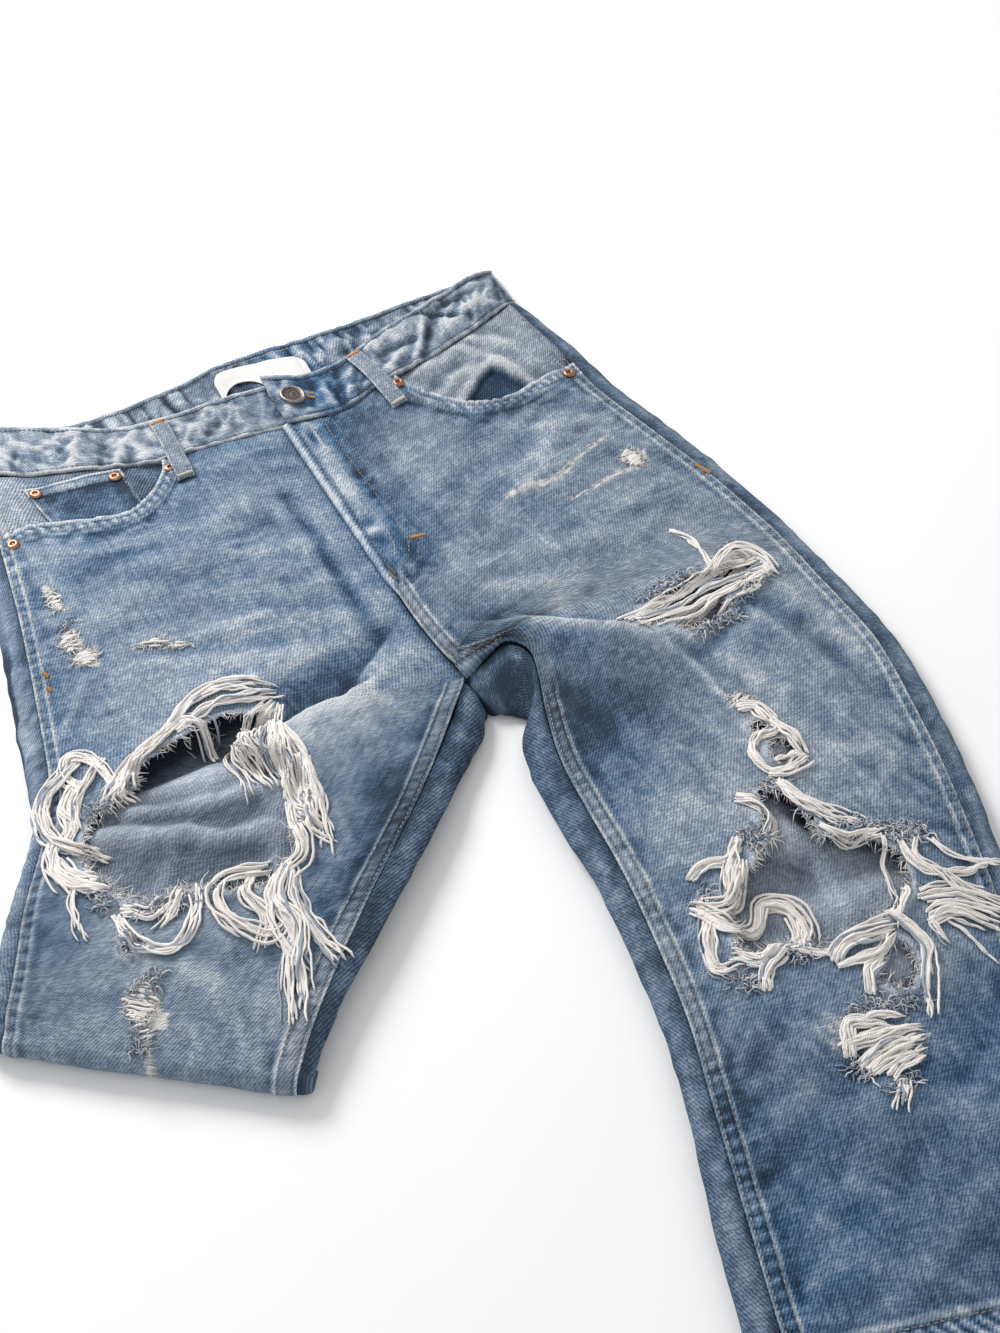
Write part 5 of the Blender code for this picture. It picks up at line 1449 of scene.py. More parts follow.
def band_surface():
    """Outer face of the waistband, on even rows along it and columns f from its lower edge to its upper.

    Straight across from its lower to its upper edge, with its relief added upwards: two stitch grooves,
    rolled edges, puckers, deep gathers on the left front, and lifts off the surface at the back. Also gives
    the length along it, the distances from its two edges, and the height of the relief.
    """
    rows = []
    for side, table in (("left", LEFT_BAND), ("right", RIGHT_BAND)):
        placed_rows = []
        for x, rise, top_x, top_y, top_z in table:
            y, z = waist_seam(side, x)
            placed_rows.append((x, y + BAND_SEAM, z + rise, top_x, top_y, top_z))
        rows.append(placed_rows)
    table = rows[0] + list(BACK_BAND) + rows[1][::-1] + [BAND_END]
    values = between(table, np.linspace(0, len(table) - 1, 2000))
    run = path_run(values[:, :3])
    even = np.linspace(0, run[-1], int(BAND_RUN / BAND_CELL))
    values = np.stack([np.interp(even, run, values[:, i]) for i in range(6)], axis=1)
    values[:, [2, 5]] = np.maximum(values[:, [2, 5]], 0)
    f = np.linspace(0, 1, BAND_COLUMNS)[None, :, None]
    points = values[:, None, :3] * (1 - f) + values[:, None, 3:] * f
    height = np.linalg.norm(values[:, 3:] - values[:, :3], axis=1)[:, None]
    x, y = points[..., 0], points[..., 1]
    up, down = f[..., 0] * height, (1 - f[..., 0]) * height
    s = even[:, None] + 0 * up
    front = (points[..., 2] > LINING).astype(float)
    low = 1 - front
    inner = hill(f[..., 0] - 0.5, 0.46)
    puckered = smooth((x - 84) / 14) * smooth((200 - x) / 12) * front
    plain = front * (1 - puckered)
    shallow = 1.2 * wrinkles(s, up, 66, 2.4, 5.5, 91) + 1.0 * wrinkles(s, up, 40, 2.0, 8, 195)
    deep = 1.3 * wrinkles(s, up, 42, 3.0, 11, 199) + 1.1 * wrinkles(s, up, 66, 2.4, 5.5, 203)
    relief = inner * (plain * shallow + puckered * deep)
    for *ends, half_width, rise in BAND_FOLDS:
        relief += front * rise * ridge_along(x, y, ends, half_width, 1.6, 1.6 * noise(x, y, 9, 205))
    relief += 0.9 * noise(s, up, 8, 95) * (hill(up - 6, 5) + hill(down - 6, 5))
    relief += 0.8 * (hill(up - 0.8, 1.2) + hill(down - 0.9, 1.4))
    relief -= 0.6 * (hill(up - BAND_STITCHES, 0.9) + hill(down - BAND_STITCHES, 0.9))
    relief += low * (1.6 + 1.9 * wrinkles(s, up, 84, 4.0, 6, 96)) * inner
    points[..., 2] += relief
    points[..., 2] = np.maximum(points[..., 2], 0.0)
    wave = 1.1 * noise(s, 0 * s, 22, 97) + 0.5 * noise(s, 0 * s, 9, 98)
    points[..., 1] += front * hill(down, 8) * smooth(s / 14) * wave
    return points, s, up, down, relief


def make_waistband():
    """The waistband, once round, with its upper and lower edges rubbed pale."""
    points, s, up, down, relief = band_surface()
    front = points[..., 2] > LINING
    x = points[..., 0]
    # Relief paler on its crests and darker in its hollows: partly wear, partly painted light and shade.
    tone = 0.57 + relief_wear_and_shade(relief, 3, 0.22, 0.32) + relief_wear_and_shade(relief, 8, 0.10, 0.34)
    tone += 0.09 * noise(s, up, 26, 99)
    tone += front * (0.16 * smooth((-52 - x) / 30) - 0.20 * hill(x - 44, 24) + 0.03 * hill(x - 170, 20))
    tone += front * 0.09 * np.tanh(3 * noise(s + 0.6 * up, up, 6, 207)) * (1 + smooth((-40 - x) / 20))
    tone += 0.2 * (hill(up, 1.3) + hill(down, 1.5)) - 0.2 * (hill(up - 3.3, 0.9) + hill(down - 3.3, 0.9))
    tone += 0.10 * noise(s, up, 4, 100) + 0.10 * noise(s + 0.5 * up, up, 9, 102)
    tone -= np.where(front, 0, 0.2)
    frayed = 0.2 * (hill(up, 1.0) + hill(down, 1.2))
    blueness = 0.92 + 0.55 * hill(x - 40, 36) + 0.15 * noise(s, up, 30, 103)
    finish = stacked(tone, 0, frayed, blueness)
    cloth_piece("waistband_cloth", "waistband", points, np.stack([s, up], axis=-1), finish, 2.4, True, 0)


def find_on_front(side, x, y):
    """Row position and place across of plan points on a front: a coarse grid's nearest, then Newton steps."""
    x, y = np.asarray(x, float).ravel(), np.asarray(y, float).ravel()
    rows, across = np.linspace(0, last_row(side), 160), np.linspace(0, 1, 60)
    grid = front_surface(side, rows, across, worn=False)[0].reshape(-1, 3)
    gap = (grid[:, 0] - x[:, None]) ** 2 + (grid[:, 1] - y[:, None]) ** 2
    nearest = gap.argmin(axis=1)
    t, u = rows[nearest // 60], across[nearest % 60]
    step = 0.004

    def plan(t, u):
        return front_surface(side, t, u[:, None], worn=False)[0][:, 0, :2]

    for _ in range(4):
        here = plan(t, u)
        by_t = (plan(t + step, u) - plan(t - step, u)) / (2 * step)
        by_u = (plan(t, u + step) - plan(t, u - step)) / (2 * step)
        off_x, off_y = x - here[:, 0], y - here[:, 1]
        size = by_t[:, 0] * by_u[:, 1] - by_t[:, 1] * by_u[:, 0]
        size = np.where(np.abs(size) < 1e-6, 1e-6, size)
        t = np.clip(t + (off_x * by_u[:, 1] - off_y * by_u[:, 0]) / size, 0, last_row(side))
        u = np.clip(u + (by_t[:, 0] * off_y - by_t[:, 1] * off_x) / size, 0, 1)
    return t, u


def on_front(side, x, y, worn=True):
    """Points of a front's outer face over plan points."""
    t, u = find_on_front(side, x, y)
    points = front_surface(side, t, u[:, None], worn=worn)[0][:, 0]
    return points.reshape(np.shape(x) + (3,))


def offset_line(line, inwards):
    """A plan line moved to the right of its run by this much, along its own normals."""
    along = unit(np.gradient(line, axis=0))
    return line + inwards * np.column_stack([along[:, 1], -along[:, 0]])


def heights(names, cell=2.5):
    """Height of the highest cloth over each cell of the plan, and a function that reads it between cells."""
    low = np.array([-350.0, -770.0])
    counts = np.array([260, 360])
    top = np.full(counts, -1.0)
    for name in names:
        mesh = bpy.data.objects[name].data
        points = np.empty(len(mesh.vertices) * 3, np.float32)
        mesh.vertices.foreach_get("co", points)
        points = points.reshape(-1, 3) / MM + np.array([*CENTRE, 0.0])
        lift = SHELL if name.endswith("_back") else 0.0
        cells = np.clip(((points[:, :2] - low) / cell).astype(int), 0, counts - 1)
        np.maximum.at(top, (cells[:, 0], cells[:, 1]), points[:, 2] + lift)
    for _ in range(2):
        padded = np.pad(top, 1, constant_values=-1.0)
        around = [padded[i : i + counts[0], j : j + counts[1]] for i in range(3) for j in range(3)]
        top = np.where(top < 0, np.maximum.reduce(around), top)
    top = np.maximum(top, 0)

    def read(x, y):
        px = np.clip((x - low[0]) / cell - 0.5, 0, counts[0] - 1.001)
        py = np.clip((y - low[1]) / cell - 0.5, 0, counts[1] - 1.001)
        ix, iy = px.astype(int), py.astype(int)
        fx, fy = px - ix, py - iy
        near = top[ix, iy] * (1 - fx) + top[ix + 1, iy] * fx
        far = top[ix, iy + 1] * (1 - fx) + top[ix + 1, iy + 1] * fx
        return near * (1 - fy) + far * fy

    return read


# Folds of the left pocket's facing: x and y of both ends, half width, height.
FACING_FOLDS = (
    (102, 4, 136, 15, 4.5, 1.3), (143, 16, 166, -14, 5.0, 1.6), (136, 12, 149, 2, 4.5, -1.6),
    (106, -10, 130, 2, 4.5, -1.2), (110, -20, 136, -6, 5.0, 1.1), (150, 24, 190, -4, 8.0, 0.9),
    (176, 20, 196, -14, 6.0, -0.9),
)


def make_facing(side):
    """The cloth behind a pocket's mouth: a part of the front's plain form, set below it."""
    rows = {"right": (0.012, 1.5), "left": (0.012, 1.85)}[side]
    t, u = np.linspace(*rows, 58), np.linspace(0.36, 0.9985, 70)
    points, inner, _ = front_surface(side, t, u, worn=False)
    x, y = points[..., 0], points[..., 1]
    above = -from_mouth(side, x, y)
    sink = 0.5 + (SHELL + 1.0) * (1 - smooth((above - 2) / 20))
    sink = sink * (1 - smooth((u - 0.93) / 0.06)) + 0.1
    if side == "left":
        bend = 1.5 * noise(x, y, 10, 116)
        rising = from_segment(x, y, 110, -43, 152, -7)[0] + bend
        falling = from_segment(x, y, 152, -7, 171, -38)[0] + bend
        gap = smooth(-rising / 3) * smooth(-falling / 3)
        dip = 3.2 * gap + 1.2 * hill(from_segment(x, y, 160, -36, 206, -28)[0] - 2, 5) * smooth((x - 160) / 8)
        relief = 0.8 * wrinkles(x, y, -38, 2.4, 21, 111) + 0.4 * noise(x, y, 9, 112)
        relief += 1.3 * hill(rising - 3, 4) * (1 - gap) * smooth(-falling / 6 + 1)
        relief += 1.3 * hill(falling - 3.5, 4) * smooth(-rising / 6 + 1)
        for *ends, half_width, height in FACING_FOLDS:
            relief += height * ridge_along(x, y, ends, half_width, 1.6, 2 * noise(x, y, 14, 117))
    else:
        under = smooth((33 - 0.19 * (x + 176) - y) / 4)
        sink = sink + 1.3 * smooth((x + 184) / 6) * smooth((-106 - x) / 6) * under
        gap = 0
        dip = 1.2 * hill(from_segment(x, y, -170, -20, -100, -22)[0], 7)
        relief = 0.4 * noise(x, y, 18, 113)
    points[..., 2] += relief * smooth(t[:, None] * 5) - sink - dip
    # Relief paler on its crests and darker in its hollows, here and for the left pocket below: partly wear,
    # partly painted light and shade.
    tone = {"left": 0.70, "right": 0.36}[side] + relief_wear_and_shade(relief, 3, 0.2) - 0.05 * dip
    if side == "left":
        # Painted shade in the left pocket's open gap, in a band from (96, 6) to (118, -34) and in a line just
        # above the mouth's outer edge; the tone is also darker towards x 206.
        tone -= 0.42 * gap + 0.25 * hill(x - 206, 7)
        tone -= 0.16 * hill(from_segment(x, y, 96, 6, 118, -34)[0] - 4, 7)
        tone -= 0.2 * hill(from_segment(x, y, 168, -38, 206, -28)[0] - 1.5, 4) * smooth((x - 164) / 6)
        tone += 0.08 * noise(0.4 * (x + y), x - y, 16, 114) + relief_wear_and_shade(relief, 9, 0.1, 0.3)
    else:
        tone += 0.22 + 0.18 * smooth((-168 - x) / 12) - 0.22 * smooth((x + 116) / 8)
        tone += 0.1 * noise(x, y, 8, 114)
        # Painted shade just above the mouth, under the front's edge.
        tone -= 0.16 * hill(above, 7) * smooth((x + 125) / 10)
    # The left pocket's gap is also bluer, as part of its painted shade.
    blueness = 0 * tone + {"left": 0.8, "right": 1.1}[side] + 0.65 * gap
    run = seam_run(side, t, "out")[:, None] + 0 * inner
    uv = np.stack([HAND[side] * inner, run], axis=-1)
    finish = stacked(tone, blueness=blueness)
    node = f"pocket_facing_{side}"
    cloth_piece(node + "_cloth", node, points, uv, finish, 0.9, side == "left")


def coin_plan(v, u):
    """Plan points of the coin pocket: v from its top edge to the mouth, u from the outseam side inwards."""
    (x0, y0), (x1, y1) = COIN_TOP
    top = np.stack([x0 + (x1 - x0) * u, y0 + (y1 - y0) * u], axis=-1)
    mouth = mouth_curve("right", 120)
    foot_x = COIN_FOOT_X[0] + (COIN_FOOT_X[1] - COIN_FOOT_X[0]) * u
    order = np.argsort(mouth[:, 0])
    foot_y = np.interp(foot_x, mouth[order, 0], mouth[order, 1]) + COIN_GAP
    foot = np.stack([foot_x, foot_y], axis=-1)
    v = np.asarray(v, float)[..., None]
    return top * (1 - v) + foot * v


def coin_surface(v, u):
    """The coin pocket's outer face: just below the front's plain form, its top hem and its edges raised."""
    v, u = np.broadcast_arrays(np.asarray(v, float), np.asarray(u, float))
    plan = coin_plan(v, u)
    x, y = plan[..., 0], plan[..., 1]
    points = on_front("right", x, y, worn=False)
    down, side_gap = v * COIN_DEPTH, np.minimum(u, 1 - u) * COIN_WIDTH
    relief = 0.5 * (1 - smooth((down - 9.5) / 1.5)) - 0.35 * (hill(down - 2.2, 0.9) + hill(down - 7.8, 0.9))
    relief += 0.3 * hill(side_gap - 4, 3) - 0.3 * hill(side_gap - 1.9, 0.8)
    relief += 0.35 * noise(x, y, 12, 121) + 0.2 * noise(x, y, 5, 122)
    points[..., 2] += relief - SEAM_GAP
    return points, relief


def make_coin_pocket():
    """The coin pocket, dark below its hem, with its edges rubbed pale."""
    v, u = np.meshgrid(np.linspace(0, 1, 34), np.linspace(0, 1, 56), indexing="ij")
    points, relief = coin_surface(v, u)
    down, side_gap = v * COIN_DEPTH, np.minimum(u, 1 - u) * COIN_WIDTH
    x = points[..., 0]
    # Relief paler on its crests and darker in its hollows: partly wear, partly painted light and shade.
    tone = 0.25 + 0.44 * (1 - smooth((down - 8) / 2)) + relief_wear_and_shade(relief, 3, 0.25)
    tone += 0.26 * smooth((-156 - x) / 12) * smooth((down - 14) / 10) - 0.1 * smooth((x + 126) / 8)
    tone += 0.45 * hill(down, 1.7) + 0.55 * hill(side_gap, 1.9) - 0.1 * hill(down - 13, 4)
    tone -= 0.24 * (hill(down - 2.6, 0.9) + hill(down - 10.5, 1.6)) + 0.14 * hill(side_gap - 3.6, 1.8)
    tone += 0.2 * noise(x, 0.7 * points[..., 1], 9, 123)
    finish = stacked(tone, 0, 0.3 * hill(down, 1.2), 1.3)
    cloth_piece("coin_pocket_cloth", "coin_pocket", points, np.stack([x, down], axis=-1), finish, 1.0, True)


def loop_surface(ends, read, along, across):
    """A belt loop's outer face: a strip that lies over the cloth, arched between its tacked ends.

    Across it, the two folded edges are rounded and a groove holds each row of stitches.
    """
    x0, y0, x1, y1 = ends
    along, across = np.broadcast_arrays(np.asarray(along, float), np.asarray(across, float))
    length = math.hypot(x1 - x0, y1 - y0)
    side_x, side_y = -(y1 - y0) / length, (x1 - x0) / length
    place = across * LOOP_WIDTH * (1 + 0.03 * noise(along * length, 0 * along, 9, 131))
    x = x0 + (x1 - x0) * along + side_x * place
    y = y0 + (y1 - y0) * along + side_y * place
    f = np.linspace(0, 1, 40)[:, None]
    middle = np.array([-0.5, -0.25, 0, 0.25, 0.5])[None, :] * LOOP_WIDTH
    under = read(x0 + (x1 - x0) * f + side_x * middle, y0 + (y1 - y0) * f + side_y * middle).max(axis=1)
    under = blurred(np.tile(under[:, None], (1, 2)), 2)[:, 0]
    base = np.interp(along, f[:, 0], under)
    height = base + LOOP_WALL + 0.5 + LOOP_RISE * np.sin(np.pi * along) ** 0.7
    tacked = hill(along, 0.035) + hill(along - 1, 0.035)
    height += 0.35 * (1 - (2 * across) ** 6) - 0.45 * (hill(np.abs(across) - 0.30, 0.06)) - 0.9 * tacked
    height += 0.35 * noise(x, y, 6, 132)
    return np.stack([x, y, height], axis=-1)


def make_loops():
    """The belt loops: two over the front of the waistband, and one flat inside the back."""
    read = heights(["left_front", "right_front", "waistband_cloth"])
    for name, ends in LOOPS.items():
        a, c = np.meshgrid(np.linspace(0, 1, 64), np.linspace(-0.5, 0.5, 15), indexing="ij")
        points = loop_surface(ends, read, a, c)
        length = math.hypot(ends[2] - ends[0], ends[3] - ends[1])
        tone = 0.66 + 0.14 * hill(np.abs(c) - 0.5, 0.10) + 0.10 * noise(a * length, c * 12, 5, 133)
        tone -= 0.12 * hill(np.abs(c) - 0.30, 0.06)
        add_strip(name, points, a * length, c * LOOP_WIDTH, tone)
    x, y = np.meshgrid(np.linspace(-0.5, 0.5, 13) * LOOP_WIDTH, np.linspace(*BACK_LOOP, 40))
    points = np.stack([x, y, 0.15 * (1 + noise(x, y, 7, 134))], axis=-1)
    add_strip("belt_loop_back", points, y - BACK_LOOP[0], x, 0.6 + 0.1 * noise(x, y, 5, 135))


def add_strip(name, points, length, width, tone):
    """A loop's strip as a piece that stands for its CAD node."""
    uv = np.stack([width, length], axis=-1)
    cloth_piece(name + "_cloth", name, points, uv, stacked(tone), LOOP_WALL - 0.2, True, 0)


def make_label():
    """A bare woven label inside the back band, held along its lower edge and free at its wavy top."""
    turn = np.linspace(0, np.pi, 80)
    x, f = np.meshgrid(sum(LABEL_X) / 2 - (LABEL_X[1] - LABEL_X[0]) / 2 * np.cos(turn), np.linspace(0, 1, 34))
    foot = LABEL_Y[0] + 16.0 * np.sqrt(np.clip(1 - ((x + 5) / 16) ** 2, 0, 1))
    inset = np.clip(1 - np.minimum(x - LABEL_X[0], LABEL_X[1] - x) / LABEL_CORNER, 0, 1)
    corners = LABEL_CORNER * (1 - np.sqrt(1 - inset**2))
    head = LABEL_Y[1] - 4 - 0.0065 * (x - 3) ** 2 - corners + 0.5 * noise(x, 0 * x, 14, 144)
    y = foot + (head - foot) * f
    cloth = band_surface()[0]
    back = cloth[cloth[:, 0, 2] < LINING]
    near = np.hypot(back[None, :, :, 0] - x[0, :, None, None], 0.3 * (back[None, :, :, 1] - 70)) < 9
    lining = np.where(near, back[None, ..., 2], 0).max(axis=(1, 2))[None, :] + 2.4 + 0 * y
    free = (LABEL_Y[1] - y) / (LABEL_Y[1] - LABEL_Y[0])
    held = 1 - free
    wave = 1.5 * smooth(held) * (1 + np.cos((x - LABEL_X[0]) / 11))
    wave += held * (1.0 * noise(x, y, 16, 141) + 1.4 * hill(x - LABEL_X[1], 8)) + 0.12 * noise(x, y, 4, 142)
    z = lining + 0.6 + wave
    flow = y + held * 1.2 * noise(x, 0 * x, 20, 143)
    points = np.stack([x, flow, z], axis=-1).reshape(-1, 3)
    uv = np.stack([x, y], axis=-1).reshape(-1, 2)
    obj = new_piece("label_tape", points, grid_faces(*x.shape), [finishes()["label_cloth"]], uv)
    shell(obj, 0.5, 0)
    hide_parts("label")


def make_closure():
    """The zip, closed behind the fly: two tapes as one and its row of teeth. Below it, the fly shield."""
    made = finishes()
    t = np.linspace(0.12, 2.75, 90)
    below = SHELL + 0.75
    tape, _, _ = front_surface("left", t, np.linspace(0.016, 0.12, 14), worn=False)
    tape[..., 2] -= below
    faces, uv = grid_faces(*tape.shape[:2], flip=True), tape[..., :2].reshape(-1, 2)
    obj = new_piece("zip_tapes", tape.reshape(-1, 3), faces, [made["zip_tape"]], uv)
    shell(obj, 0.5, 0)
    fine = np.linspace(0.14, 2.72, 88)
    line, _, _ = front_surface("left", fine, [0.060], worn=False)
    centre = line[:, 0] - [0, 0, below + 1.05]
    ends = np.array([-2.1, -0.7, 0.7, 2.1])
    teeth = centre[:, None, :] + np.stack([ends, 0 * ends, 0 * ends], axis=-1)[None]
    points, faces, teeth_uv = tubes(teeth, 0.5, 4)
    metal = new_piece("zip_teeth", points, faces, [made["brass"]], teeth_uv)
    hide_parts("zip")
    t, u = np.linspace(0.08, 2.9, 80), np.linspace(0.01, 0.17, 22)
    shield, inner, _ = front_surface("left", t, u, worn=False)
    shield[..., 2] -= below + 2.0
    tone = 0.45 + 0.05 * noise(shield[..., 0], shield[..., 1], 12, 151)
    run = np.linspace(0, 145, 80)[:, None] + 0 * inner
    uv = np.stack([inner, run], axis=-1)
    cloth_piece("fly_shield_cloth", "fly_shield", shield, uv, stacked(tone), 1.0, True)


def make_folded_leg():
    """The lower right leg folded beneath: two puffed layers with a groove between them at their edges.

    A loop of two half rounds on each side, carried from just past the fold to the leg's end, with the sides
    swelling softly along it.
    """
    start, along, down = fold_frame()
    width = math.dist(*leg_foot("right"))
    turn = np.radians(np.linspace(-90, 90, 11))
    bulge = np.concatenate([FOLDED_BULGE * np.cos(turn)] * 2)
    level = np.concatenate([0.25 + 0.25 * np.sin(turn), 0.75 + 0.25 * np.sin(turn)]) * (UNDER_LAYERS - 0.5)
    f = np.linspace(0, 1, 46)[:, None]
    near, far = (FOLDED_FROM + f * (length - FOLDED_FROM) for length in FOLDED_LENGTH)
    puff = 1.2 * noise(near, level[None, :], 17, 161)
    outwards = along * (bulge + puff)[..., None]
    first = start + along * FOLDED_INSET - down * near[..., None] - outwards
    second = start + along * (width - FOLDED_INSET) - down * far[..., None] + outwards
    low = np.broadcast_to(level, first.shape[:2])
    one = np.concatenate([first, low[..., None]], axis=-1)
    other = np.concatenate([second, low[..., None]], axis=-1)[:, ::-1]
    g = np.linspace(0, 1, 30)[None, 1:-1, None]
    over = one[:, -1:] * (1 - g) + other[:, :1] * g
    under = other[:, -1:] * (1 - g) + one[:, :1] * g
    loop = np.concatenate([one, over, other, under], axis=1)
    rows, count = loop.shape[:2]
    a, b = ring_corners(rows, count)
    faces = np.stack([a, a + count, b + count, b], axis=1)
    length = arc(loop, 1)
    uv = np.stack([length, near + 0 * length], axis=-1)
    tone = 0.46 + 0.08 * noise(loop[..., 0], loop[..., 1], 14, 162)
    obj = cloth_piece("folded_leg_right_cloth", "folded_leg_right", loop, uv, stacked(tone), faces=faces)


def turned(profile, at, normal, steps):
    """A profile of radius and height turned round an axis, closed at its poles, set on a point."""
    profile = np.asarray(profile, float)
    angle = np.arange(steps) * 2 * np.pi / steps
    axis = unit(np.asarray(normal, float))
    side = unit(np.cross([0.0, 1.0, 0.0], axis))
    other = np.cross(axis, side)
    ring = np.cos(angle)[:, None] * side + np.sin(angle)[:, None] * other
    body = profile[1:-1]
    points = body[:, None, :1] * ring[None] + body[:, None, 1:] * axis
    poles = np.array([axis * profile[0, 1], axis * profile[-1, 1]])
    rows = len(body)
    a, b = ring_corners(rows, steps)
    c, d = b + steps, a + steps
    j = np.arange(steps)
    k = (j + 1) % steps
    top, foot = rows * steps, rows * steps + 1
    tail = (rows - 1) * steps
    caps = [np.stack([k, np.full(steps, top), j], 1), np.stack([tail + j, np.full(steps, foot), tail + k], 1)]
    faces = np.concatenate([np.stack([a, d, c], 1), np.stack([a, c, b], 1), *caps])
    points = np.concatenate([points.reshape(-1, 3), poles]) + at
    return points, faces


# Profiles of the rivets and of the button: radius and height, from the middle of the face round to below.
RIVET_RING = (
    (0, 0.7), (0.7, 0.7), (1.1, 0.55), (1.35, 0.9), (1.7, 1.35), (2.3, 1.5), (3.1, 1.35), (3.8, 0.95),
    (4.25, 0.4), (4.3, -0.3), (4.0, -0.4), (0, -0.4),
)
BUTTON_RING = (
    (0, 3.3), (1.2, 3.4), (1.8, 3.2), (2.6, 3.25), (4.6, 3.35), (5.4, 3.2), (5.9, 3.5), (6.6, 4.15),
    (7.4, 4.2), (8.1, 3.9), (8.55, 3.3), (8.7, 2.7), (8.3, 2.1), (7.4, 1.8), (3.4, 1.5), (3.2, 0), (0, 0),
)


def cloth_normal(side, x, y):
    """The plain front's normal at a plan point, upwards."""
    patch = on_front(side, np.array([x - 2.0, x + 2, x, x]), np.array([y, y, y - 2.0, y + 2]), worn=False)
    return unit(np.cross(patch[1] - patch[0], patch[3] - patch[2]))


def tarnished(points, middle, reach, amount):
    """Finish of a metal piece: this dark inside the reach of its middle, in plan."""
    near = np.hypot(points[:, 0] - middle[0], points[:, 1] - middle[1])
    dark = amount * (1 - smooth((near - reach) / 0.5 + 0.5))
    return np.stack([dark, 0 * dark, 0 * dark], axis=-1)


def metal_cap(name, node, points, faces, material, tarnish):
    """A turned metal piece in place of its frame's node."""
    obj = new_piece(name, points, faces, [finishes()[material]], None, tarnish)
    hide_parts(node)


def make_metal():
    """The rivets, each set level with the cloth round it, and the button over the waistband."""
    read = heights(
        ["left_front", "right_front", "waistband_cloth", "coin_pocket_cloth", "pocket_facing_right_cloth"]
    )
    for name, (side, x, y) in RIVETS.items():
        around = np.linspace(0, 2 * np.pi, 9)
        level = read(x + 2.6 * np.cos(around), y + 2.6 * np.sin(around)).mean()
        at = np.array([x, y, level + 0.2])
        points, faces = turned(RIVET_RING, at, cloth_normal(side, x, y), 32)
        metal_cap(name + "_cap", name, points, faces, "copper", tarnished(points, (x, y), 1.5, 0.9))
    x, y = BUTTON_AT
    level = read(x + np.array([-5, 0, 5, 0]), y + np.array([0, 5, 0, -5])).max()
    points, faces = turned(BUTTON_RING, np.array([x, y, level]), (0.02, -0.03, 1), 56)
    metal_cap("button_cap", "button", points, faces, "button_metal", tarnished(points, (x, y), 6.2, 0.35))


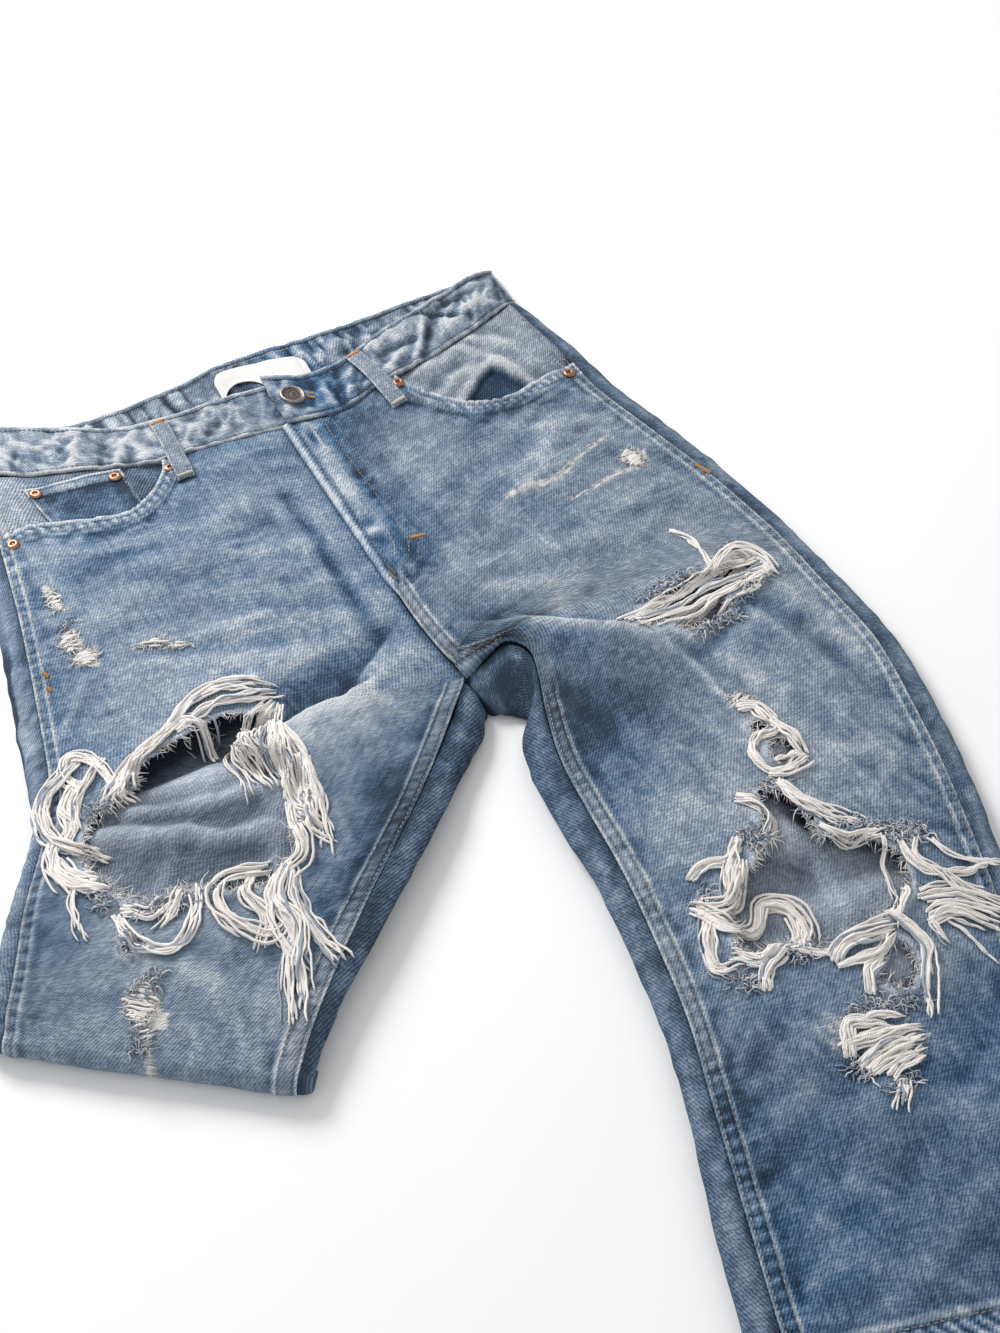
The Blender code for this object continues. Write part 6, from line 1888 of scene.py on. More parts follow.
# Bundles of loose yarn at each rip: how many, half width of the bundle at its start and at its end, how far
# it holds straight instead of lying on what is below, how high it piles, and the points along its middle, in
# plan.
BUNDLES = {
    "right_knee": (
        (11, 2.5, 4, 0, 3, ((-172, -213), (-150, -198), (-125, -195), (-104, -208))),
        (6, 2.0, 3, 0, 3, ((-162, -214), (-136, -207), (-104, -214))),
        (9, 3.0, 3, 0, 3, ((-162, -206), (-152, -215), (-150, -232))),
        (16, 3.0, 4, 0, 3.5, ((-160, -205), (-185, -216), (-205, -228), (-220, -240))),
        (10, 3.0, 6, 0, 3, ((-200, -224), (-210, -238), (-207, -246))),
        (9, 2.5, 4, 0, 3, ((-212, -211), (-226, -222), (-238, -236), (-242, -252))),
        (8, 2.5, 4, 0, 3, ((-212, -234), (-216, -208), (-228, -200), (-235, -212), (-228, -224))),
        (15, 3.5, 4, 0, 4, ((-226, -204), (-250, -220), (-258, -245), (-250, -262), (-238, -270))),
        (6, 2.5, 3, 0, 3, ((-232, -218), (-244, -234), (-243, -250), (-253, -260))),
        (12, 5.0, 7, 0, 2.5, ((-260, -268), (-254, -284), (-238, -297))),
        (8, 3.0, 4, 0, 2.5, ((-256, -252), (-262, -270), (-259, -292))),
        (3, 1.0, 2, 0, 1.5, ((-255, -284), (-263, -304), (-262, -328))),
        (14, 3.5, 9, 0, 3.5, ((-107, -220), (-125, -228), (-137, -240), (-134, -256), (-133, -271))),
        (10, 3.0, 8, 0, 3, ((-104, -222), (-114, -236), (-122, -254), (-119, -274))),
        (13, 3.5, 5, 0, 4, ((-111, -230), (-117, -258), (-121, -284), (-118, -304))),
        (8, 3.0, 4, 0, 3, ((-111, -238), (-109, -268), (-113, -298), (-119, -328))),
        (8, 3.0, 5, 0, 3, ((-108, -268), (-116, -290), (-122, -310), (-116, -322))),
        (7, 3.0, 6, 0, 3, ((-125, -288), (-130, -308), (-136, -328), (-150, -337))),
        (
            9, 2.5, 4, 0, 3.5,
            ((-158, -324), (-180, -320), (-191, -335), (-188, -353), (-174, -368), (-158, -362)),
        ),
        (6, 2.5, 5, 0, 3, ((-166, -322), (-176, -338), (-172, -356), (-182, -368))),
        (14, 3.0, 6, 0, 3.5, ((-148, -329), (-160, -349), (-159, -370), (-171, -394), (-178, -414))),
        (8, 3.0, 5, 0, 3, ((-146, -334), (-151, -362), (-146, -394))),
        (6, 2.5, 5, 0, 3, ((-152, -332), (-165, -350), (-168, -372), (-163, -392))),
        (5, 2.0, 3, 0, 2.5, ((-204, -318), (-214, -328), (-227, -336))),
        (6, 2.0, 3, 0, 2.5, ((-243, -320), (-240, -340), (-226, -352), (-210, -346), (-199, -325))),
        (4, 2.0, 3, 0, 2, ((-240, -318), (-228, -326), (-214, -322))),
    ),
    "left_thigh": (
        (5, 1.2, 1.6, 0.95, 1.5, ((114, -258), (151, -256), (190, -249), (222, -247))),
        (4, 1.2, 1.6, 0.95, 1.5, ((115, -261), (151, -259), (190, -252), (222, -250))),
        (5, 1.4, 2.0, 0.95, 1.5, ((118, -264), (144, -266), (178, -260), (219, -262))),
        (5, 1.4, 2.0, 0.95, 1.5, ((124, -269), (149, -271), (175, -268), (218, -266))),
        (5, 1.4, 2.0, 0.95, 1.5, ((132, -275), (156, -278), (176, -272), (214, -268))),
        (4, 1.2, 1.8, 0.95, 1.5, ((142, -281), (160, -284), (178, -277), (204, -274))),
        (12, 3.0, 4, 0, 4, ((186, -251), (195, -245), (206, -243), (216, -252), (217, -266))),
        (8, 2.0, 3, 0, 3, ((194, -254), (204, -252), (211, -260), (201, -269))),
        (3, 1.2, 2, 0.3, 4, ((182, -256), (186, -236), (183, -220), (178, -208))),
    ),
    "left_above_knee": (
        (7, 3.0, 2, 0, 3, ((138, -352), (146, -356), (149, -366), (151, -376))),
        (7, 2.0, 2, 0, 3, ((127, -384), (135, -378), (145, -378), (152, -373))),
        (8, 2.2, 2.5, 0, 3, ((131, -379), (126, -388), (127, -399), (133, -406))),
        (7, 2.0, 2.5, 0, 3, ((127, -403), (138, -408), (152, -405))),
        (5, 1.5, 2, 0, 3, ((135, -398), (145, -399), (152, -404))),
        (7, 2.0, 2.5, 0, 3, ((149, -371), (154, -386), (153, -404))),
    ),
    "left_knee": (
        (10, 3.0, 4, 0, 4, ((101, -410), (108, -418), (110, -430), (101, -441))),
        (11, 2.0, 5, 0, 4, ((127, -412), (131, -428), (140, -444), (149, -456))),
        (9, 3.0, 4, 0, 4, ((86, -434), (76, -445), (66, -456), (60, -467))),
        (7, 1.8, 2, 0, 3, ((50, -443), (60, -439), (74, -443), (84, -437))),
        (8, 3.0, 4, 0, 4, ((77, -448), (68, -462), (57, -468), (44, -460))),
        (6, 2.0, 3, 0, 3, ((131, -449), (139, -461), (152, -466), (161, -467))),
        (
            13, 3.5, 4, 0, 4,
            ((42, -463), (52, -480), (66, -484), (78, -472), (90, -480), (92, -496), (86, -504)),
        ),
        (11, 3.0, 3, 0, 4, ((90, -486), (86, -500), (70, -503), (55, -507), (46, -499))),
        (10, 3.5, 3.5, 0, 3, ((44, -469), (35, -482), (30, -499), (42, -504))),
        (8, 3.0, 3, 0, 3, ((48, -522), (54, -513), (66, -508), (77, -502))),
        (3, 1.0, 1.5, 0.3, 2, ((159, -469), (153, -486), (147, -502))),
        (4, 2.0, 2, 0, 3, ((167, -478), (167, -492), (174, -502), (190, -509), (211, -513))),
        (3, 1.5, 1.5, 0, 3, ((186, -482), (191, -494), (200, -503), (216, -511))),
        (5, 1.5, 2, 0, 4, ((177, -480), (170, -490), (176, -505), (182, -520), (199, -533))),
        (7, 3.0, 5, 0, 3, ((156, -513), (176, -516), (186, -527), (195, -538))),
        (8, 3.0, 6, 0, 3, ((152, -526), (166, -526), (176, -534), (186, -546))),
        (3, 1.5, 2, 0, 2, ((153, -526), (151, -532), (156, -541))),
        (2, 0.8, 1, 0, 2, ((161, -532), (165, -548), (170, -566))),
        (14, 3.5, 5, 0, 4, ((90, -525), (102, -518), (115, -520), (128, -522))),
        (8, 3.0, 4, 0, 3, ((91, -530), (104, -532), (116, -531), (125, -526))),
        (8, 2.5, 3, 0, 3, ((96, -551), (101, -541), (112, -536), (122, -530))),
        (9, 2.5, 3, 0, 3, ((132, -511), (137, -523), (141, -539), (134, -551), (120, -573))),
        (6, 2.0, 2, 0, 3, ((154, -501), (145, -513), (134, -523))),
        (5, 2.0, 2, 0, 2, ((72, -504), (82, -514), (92, -523))),
    ),
    "left_below_knee": (
        (8, 3.0, 4, 0, 4, ((65, -576), (73, -562), (85, -566), (101, -573))),
        (9, 3.0, 3, 0, 4, ((64, -572), (80, -574), (104, -579))),
        (9, 3.0, 3, 0, 4, ((68, -584), (84, -580), (104, -584))),
        (8, 2.5, 3, 0, 3, ((70, -590), (86, -588), (101, -589))),
        (6, 2.5, 2, 0, 3, ((76, -597), (88, -595), (97, -593))),
        (4, 2.0, 3, 0, 2, ((80, -602), (74, -608), (69, -615))),
    ),
}

# Clumps of curled blue ends beside the rips: x and y of the middle, width, height, turn, number.
BLUE_CLUMPS = {
    "right": (
        (-243, -338, 9, 16, 10, 60), (-222, -324, 40, 6, -14, 90), (-226, -245, 20, 9, 35, 40),
        (-247, -300, 9, 22, 8, 50), (-246, -366, 26, 5, 10, 36), (-192, -98, 7, 8, 0, 16),
        (-261, -394, 10, 12, 0, 30),
    ),
    "left": (
        (175, -473, 26, 15, -12, 150), (153, -457, 22, 9, -35, 70), (93, -437, 14, 12, -30, 60),
        (50, -455, 14, 10, 40, 45), (40, -513, 18, 9, -30, 45), (81, -514, 18, 9, -25, 60),
        (97, -561, 46, 8, -8, 120), (66, -586, 9, 14, 20, 35), (80, -605, 20, 6, 10, 35),
        (127, -412, 16, 5, -10, 30), (150, -249, 52, 7, 4, 90), (207, -239, 8, 9, 60, 24),
        (163, -289, 30, 7, 6, 80), (194, -274, 40, 7, 24, 90),
    ),
}

# Places where the blue warp is gone and the white weft is left: x and y of the middle, width, height, turn,
# number of weft yarns.
BARE_PATCHES = {
    "right": (
        (-251, -373, 17, 20, -38, 16), (-256, -390, 6, 16, -14, 6), (-196, -114, 9, 14, -10, 10),
        (-191, -130, 15, 10, -10, 9), (-192, -74, 6, 17, -8, 9), (-150, -143, 18, 4, -25, 3),
        (-138, -151, 14, 3, -25, 3),
    ),
    "left": (
        (142, -349, 13, 11, 20, 10), (193, -134, 13, 15, 10, 12),
    ),
}


def lying(plan, read, taut, pile, radius, rng):
    """Heights of yarns over plan paths (number, points, 2).

    Each yarn lies on what is below it, raised by its radius and by its place in the pile, and smoothed along
    its length. A taut one keeps towards the straight line between its ends. None goes below the cloth.
    """
    below = read(plan[..., 0], plan[..., 1])
    number, count = below.shape
    spread = below.copy()
    for _ in range(3):
        spread[:, 1:-1] = np.maximum(spread[:, 1:-1], 0.5 * (spread[:, :-2] + spread[:, 2:]) - 0.4)
    line = below[:, :1] + (below[:, -1:] - below[:, :1]) * np.linspace(0, 1, count)[None]
    line -= 0.5 * np.sin(np.pi * np.linspace(0, 1, count))[None] * rng.uniform(0.2, 1.6, (number, 1))
    spread = spread * (1 - taut) + np.maximum(spread, line) * taut
    stack = pile * rng.uniform(0, 1, (number, 1)) * np.sin(np.pi * np.linspace(0.08, 0.92, count))[None]
    turns, phase = rng.uniform(8, 22, (number, 1)), rng.uniform(0, 6, (number, 1))
    ripple = 0.7 * np.sin(np.linspace(0, 1, count)[None] * turns + phase)
    z = spread + stack + ripple * min(pile, 2) * 0.5
    for _ in range(2):
        z[:, 1:-1] = 0.25 * z[:, :-2] + 0.5 * z[:, 1:-1] + 0.25 * z[:, 2:]
    return np.maximum(z, below + 0.2) + radius * 0.8


def yarn_bundle(bundle, read, radius, seed):
    """Yarns that follow a bundle's middle line, each offset across it, wandering and kinked, some short."""
    number, half_start, half_end, taut, pile, line = bundle
    number = int(number * 1.9)
    rng = np.random.default_rng(seed)
    line = np.asarray(line, float)
    f = np.linspace(0, 1, 200)
    middle = between(line, f * (len(line) - 1))
    run = path_run(middle)
    count = int(np.clip(run[-1] / 2.6, 12, 40))
    last = run[-1] * np.where(taut > 0.5, 1.0, rng.uniform(0.66, 1.12, (number, 1)))
    first = rng.uniform(-0.05, 0.05, (number, 1)) * run[-1]
    s = first + (last - first) * np.linspace(0, 1, count)[None]
    inside = np.clip(s, 0, run[-1])
    x, y = np.interp(inside, run, middle[:, 0]), np.interp(inside, run, middle[:, 1])
    along = unit(np.gradient(middle, run, axis=0))
    ax, ay = np.interp(inside, run, along[:, 0]), np.interp(inside, run, along[:, 1])
    over = s - inside
    x, y = x + over * ax, y + over * ay
    portion = s / run[-1]
    offset = rng.normal(size=(number, 1)) * (half_start + (half_end - half_start) * portion) * 0.62
    lane = np.arange(number)[:, None] * 17.3
    clump = np.floor(np.arange(number) / 4)[:, None] * 23.1
    wander = 2.4 * noise(s, clump + 0 * s, 19, seed) + 1.1 * noise(s, clump + 0 * s, 8, seed + 1)
    wander += 0.9 * noise(s, lane + 0 * s, 12, seed + 4)
    kink = 0.35 * noise(s, lane + 0 * s, 3.1, seed + 2)
    offset = offset + (wander + kink) * (0.35 + 0.65 * smooth(portion * 3))
    if taut > 0.5:
        offset *= 0.75
    plan = np.stack([x - ay * offset, y + ax * offset], axis=-1)
    z = lying(plan, read, taut, pile, radius, rng)
    paths = np.concatenate([plan, z[..., None]], axis=-1)
    thick = radius * rng.uniform(0.72, 1.12, (number, 1)) * (1 + 0.16 * noise(s, lane + 0 * s, 5, seed + 3))
    thick[:, -1] *= 0.55
    dye = rng.uniform(0, 1, number)
    return strands(paths, thick, dye, np.where(rng.uniform(size=number) < 0.07, 0.75, 0.0))


def rip_edge(side, name, pitch, rng):
    """Points about a pitch apart on a rip's ragged outline, and the directions outwards from the hole."""
    points = []
    for middle_x, middle_y, half_length, half_width, turn in RIPS[side][name]:
        length = 2 * math.pi * math.sqrt((half_length**2 + half_width**2) / 2)
        angle = rng.uniform(0, 2 * np.pi, int(length / pitch))
        a, b = spin(half_length * np.cos(angle), half_width * np.sin(angle), turn)
        points.append(np.column_stack([middle_x + a, middle_y + b]))
    x, y = np.concatenate(points).T

    def distance(x, y):
        return from_rips(side, x, y)

    for _ in range(4):
        d = distance(x, y)
        slope_x = (distance(x + 0.3, y) - distance(x - 0.3, y)) / 0.6
        slope_y = (distance(x, y + 0.3) - distance(x, y - 0.3)) / 0.6
        size = np.maximum(slope_x**2 + slope_y**2, 0.05)
        move = 0.8 * np.clip(d, -6, 6) / size
        x, y = x - move * slope_x, y - move * slope_y
    good = np.abs(distance(x, y)) < 0.8
    size = np.sqrt(size)
    return np.column_stack([x, y])[good], np.column_stack([slope_x / size, slope_y / size])[good]


def edge_fuzz(side, name, read, seed):
    """Short broken ends of warp and weft, blue and white, that stand out of a rip's edge into the hole."""
    rng = np.random.default_rng(seed)
    at, outwards = rip_edge(side, name, 0.85, rng)
    number = len(at)
    turn = np.degrees(rng.normal(0, 0.75, number))
    into = -np.column_stack(spin(*outwards.T, turn))
    curl = rng.normal(0, 0.5, (number, 1)) * np.column_stack([-into[:, 1], into[:, 0]])
    length = rng.uniform(1.8, 6.5, number) * (1 + 0.6 * (rng.uniform(size=number) < 0.15))
    f = np.array([-0.35, 0.1, 0.4, 0.7, 1.0])[None, :, None]
    plan = at[:, None] + (into[:, None] * f + curl[:, None] * f**2) * length[:, None, None]
    root = at + 2.2 * outwards
    edge_height = read(root[:, 0], root[:, 1])[:, None]
    below = read(plan[..., 0], plan[..., 1])
    rise = rng.uniform(-0.6, 1.6, (number, 1))
    g = np.clip(f[..., 0], 0, 1)
    z = edge_height + rise * np.sin(1.8 * g) - 1.8 * rng.uniform(0, 1, (number, 1)) * g**2
    z = np.maximum(z, np.minimum(below, edge_height) + 0.2)
    z[:, 0] = edge_height[:, 0] + 0.1
    radius = rng.uniform(0.22, 0.42, (number, 1)) * np.array([[1, 1, 1, 0.85, 0.5]])
    blue = np.where(rng.uniform(size=number) < 0.58, rng.uniform(0.3, 0.85, number), 0.0)
    return strands(np.concatenate([plan, z[..., None]], axis=-1), radius, rng.uniform(0, 1, number), blue, 3)


def bare_patch(patch, read, seed):
    """White weft yarns side by side across a worn place, each a little arched and uneven in length."""
    middle_x, middle_y, width, height, turn, number = patch
    rng = np.random.default_rng(seed)
    row = np.linspace(-0.5, 0.5, number)[:, None] * height + 0.25 * rng.normal(size=(number, 1))
    taper = np.sqrt(np.clip(1 - (2.1 * row / height) ** 2, 0.12, 1))
    f = np.linspace(-0.5, 0.5, 14)[None]
    across = f * width * taper * rng.uniform(0.8, 1.12, (number, 1)) + 1.2 * rng.normal(size=(number, 1))
    wave = 0.55 * noise(across, row * 3, 5, seed) + 0.35 * noise(across, row * 5, 2.5, seed + 1)
    x, y = spin(across, row + wave, turn)
    x, y = middle_x + x, middle_y + y
    z = read(x, y) + 0.25 + 0.55 * np.cos(np.pi * f) + 0.3 * rng.uniform(size=(number, 1))
    z[:, [0, -1]] -= 0.8
    radius = 0.72 * rng.uniform(0.8, 1.15, (number, 1))
    return strands(np.stack([x, y, z], axis=-1), radius, rng.uniform(0, 1, number), 0)


def blue_clump(clump, read, seed):
    """Blue ends tangled together: short yarns, pale and dark, whose heading wanders at random along them."""
    middle_x, middle_y, width, height, turn, number = clump
    rng = np.random.default_rng(seed)
    angle, reach = rng.uniform(0, 2 * np.pi, number), np.sqrt(rng.uniform(0, 1, number))
    a, b = spin(0.5 * width * reach * np.cos(angle), 0.5 * height * reach * np.sin(angle), turn)
    at_x, at_y = middle_x + a, middle_y + b
    f = np.linspace(0, 1, 9)[None]
    heading = rng.uniform(0, 2 * np.pi, (number, 1)) + rng.normal(0, 2.4, (number, 1)) * f
    heading = heading + np.cumsum(rng.normal(0, 0.45, (number, 9)), axis=1)
    step = rng.uniform(0.5, 1.1, (number, 1))
    x = at_x[:, None] + np.cumsum(step * np.cos(heading), axis=1)
    y = at_y[:, None] + np.cumsum(step * np.sin(heading), axis=1)
    z = read(x, y) + 0.3 + rng.uniform(0.4, 2.6, (number, 1)) * np.sin(np.pi * f)
    radius = rng.uniform(0.32, 0.55, (number, 1))
    blue = np.where(rng.uniform(size=number) < 0.12, 0.1, rng.uniform(0.4, 1.0, number))
    return strands(np.stack([x, y, z], axis=-1), radius, 0, blue, 3)


def patch_fuzz(patch, read, seed):
    """Broken warp ends round a worn place, curling away from it, white and blue."""
    middle_x, middle_y, width, height, turn, _ = patch
    rng = np.random.default_rng(seed)
    number = int((width + height) * 2.6)
    angle = rng.uniform(0, 2 * np.pi, number)
    a, b = spin(0.5 * width * np.cos(angle), 0.52 * height * np.sin(angle), turn)
    at = np.column_stack([middle_x + a, middle_y + b])
    heading = angle + math.radians(turn) + rng.normal(0, 0.8, number)
    heading += np.pi * (rng.uniform(size=number) < 0.5)
    way = np.column_stack([np.cos(heading), np.sin(heading)])
    curl = rng.normal(0, 0.6, (number, 1)) * np.column_stack([-way[:, 1], way[:, 0]])
    length = rng.uniform(1.5, 5.5, number)[:, None, None]
    f = np.array([0, 0.3, 0.65, 1.0])[None, :, None]
    plan = at[:, None] + (way[:, None] * f + curl[:, None] * f**2) * length
    z = read(plan[..., 0], plan[..., 1]) + rng.uniform(0.1, 1.6, (number, 1)) * np.sin(2.2 * f[..., 0]) + 0.2
    radius = rng.uniform(0.22, 0.4, (number, 1)) * np.array([[1, 1, 0.9, 0.5]])
    blue = np.where(rng.uniform(size=number) < 0.5, rng.uniform(0.3, 0.8, number), 0.0)
    return strands(np.concatenate([plan, z[..., None]], axis=-1), radius, 0, blue, 3)


def make_yarns():
    """The frayed yarns of each side's rips, its bare patches and the fuzz round both."""
    radius = bpy.context.scene.jeans_sizes.yarn_width / MM / 2
    read = heights(["left_front", "right_front", "left_back", "right_back"])
    for side in ("left", "right"):
        bundles = [bundle for name, rows in BUNDLES.items() if name in RIPS[side] for bundle in rows]
        parts = [yarn_bundle(bundle, read, radius, 200 + 7 * i) for i, bundle in enumerate(bundles)]
        thread_piece(f"{side}_leg_yarns", "yarn", parts)
        parts = [bare_patch(patch, read, 800 + 3 * i) for i, patch in enumerate(BARE_PATCHES[side])]
        parts += [patch_fuzz(patch, read, 850 + i) for i, patch in enumerate(BARE_PATCHES[side])]
        parts += [blue_clump(clump, read, 870 + i) for i, clump in enumerate(BLUE_CLUMPS[side])]
        parts += [edge_fuzz(side, name, read, 900 + i) for i, name in enumerate(RIPS[side])]
        thread_piece(f"{side}_leg_fuzz", "yarn", parts)


# Stitching.


def seam_path(side, rows, inset, edge="in"):
    """A line on a front at a distance from its inner seam or its outseam, between two row positions."""
    t = np.linspace(*rows, int(abs(rows[1] - rows[0]) * 34) + 2)
    row = row_values(side, t)
    length = np.hypot(row["out_x"] - row["in_x"], row["out_y"] - row["in_y"])
    u = inset / length
    if edge == "out":
        u = 1 - u
    return front_surface(side, t, u)[0][:, 0]


def mouth_rows(side):
    """The two rows of stitches along a pocket's mouth."""
    line = mouth_curve(side, 90)
    plans = [offset_line(line, HAND[side] * inset)[6:-3] for inset in (2.8, 9.0)]
    return [on_front(side, plan[:, 0], plan[:, 1]) for plan in plans]


def stretches(path, marks):
    """The runs of more than three points over which a path's marks stay the same, each with its mark."""
    breaks = np.flatnonzero(np.diff(marks.astype(int))) + 1
    runs = zip(np.split(path, breaks), np.split(marks, breaks))
    return [(run, mark[0]) for run, mark in runs if len(run) > 3]


def outside_rips(side, path):
    """The stretches of a path that lie on cloth, not over a rip."""
    whole = from_rips(side, path[:, 0], path[:, 1]) > 1.5
    return [run for run, kept in stretches(path, whole) if kept]


def all_stitches():
    """Every row of stitching and every bartack, as parts of one mesh per side."""
    grey, tan = 0.36, 0.46
    rows = {"left": [], "right": []}
    rows["left"] += [
        (seam_path("left", (0.02, 3.33), 5.2), tan),
        (seam_path("left", (3.3, 8.8), 2.3), grey),
        (seam_path("left", (3.3, 8.8), 9.2), grey),
        (seam_path("left", (11.6, 21), 2.3), grey),
        (seam_path("left", (11.6, 21), 9.2), grey),
        (seam_path("left", (0.3, 21), 2.6, "out"), grey),
        (seam_path("left", (1.0, 21), 9.0, "out"), 0.2),
    ]
    rows["right"] += [
        (seam_path("right", (7, 15), 2.4), grey),
        (seam_path("right", (7, 15), 11.6), grey),
        (seam_path("right", (0.6, 15), 2.6, "out"), tan),
        (seam_path("right", (0.6, 7), 8.0, "out"), 0.2),
    ]
    for side in ("left", "right"):
        rows[side] += [(path, tan) for path in mouth_rows(side)]
    f = np.linspace(0, 1, 120)
    for inset, dye in ((0.0, tan), (6.0, tan), (-9.0, 0.15)):
        plan = offset_line(fly_line(f), -inset)[: None if inset >= 0 else 90]
        rows["left"].append((on_front("left", plan[:, 0], plan[:, 1]), dye))
    start, end = leg_foot("left")
    run = end - start
    up = unit(np.array([-run[1], run[0]]))
    plan = start + np.linspace(0.004, 0.996, 150)[:, None] * run + up * (HEM_BACK + HEM_STITCHES)
    rows["left"].append((on_front("left", plan[:, 0], plan[:, 1]), grey))
    u = np.linspace(0.02, 0.98, 40)
    for v in (0.055, 0.195):
        rows["right"].append((coin_surface(v + 0 * u, u)[0], tan))
    v = np.linspace(0.05, 0.9, 30)
    for place in (0.031, 0.969):
        rows["right"].append((coin_surface(v, place + 0 * v)[0], tan))
    parts = {"left": [], "right": []}
    seed = 300
    for side, found in rows.items():
        for path, dye in found:
            for stretch in outside_rips(side, path):
                seed += 1
                parts[side].append(stitch_row(stretch, 3.5, 0.36, dye, seed))
    return parts


def band_stitches():
    """The waistband's two rows, on its face at the front and on its lining where the back's shows."""
    parts = []
    points, _, up, _, _ = band_surface()
    inset = BAND_STITCHES / up[:, -1]
    for i, place in enumerate((inset, 1 - inset)):
        column = place * (BAND_COLUMNS - 1)
        low = np.clip(column.astype(int), 0, BAND_COLUMNS - 2)
        part = (column - low)[:, None]
        at = np.arange(len(points))
        path = points[at, low] * (1 - part) + points[at, low + 1] * part
        for stretch, is_front in stretches(path, path[:, 2] > LINING):
            parts.append(stitch_row(stretch, 3.3, 0.34, 0.62, 700 + i, 0.0 if is_front else 2.5))
    return parts


def make_stitches():
    """Stitching: a piece for each front, and one for the waistband with its loops, label and buttonhole."""
    parts = all_stitches()
    read = heights(["left_front", "right_front", "waistband_cloth", "coin_pocket_cloth"])

    def tack(x, y, length, turn, dye):
        return bartack(x, y, float(read(np.array([x]), np.array([y]))[0]) + 0.1, length, turn, dye)

    parts["left"] += [
        tack(32, -137, 9, 80, 0.88),
        tack(5, -154, 8, 10, 0.70),
        tack(3, -160, 6, 10, 0.60),
        tack(231, -163, 11, 20, 0.90),
    ]
    parts["right"] += [
        tack(-217, -128, 4.5, 20, 0.84),
        tack(-219, -140, 4, 20, 0.84),
    ]
    for side in ("left", "right"):
        thread_piece(f"{side}_stitching", "stitching", parts[side])
    parts = band_stitches()
    read_loops = heights(["left_front", "right_front", "waistband_cloth"])
    for ends in LOOPS.values():
        a = np.linspace(0.02, 0.98, 60)
        for c in (-0.30, 0.30):
            path = loop_surface(ends, read_loops, a, c + 0 * a)
            parts.append(stitch_row(path, 3.2, 0.33, 0.30, 720))
        turn = math.degrees(math.atan2(ends[3] - ends[1], ends[2] - ends[0]))
        for place, dye in ((0.045, 0.92), (0.955, 0.10)):
            spot = loop_surface(ends, read_loops, np.array([place]), np.array([0.0]))[0]
            parts.append(bartack(*spot, LOOP_WIDTH * 0.82, turn, dye))
    x = np.linspace(LABEL_X[0] + 1.5, LABEL_X[1] - 1.5, 40)
    back = np.array(BACK_BAND)[::-1]
    z = np.interp(x, back[:, 0], back[:, 2]) + BAND_WALL + 1.75
    parts.append(stitch_row(np.column_stack([x, 0 * x + LABEL_Y[1] - 2.2, z + 3.0]), 3.0, 0.3, 0.05, 740))
    angle = np.linspace(0, 2 * np.pi, 64, endpoint=False)
    hole_x, hole_y = 23.5 + 8.0 * np.cos(angle), 23.5 + 1.6 * np.sin(angle) - 2.0 * np.cos(angle)
    out_x, out_y = 23.5 + 9.8 * np.cos(angle), 23.5 + 3.8 * np.sin(angle) - 2.4 * np.cos(angle)
    f = np.array([0, 0.3, 0.7, 1.0])[None]
    px = hole_x[:, None] * (1 - f) + out_x[:, None] * f
    py = hole_y[:, None] * (1 - f) + out_y[:, None] * f
    pz = read(px, py) + np.array([-0.3, 0.6, 0.55, -0.3])[None]
    parts.append(strands(np.stack([px, py, pz], axis=-1), 0.45, 0.90, 0))
    thread_piece("waist_stitching", "stitching", parts)


# The sidebar's settings, one operator for each group of pieces, and the stage.


class JeansSizes(bpy.types.PropertyGroup):
    """Sizes and lights in the sidebar"""

    yarn_width: FloatProperty(
        name="Yarn width",
        description="Thickness of the loose yarns at the rips",
        default=0.0016,
        min=0.0004,
        max=0.003,
        unit="LENGTH",
        precision=5,
    )
    camera_height: FloatProperty(
        name="Camera height",
        description="Height of the camera over the surface that the jeans lie on",
        default=0.970,
        min=0.2,
        max=3.0,
        unit="LENGTH",
    )
    key_power: FloatProperty(
        name="Key light",
        description="Power of the large soft light",
        default=30.0,
        min=0.0,
        max=500.0,
        unit="POWER",
    )
    room_light: FloatProperty(
        name="Room light",
        description="Strength of the even light from all round",
        default=0.62,
        min=0.0,
        max=5.0,
    )


class JeansColours(bpy.types.PropertyGroup):
    """Colours in the sidebar"""

    yarn: FloatVectorProperty(
        name="Yarn",
        description="Colour of the undyed cotton yarns",
        default=(0.94, 0.895, 0.855),
        size=3,
        min=0.0,
        max=1.0,
        subtype="COLOR",
    )
    label: FloatVectorProperty(
        name="Label",
        description="Colour of the label's tape",
        default=(0.87, 0.86, 0.835),
        size=3,
        min=0.0,
        max=1.0,
        subtype="COLOR",
    )
    floor: FloatVectorProperty(
        name="Floor",
        description="Colour of the pale floor",
        default=(0.915, 0.915, 0.92),
        size=3,
        min=0.0,
        max=1.0,
        subtype="COLOR",
    )


class JeansFronts(bpy.types.Operator):
    """Make both front panels, with their creases, seams, rips and pocket mouths"""

    bl_idname = "jeans.fronts"
    bl_label = "Front panels"

    def execute(self, context):
        for side in ("right", "left"):
            make_front(side)
        return {"FINISHED"}


class JeansBacks(bpy.types.Operator):
    """Make both back panels"""

    bl_idname = "jeans.backs"
    bl_label = "Back panels"

    def execute(self, context):
        for side in ("right", "left"):
            make_back(side)
        return {"FINISHED"}


class JeansWaistband(bpy.types.Operator):
    """Make the waistband and its belt loops"""

    bl_idname = "jeans.waistband"
    bl_label = "Waistband and loops"

    def execute(self, context):
        make_waistband()
        make_loops()
        return {"FINISHED"}


class JeansPockets(bpy.types.Operator):
    """Make the cloth behind the pocket mouths and the coin pocket"""

    bl_idname = "jeans.pockets"
    bl_label = "Pockets"

    def execute(self, context):
        for side in ("right", "left"):
            make_facing(side)
        make_coin_pocket()
        return {"FINISHED"}


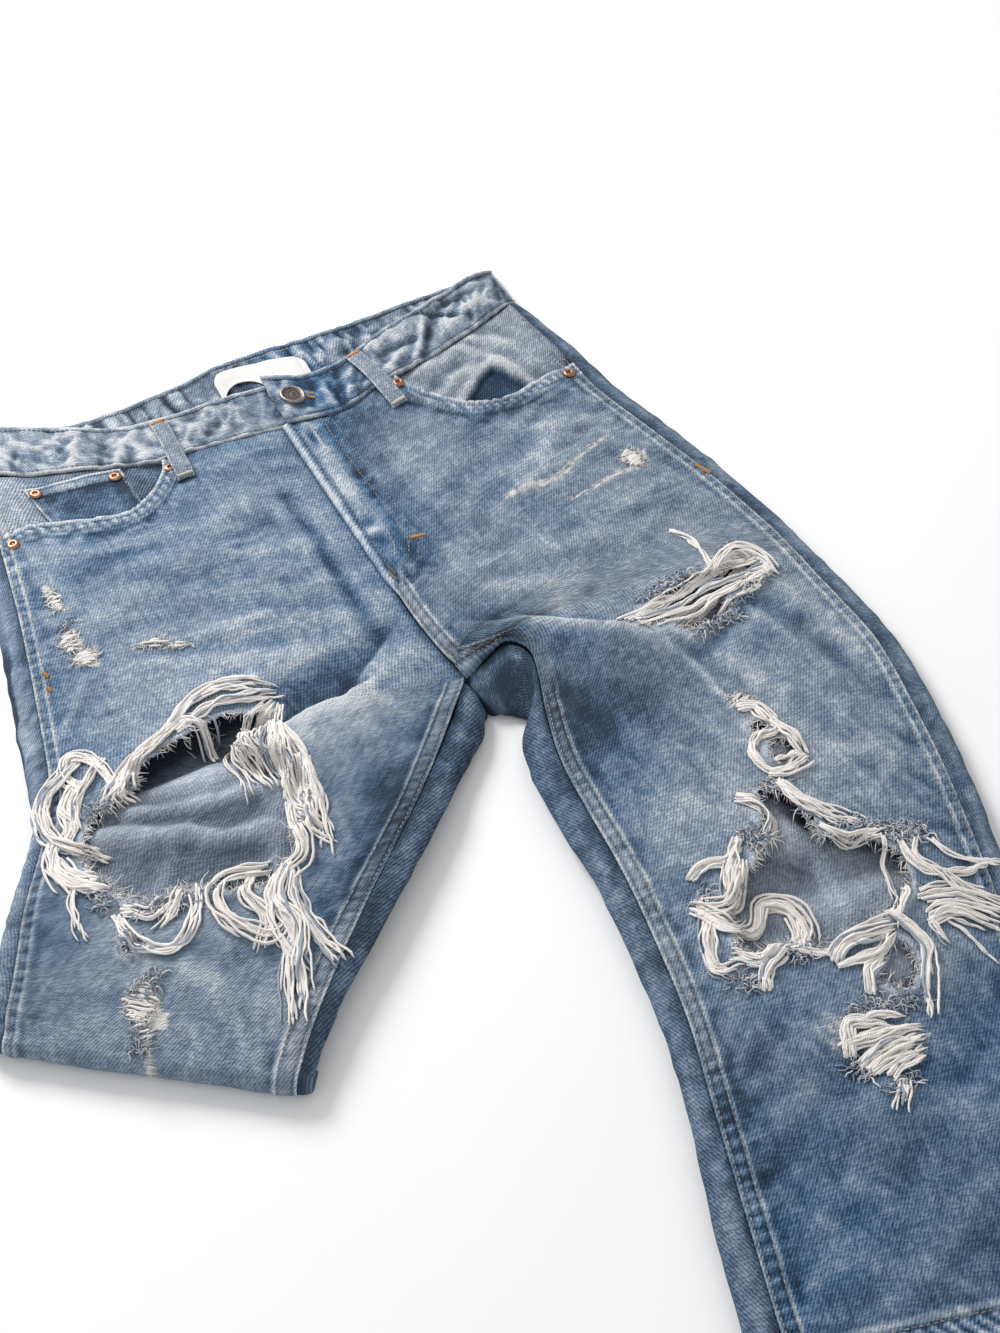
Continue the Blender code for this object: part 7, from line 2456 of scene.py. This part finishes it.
class JeansClosure(bpy.types.Operator):
    """Make the zip, the fly shield and the label"""

    bl_idname = "jeans.closure"
    bl_label = "Zip, shield and label"

    def execute(self, context):
        make_closure()
        make_label()
        return {"FINISHED"}


class JeansFoldedLeg(bpy.types.Operator):
    """Make the part of the right leg that is folded underneath"""

    bl_idname = "jeans.folded_leg"
    bl_label = "Folded leg"

    def execute(self, context):
        make_folded_leg()
        return {"FINISHED"}


class JeansMetal(bpy.types.Operator):
    """Make the button and the rivets"""

    bl_idname = "jeans.metal"
    bl_label = "Button and rivets"

    def execute(self, context):
        make_metal()
        return {"FINISHED"}


class JeansYarns(bpy.types.Operator):
    """Make the loose yarns, the bare patches and the fuzz of the rips"""

    bl_idname = "jeans.yarns"
    bl_label = "Frayed yarns"

    def execute(self, context):
        make_yarns()
        return {"FINISHED"}


class JeansStitching(bpy.types.Operator):
    """Make every row of stitching and every bartack"""

    bl_idname = "jeans.stitching"
    bl_label = "Stitching"

    def execute(self, context):
        make_stitches()
        return {"FINISHED"}


class JeansStage(bpy.types.Operator):
    """Make the pale floor, the soft lights and the camera"""

    bl_idname = "jeans.stage"
    bl_label = "Stage"

    def execute(self, context):
        sizes = context.scene.jeans_sizes
        made = finishes()
        mesh = bpy.data.meshes.new("floor")
        reach = 4.0
        corners = [(-reach, -reach, 0), (reach, -reach, 0), (reach, reach, 0), (-reach, reach, 0)]
        mesh.from_pydata(corners, [], [(0, 1, 2, 3)])
        mesh.materials.append(made["floor"])
        floor = bpy.data.objects.new("floor", mesh)
        context.scene.collection.objects.link(floor)
        for name, place, power, size in (
            ("key", (-0.35, 1.453, 1.05), sizes.key_power, 0.8),
            ("fill", (-1.2, -0.597, 1.5), sizes.key_power * 0.1, 1.6),
        ):
            lamp = bpy.data.lights.new(name, "AREA")
            lamp.energy = power
            lamp.shape = "DISK"
            lamp.size = size
            light = bpy.data.objects.new(name, lamp)
            light.location = place
            aim = Vector((0.0, -0.047, 0.0)) - light.location
            light.rotation_euler = aim.to_track_quat("-Z", "Y").to_euler()
            context.scene.collection.objects.link(light)
        world = bpy.data.worlds.new("room")
        world.use_nodes = True
        background = world.node_tree.nodes["Background"]
        background.inputs["Color"].default_value = (1.0, 1.0, 1.0, 1)
        background.inputs["Strength"].default_value = sizes.room_light
        context.scene.world = world
        lens = bpy.data.cameras.new("camera")
        lens.sensor_fit = "VERTICAL"
        lens.sensor_height = 36.0
        lens.lens = 55.0
        lens.clip_start = 0.01
        camera = bpy.data.objects.new("camera", lens)
        camera.location = (-0.3098, -0.6284, sizes.camera_height)
        camera.rotation_euler = (math.radians(40), 0, math.radians(-28))
        context.scene.collection.objects.link(camera)
        context.scene.camera = camera
        context.scene.view_settings.view_transform = "Standard"
        return {"FINISHED"}


class JeansPanel(bpy.types.Panel):
    """The sidebar's list of settings and pieces"""

    bl_idname = "VIEW3D_PT_jeans"
    bl_label = "Ripped Jeans"
    bl_space_type = "VIEW_3D"
    bl_region_type = "UI"
    bl_category = "Jeans"

    def draw(self, context):
        for group in (context.scene.jeans_sizes, context.scene.jeans_colours):
            for name in group.__annotations__:
                self.layout.prop(group, name)
        for operator in OPERATORS:
            self.layout.operator(operator.bl_idname)


OPERATORS = (
    JeansFronts,
    JeansBacks,
    JeansWaistband,
    JeansPockets,
    JeansClosure,
    JeansFoldedLeg,
    JeansMetal,
    JeansYarns,
    JeansStitching,
    JeansStage,
)
CLASSES = (JeansSizes, JeansColours, *OPERATORS, JeansPanel)


def register():
    """Adds the settings, the operators and the panel."""
    for item in CLASSES:
        bpy.utils.register_class(item)
    bpy.types.Scene.jeans_sizes = PointerProperty(type=JeansSizes)
    bpy.types.Scene.jeans_colours = PointerProperty(type=JeansColours)


def unregister():
    """Takes them away again."""
    del bpy.types.Scene.jeans_colours
    del bpy.types.Scene.jeans_sizes
    for item in reversed(CLASSES):
        bpy.utils.unregister_class(item)


def main():
    """Makes every piece in turn."""
    register()
    for operator in OPERATORS:
        group, name = operator.bl_idname.split(".")
        getattr(getattr(bpy.ops, group), name)()


if __name__ == "__main__":
    main()
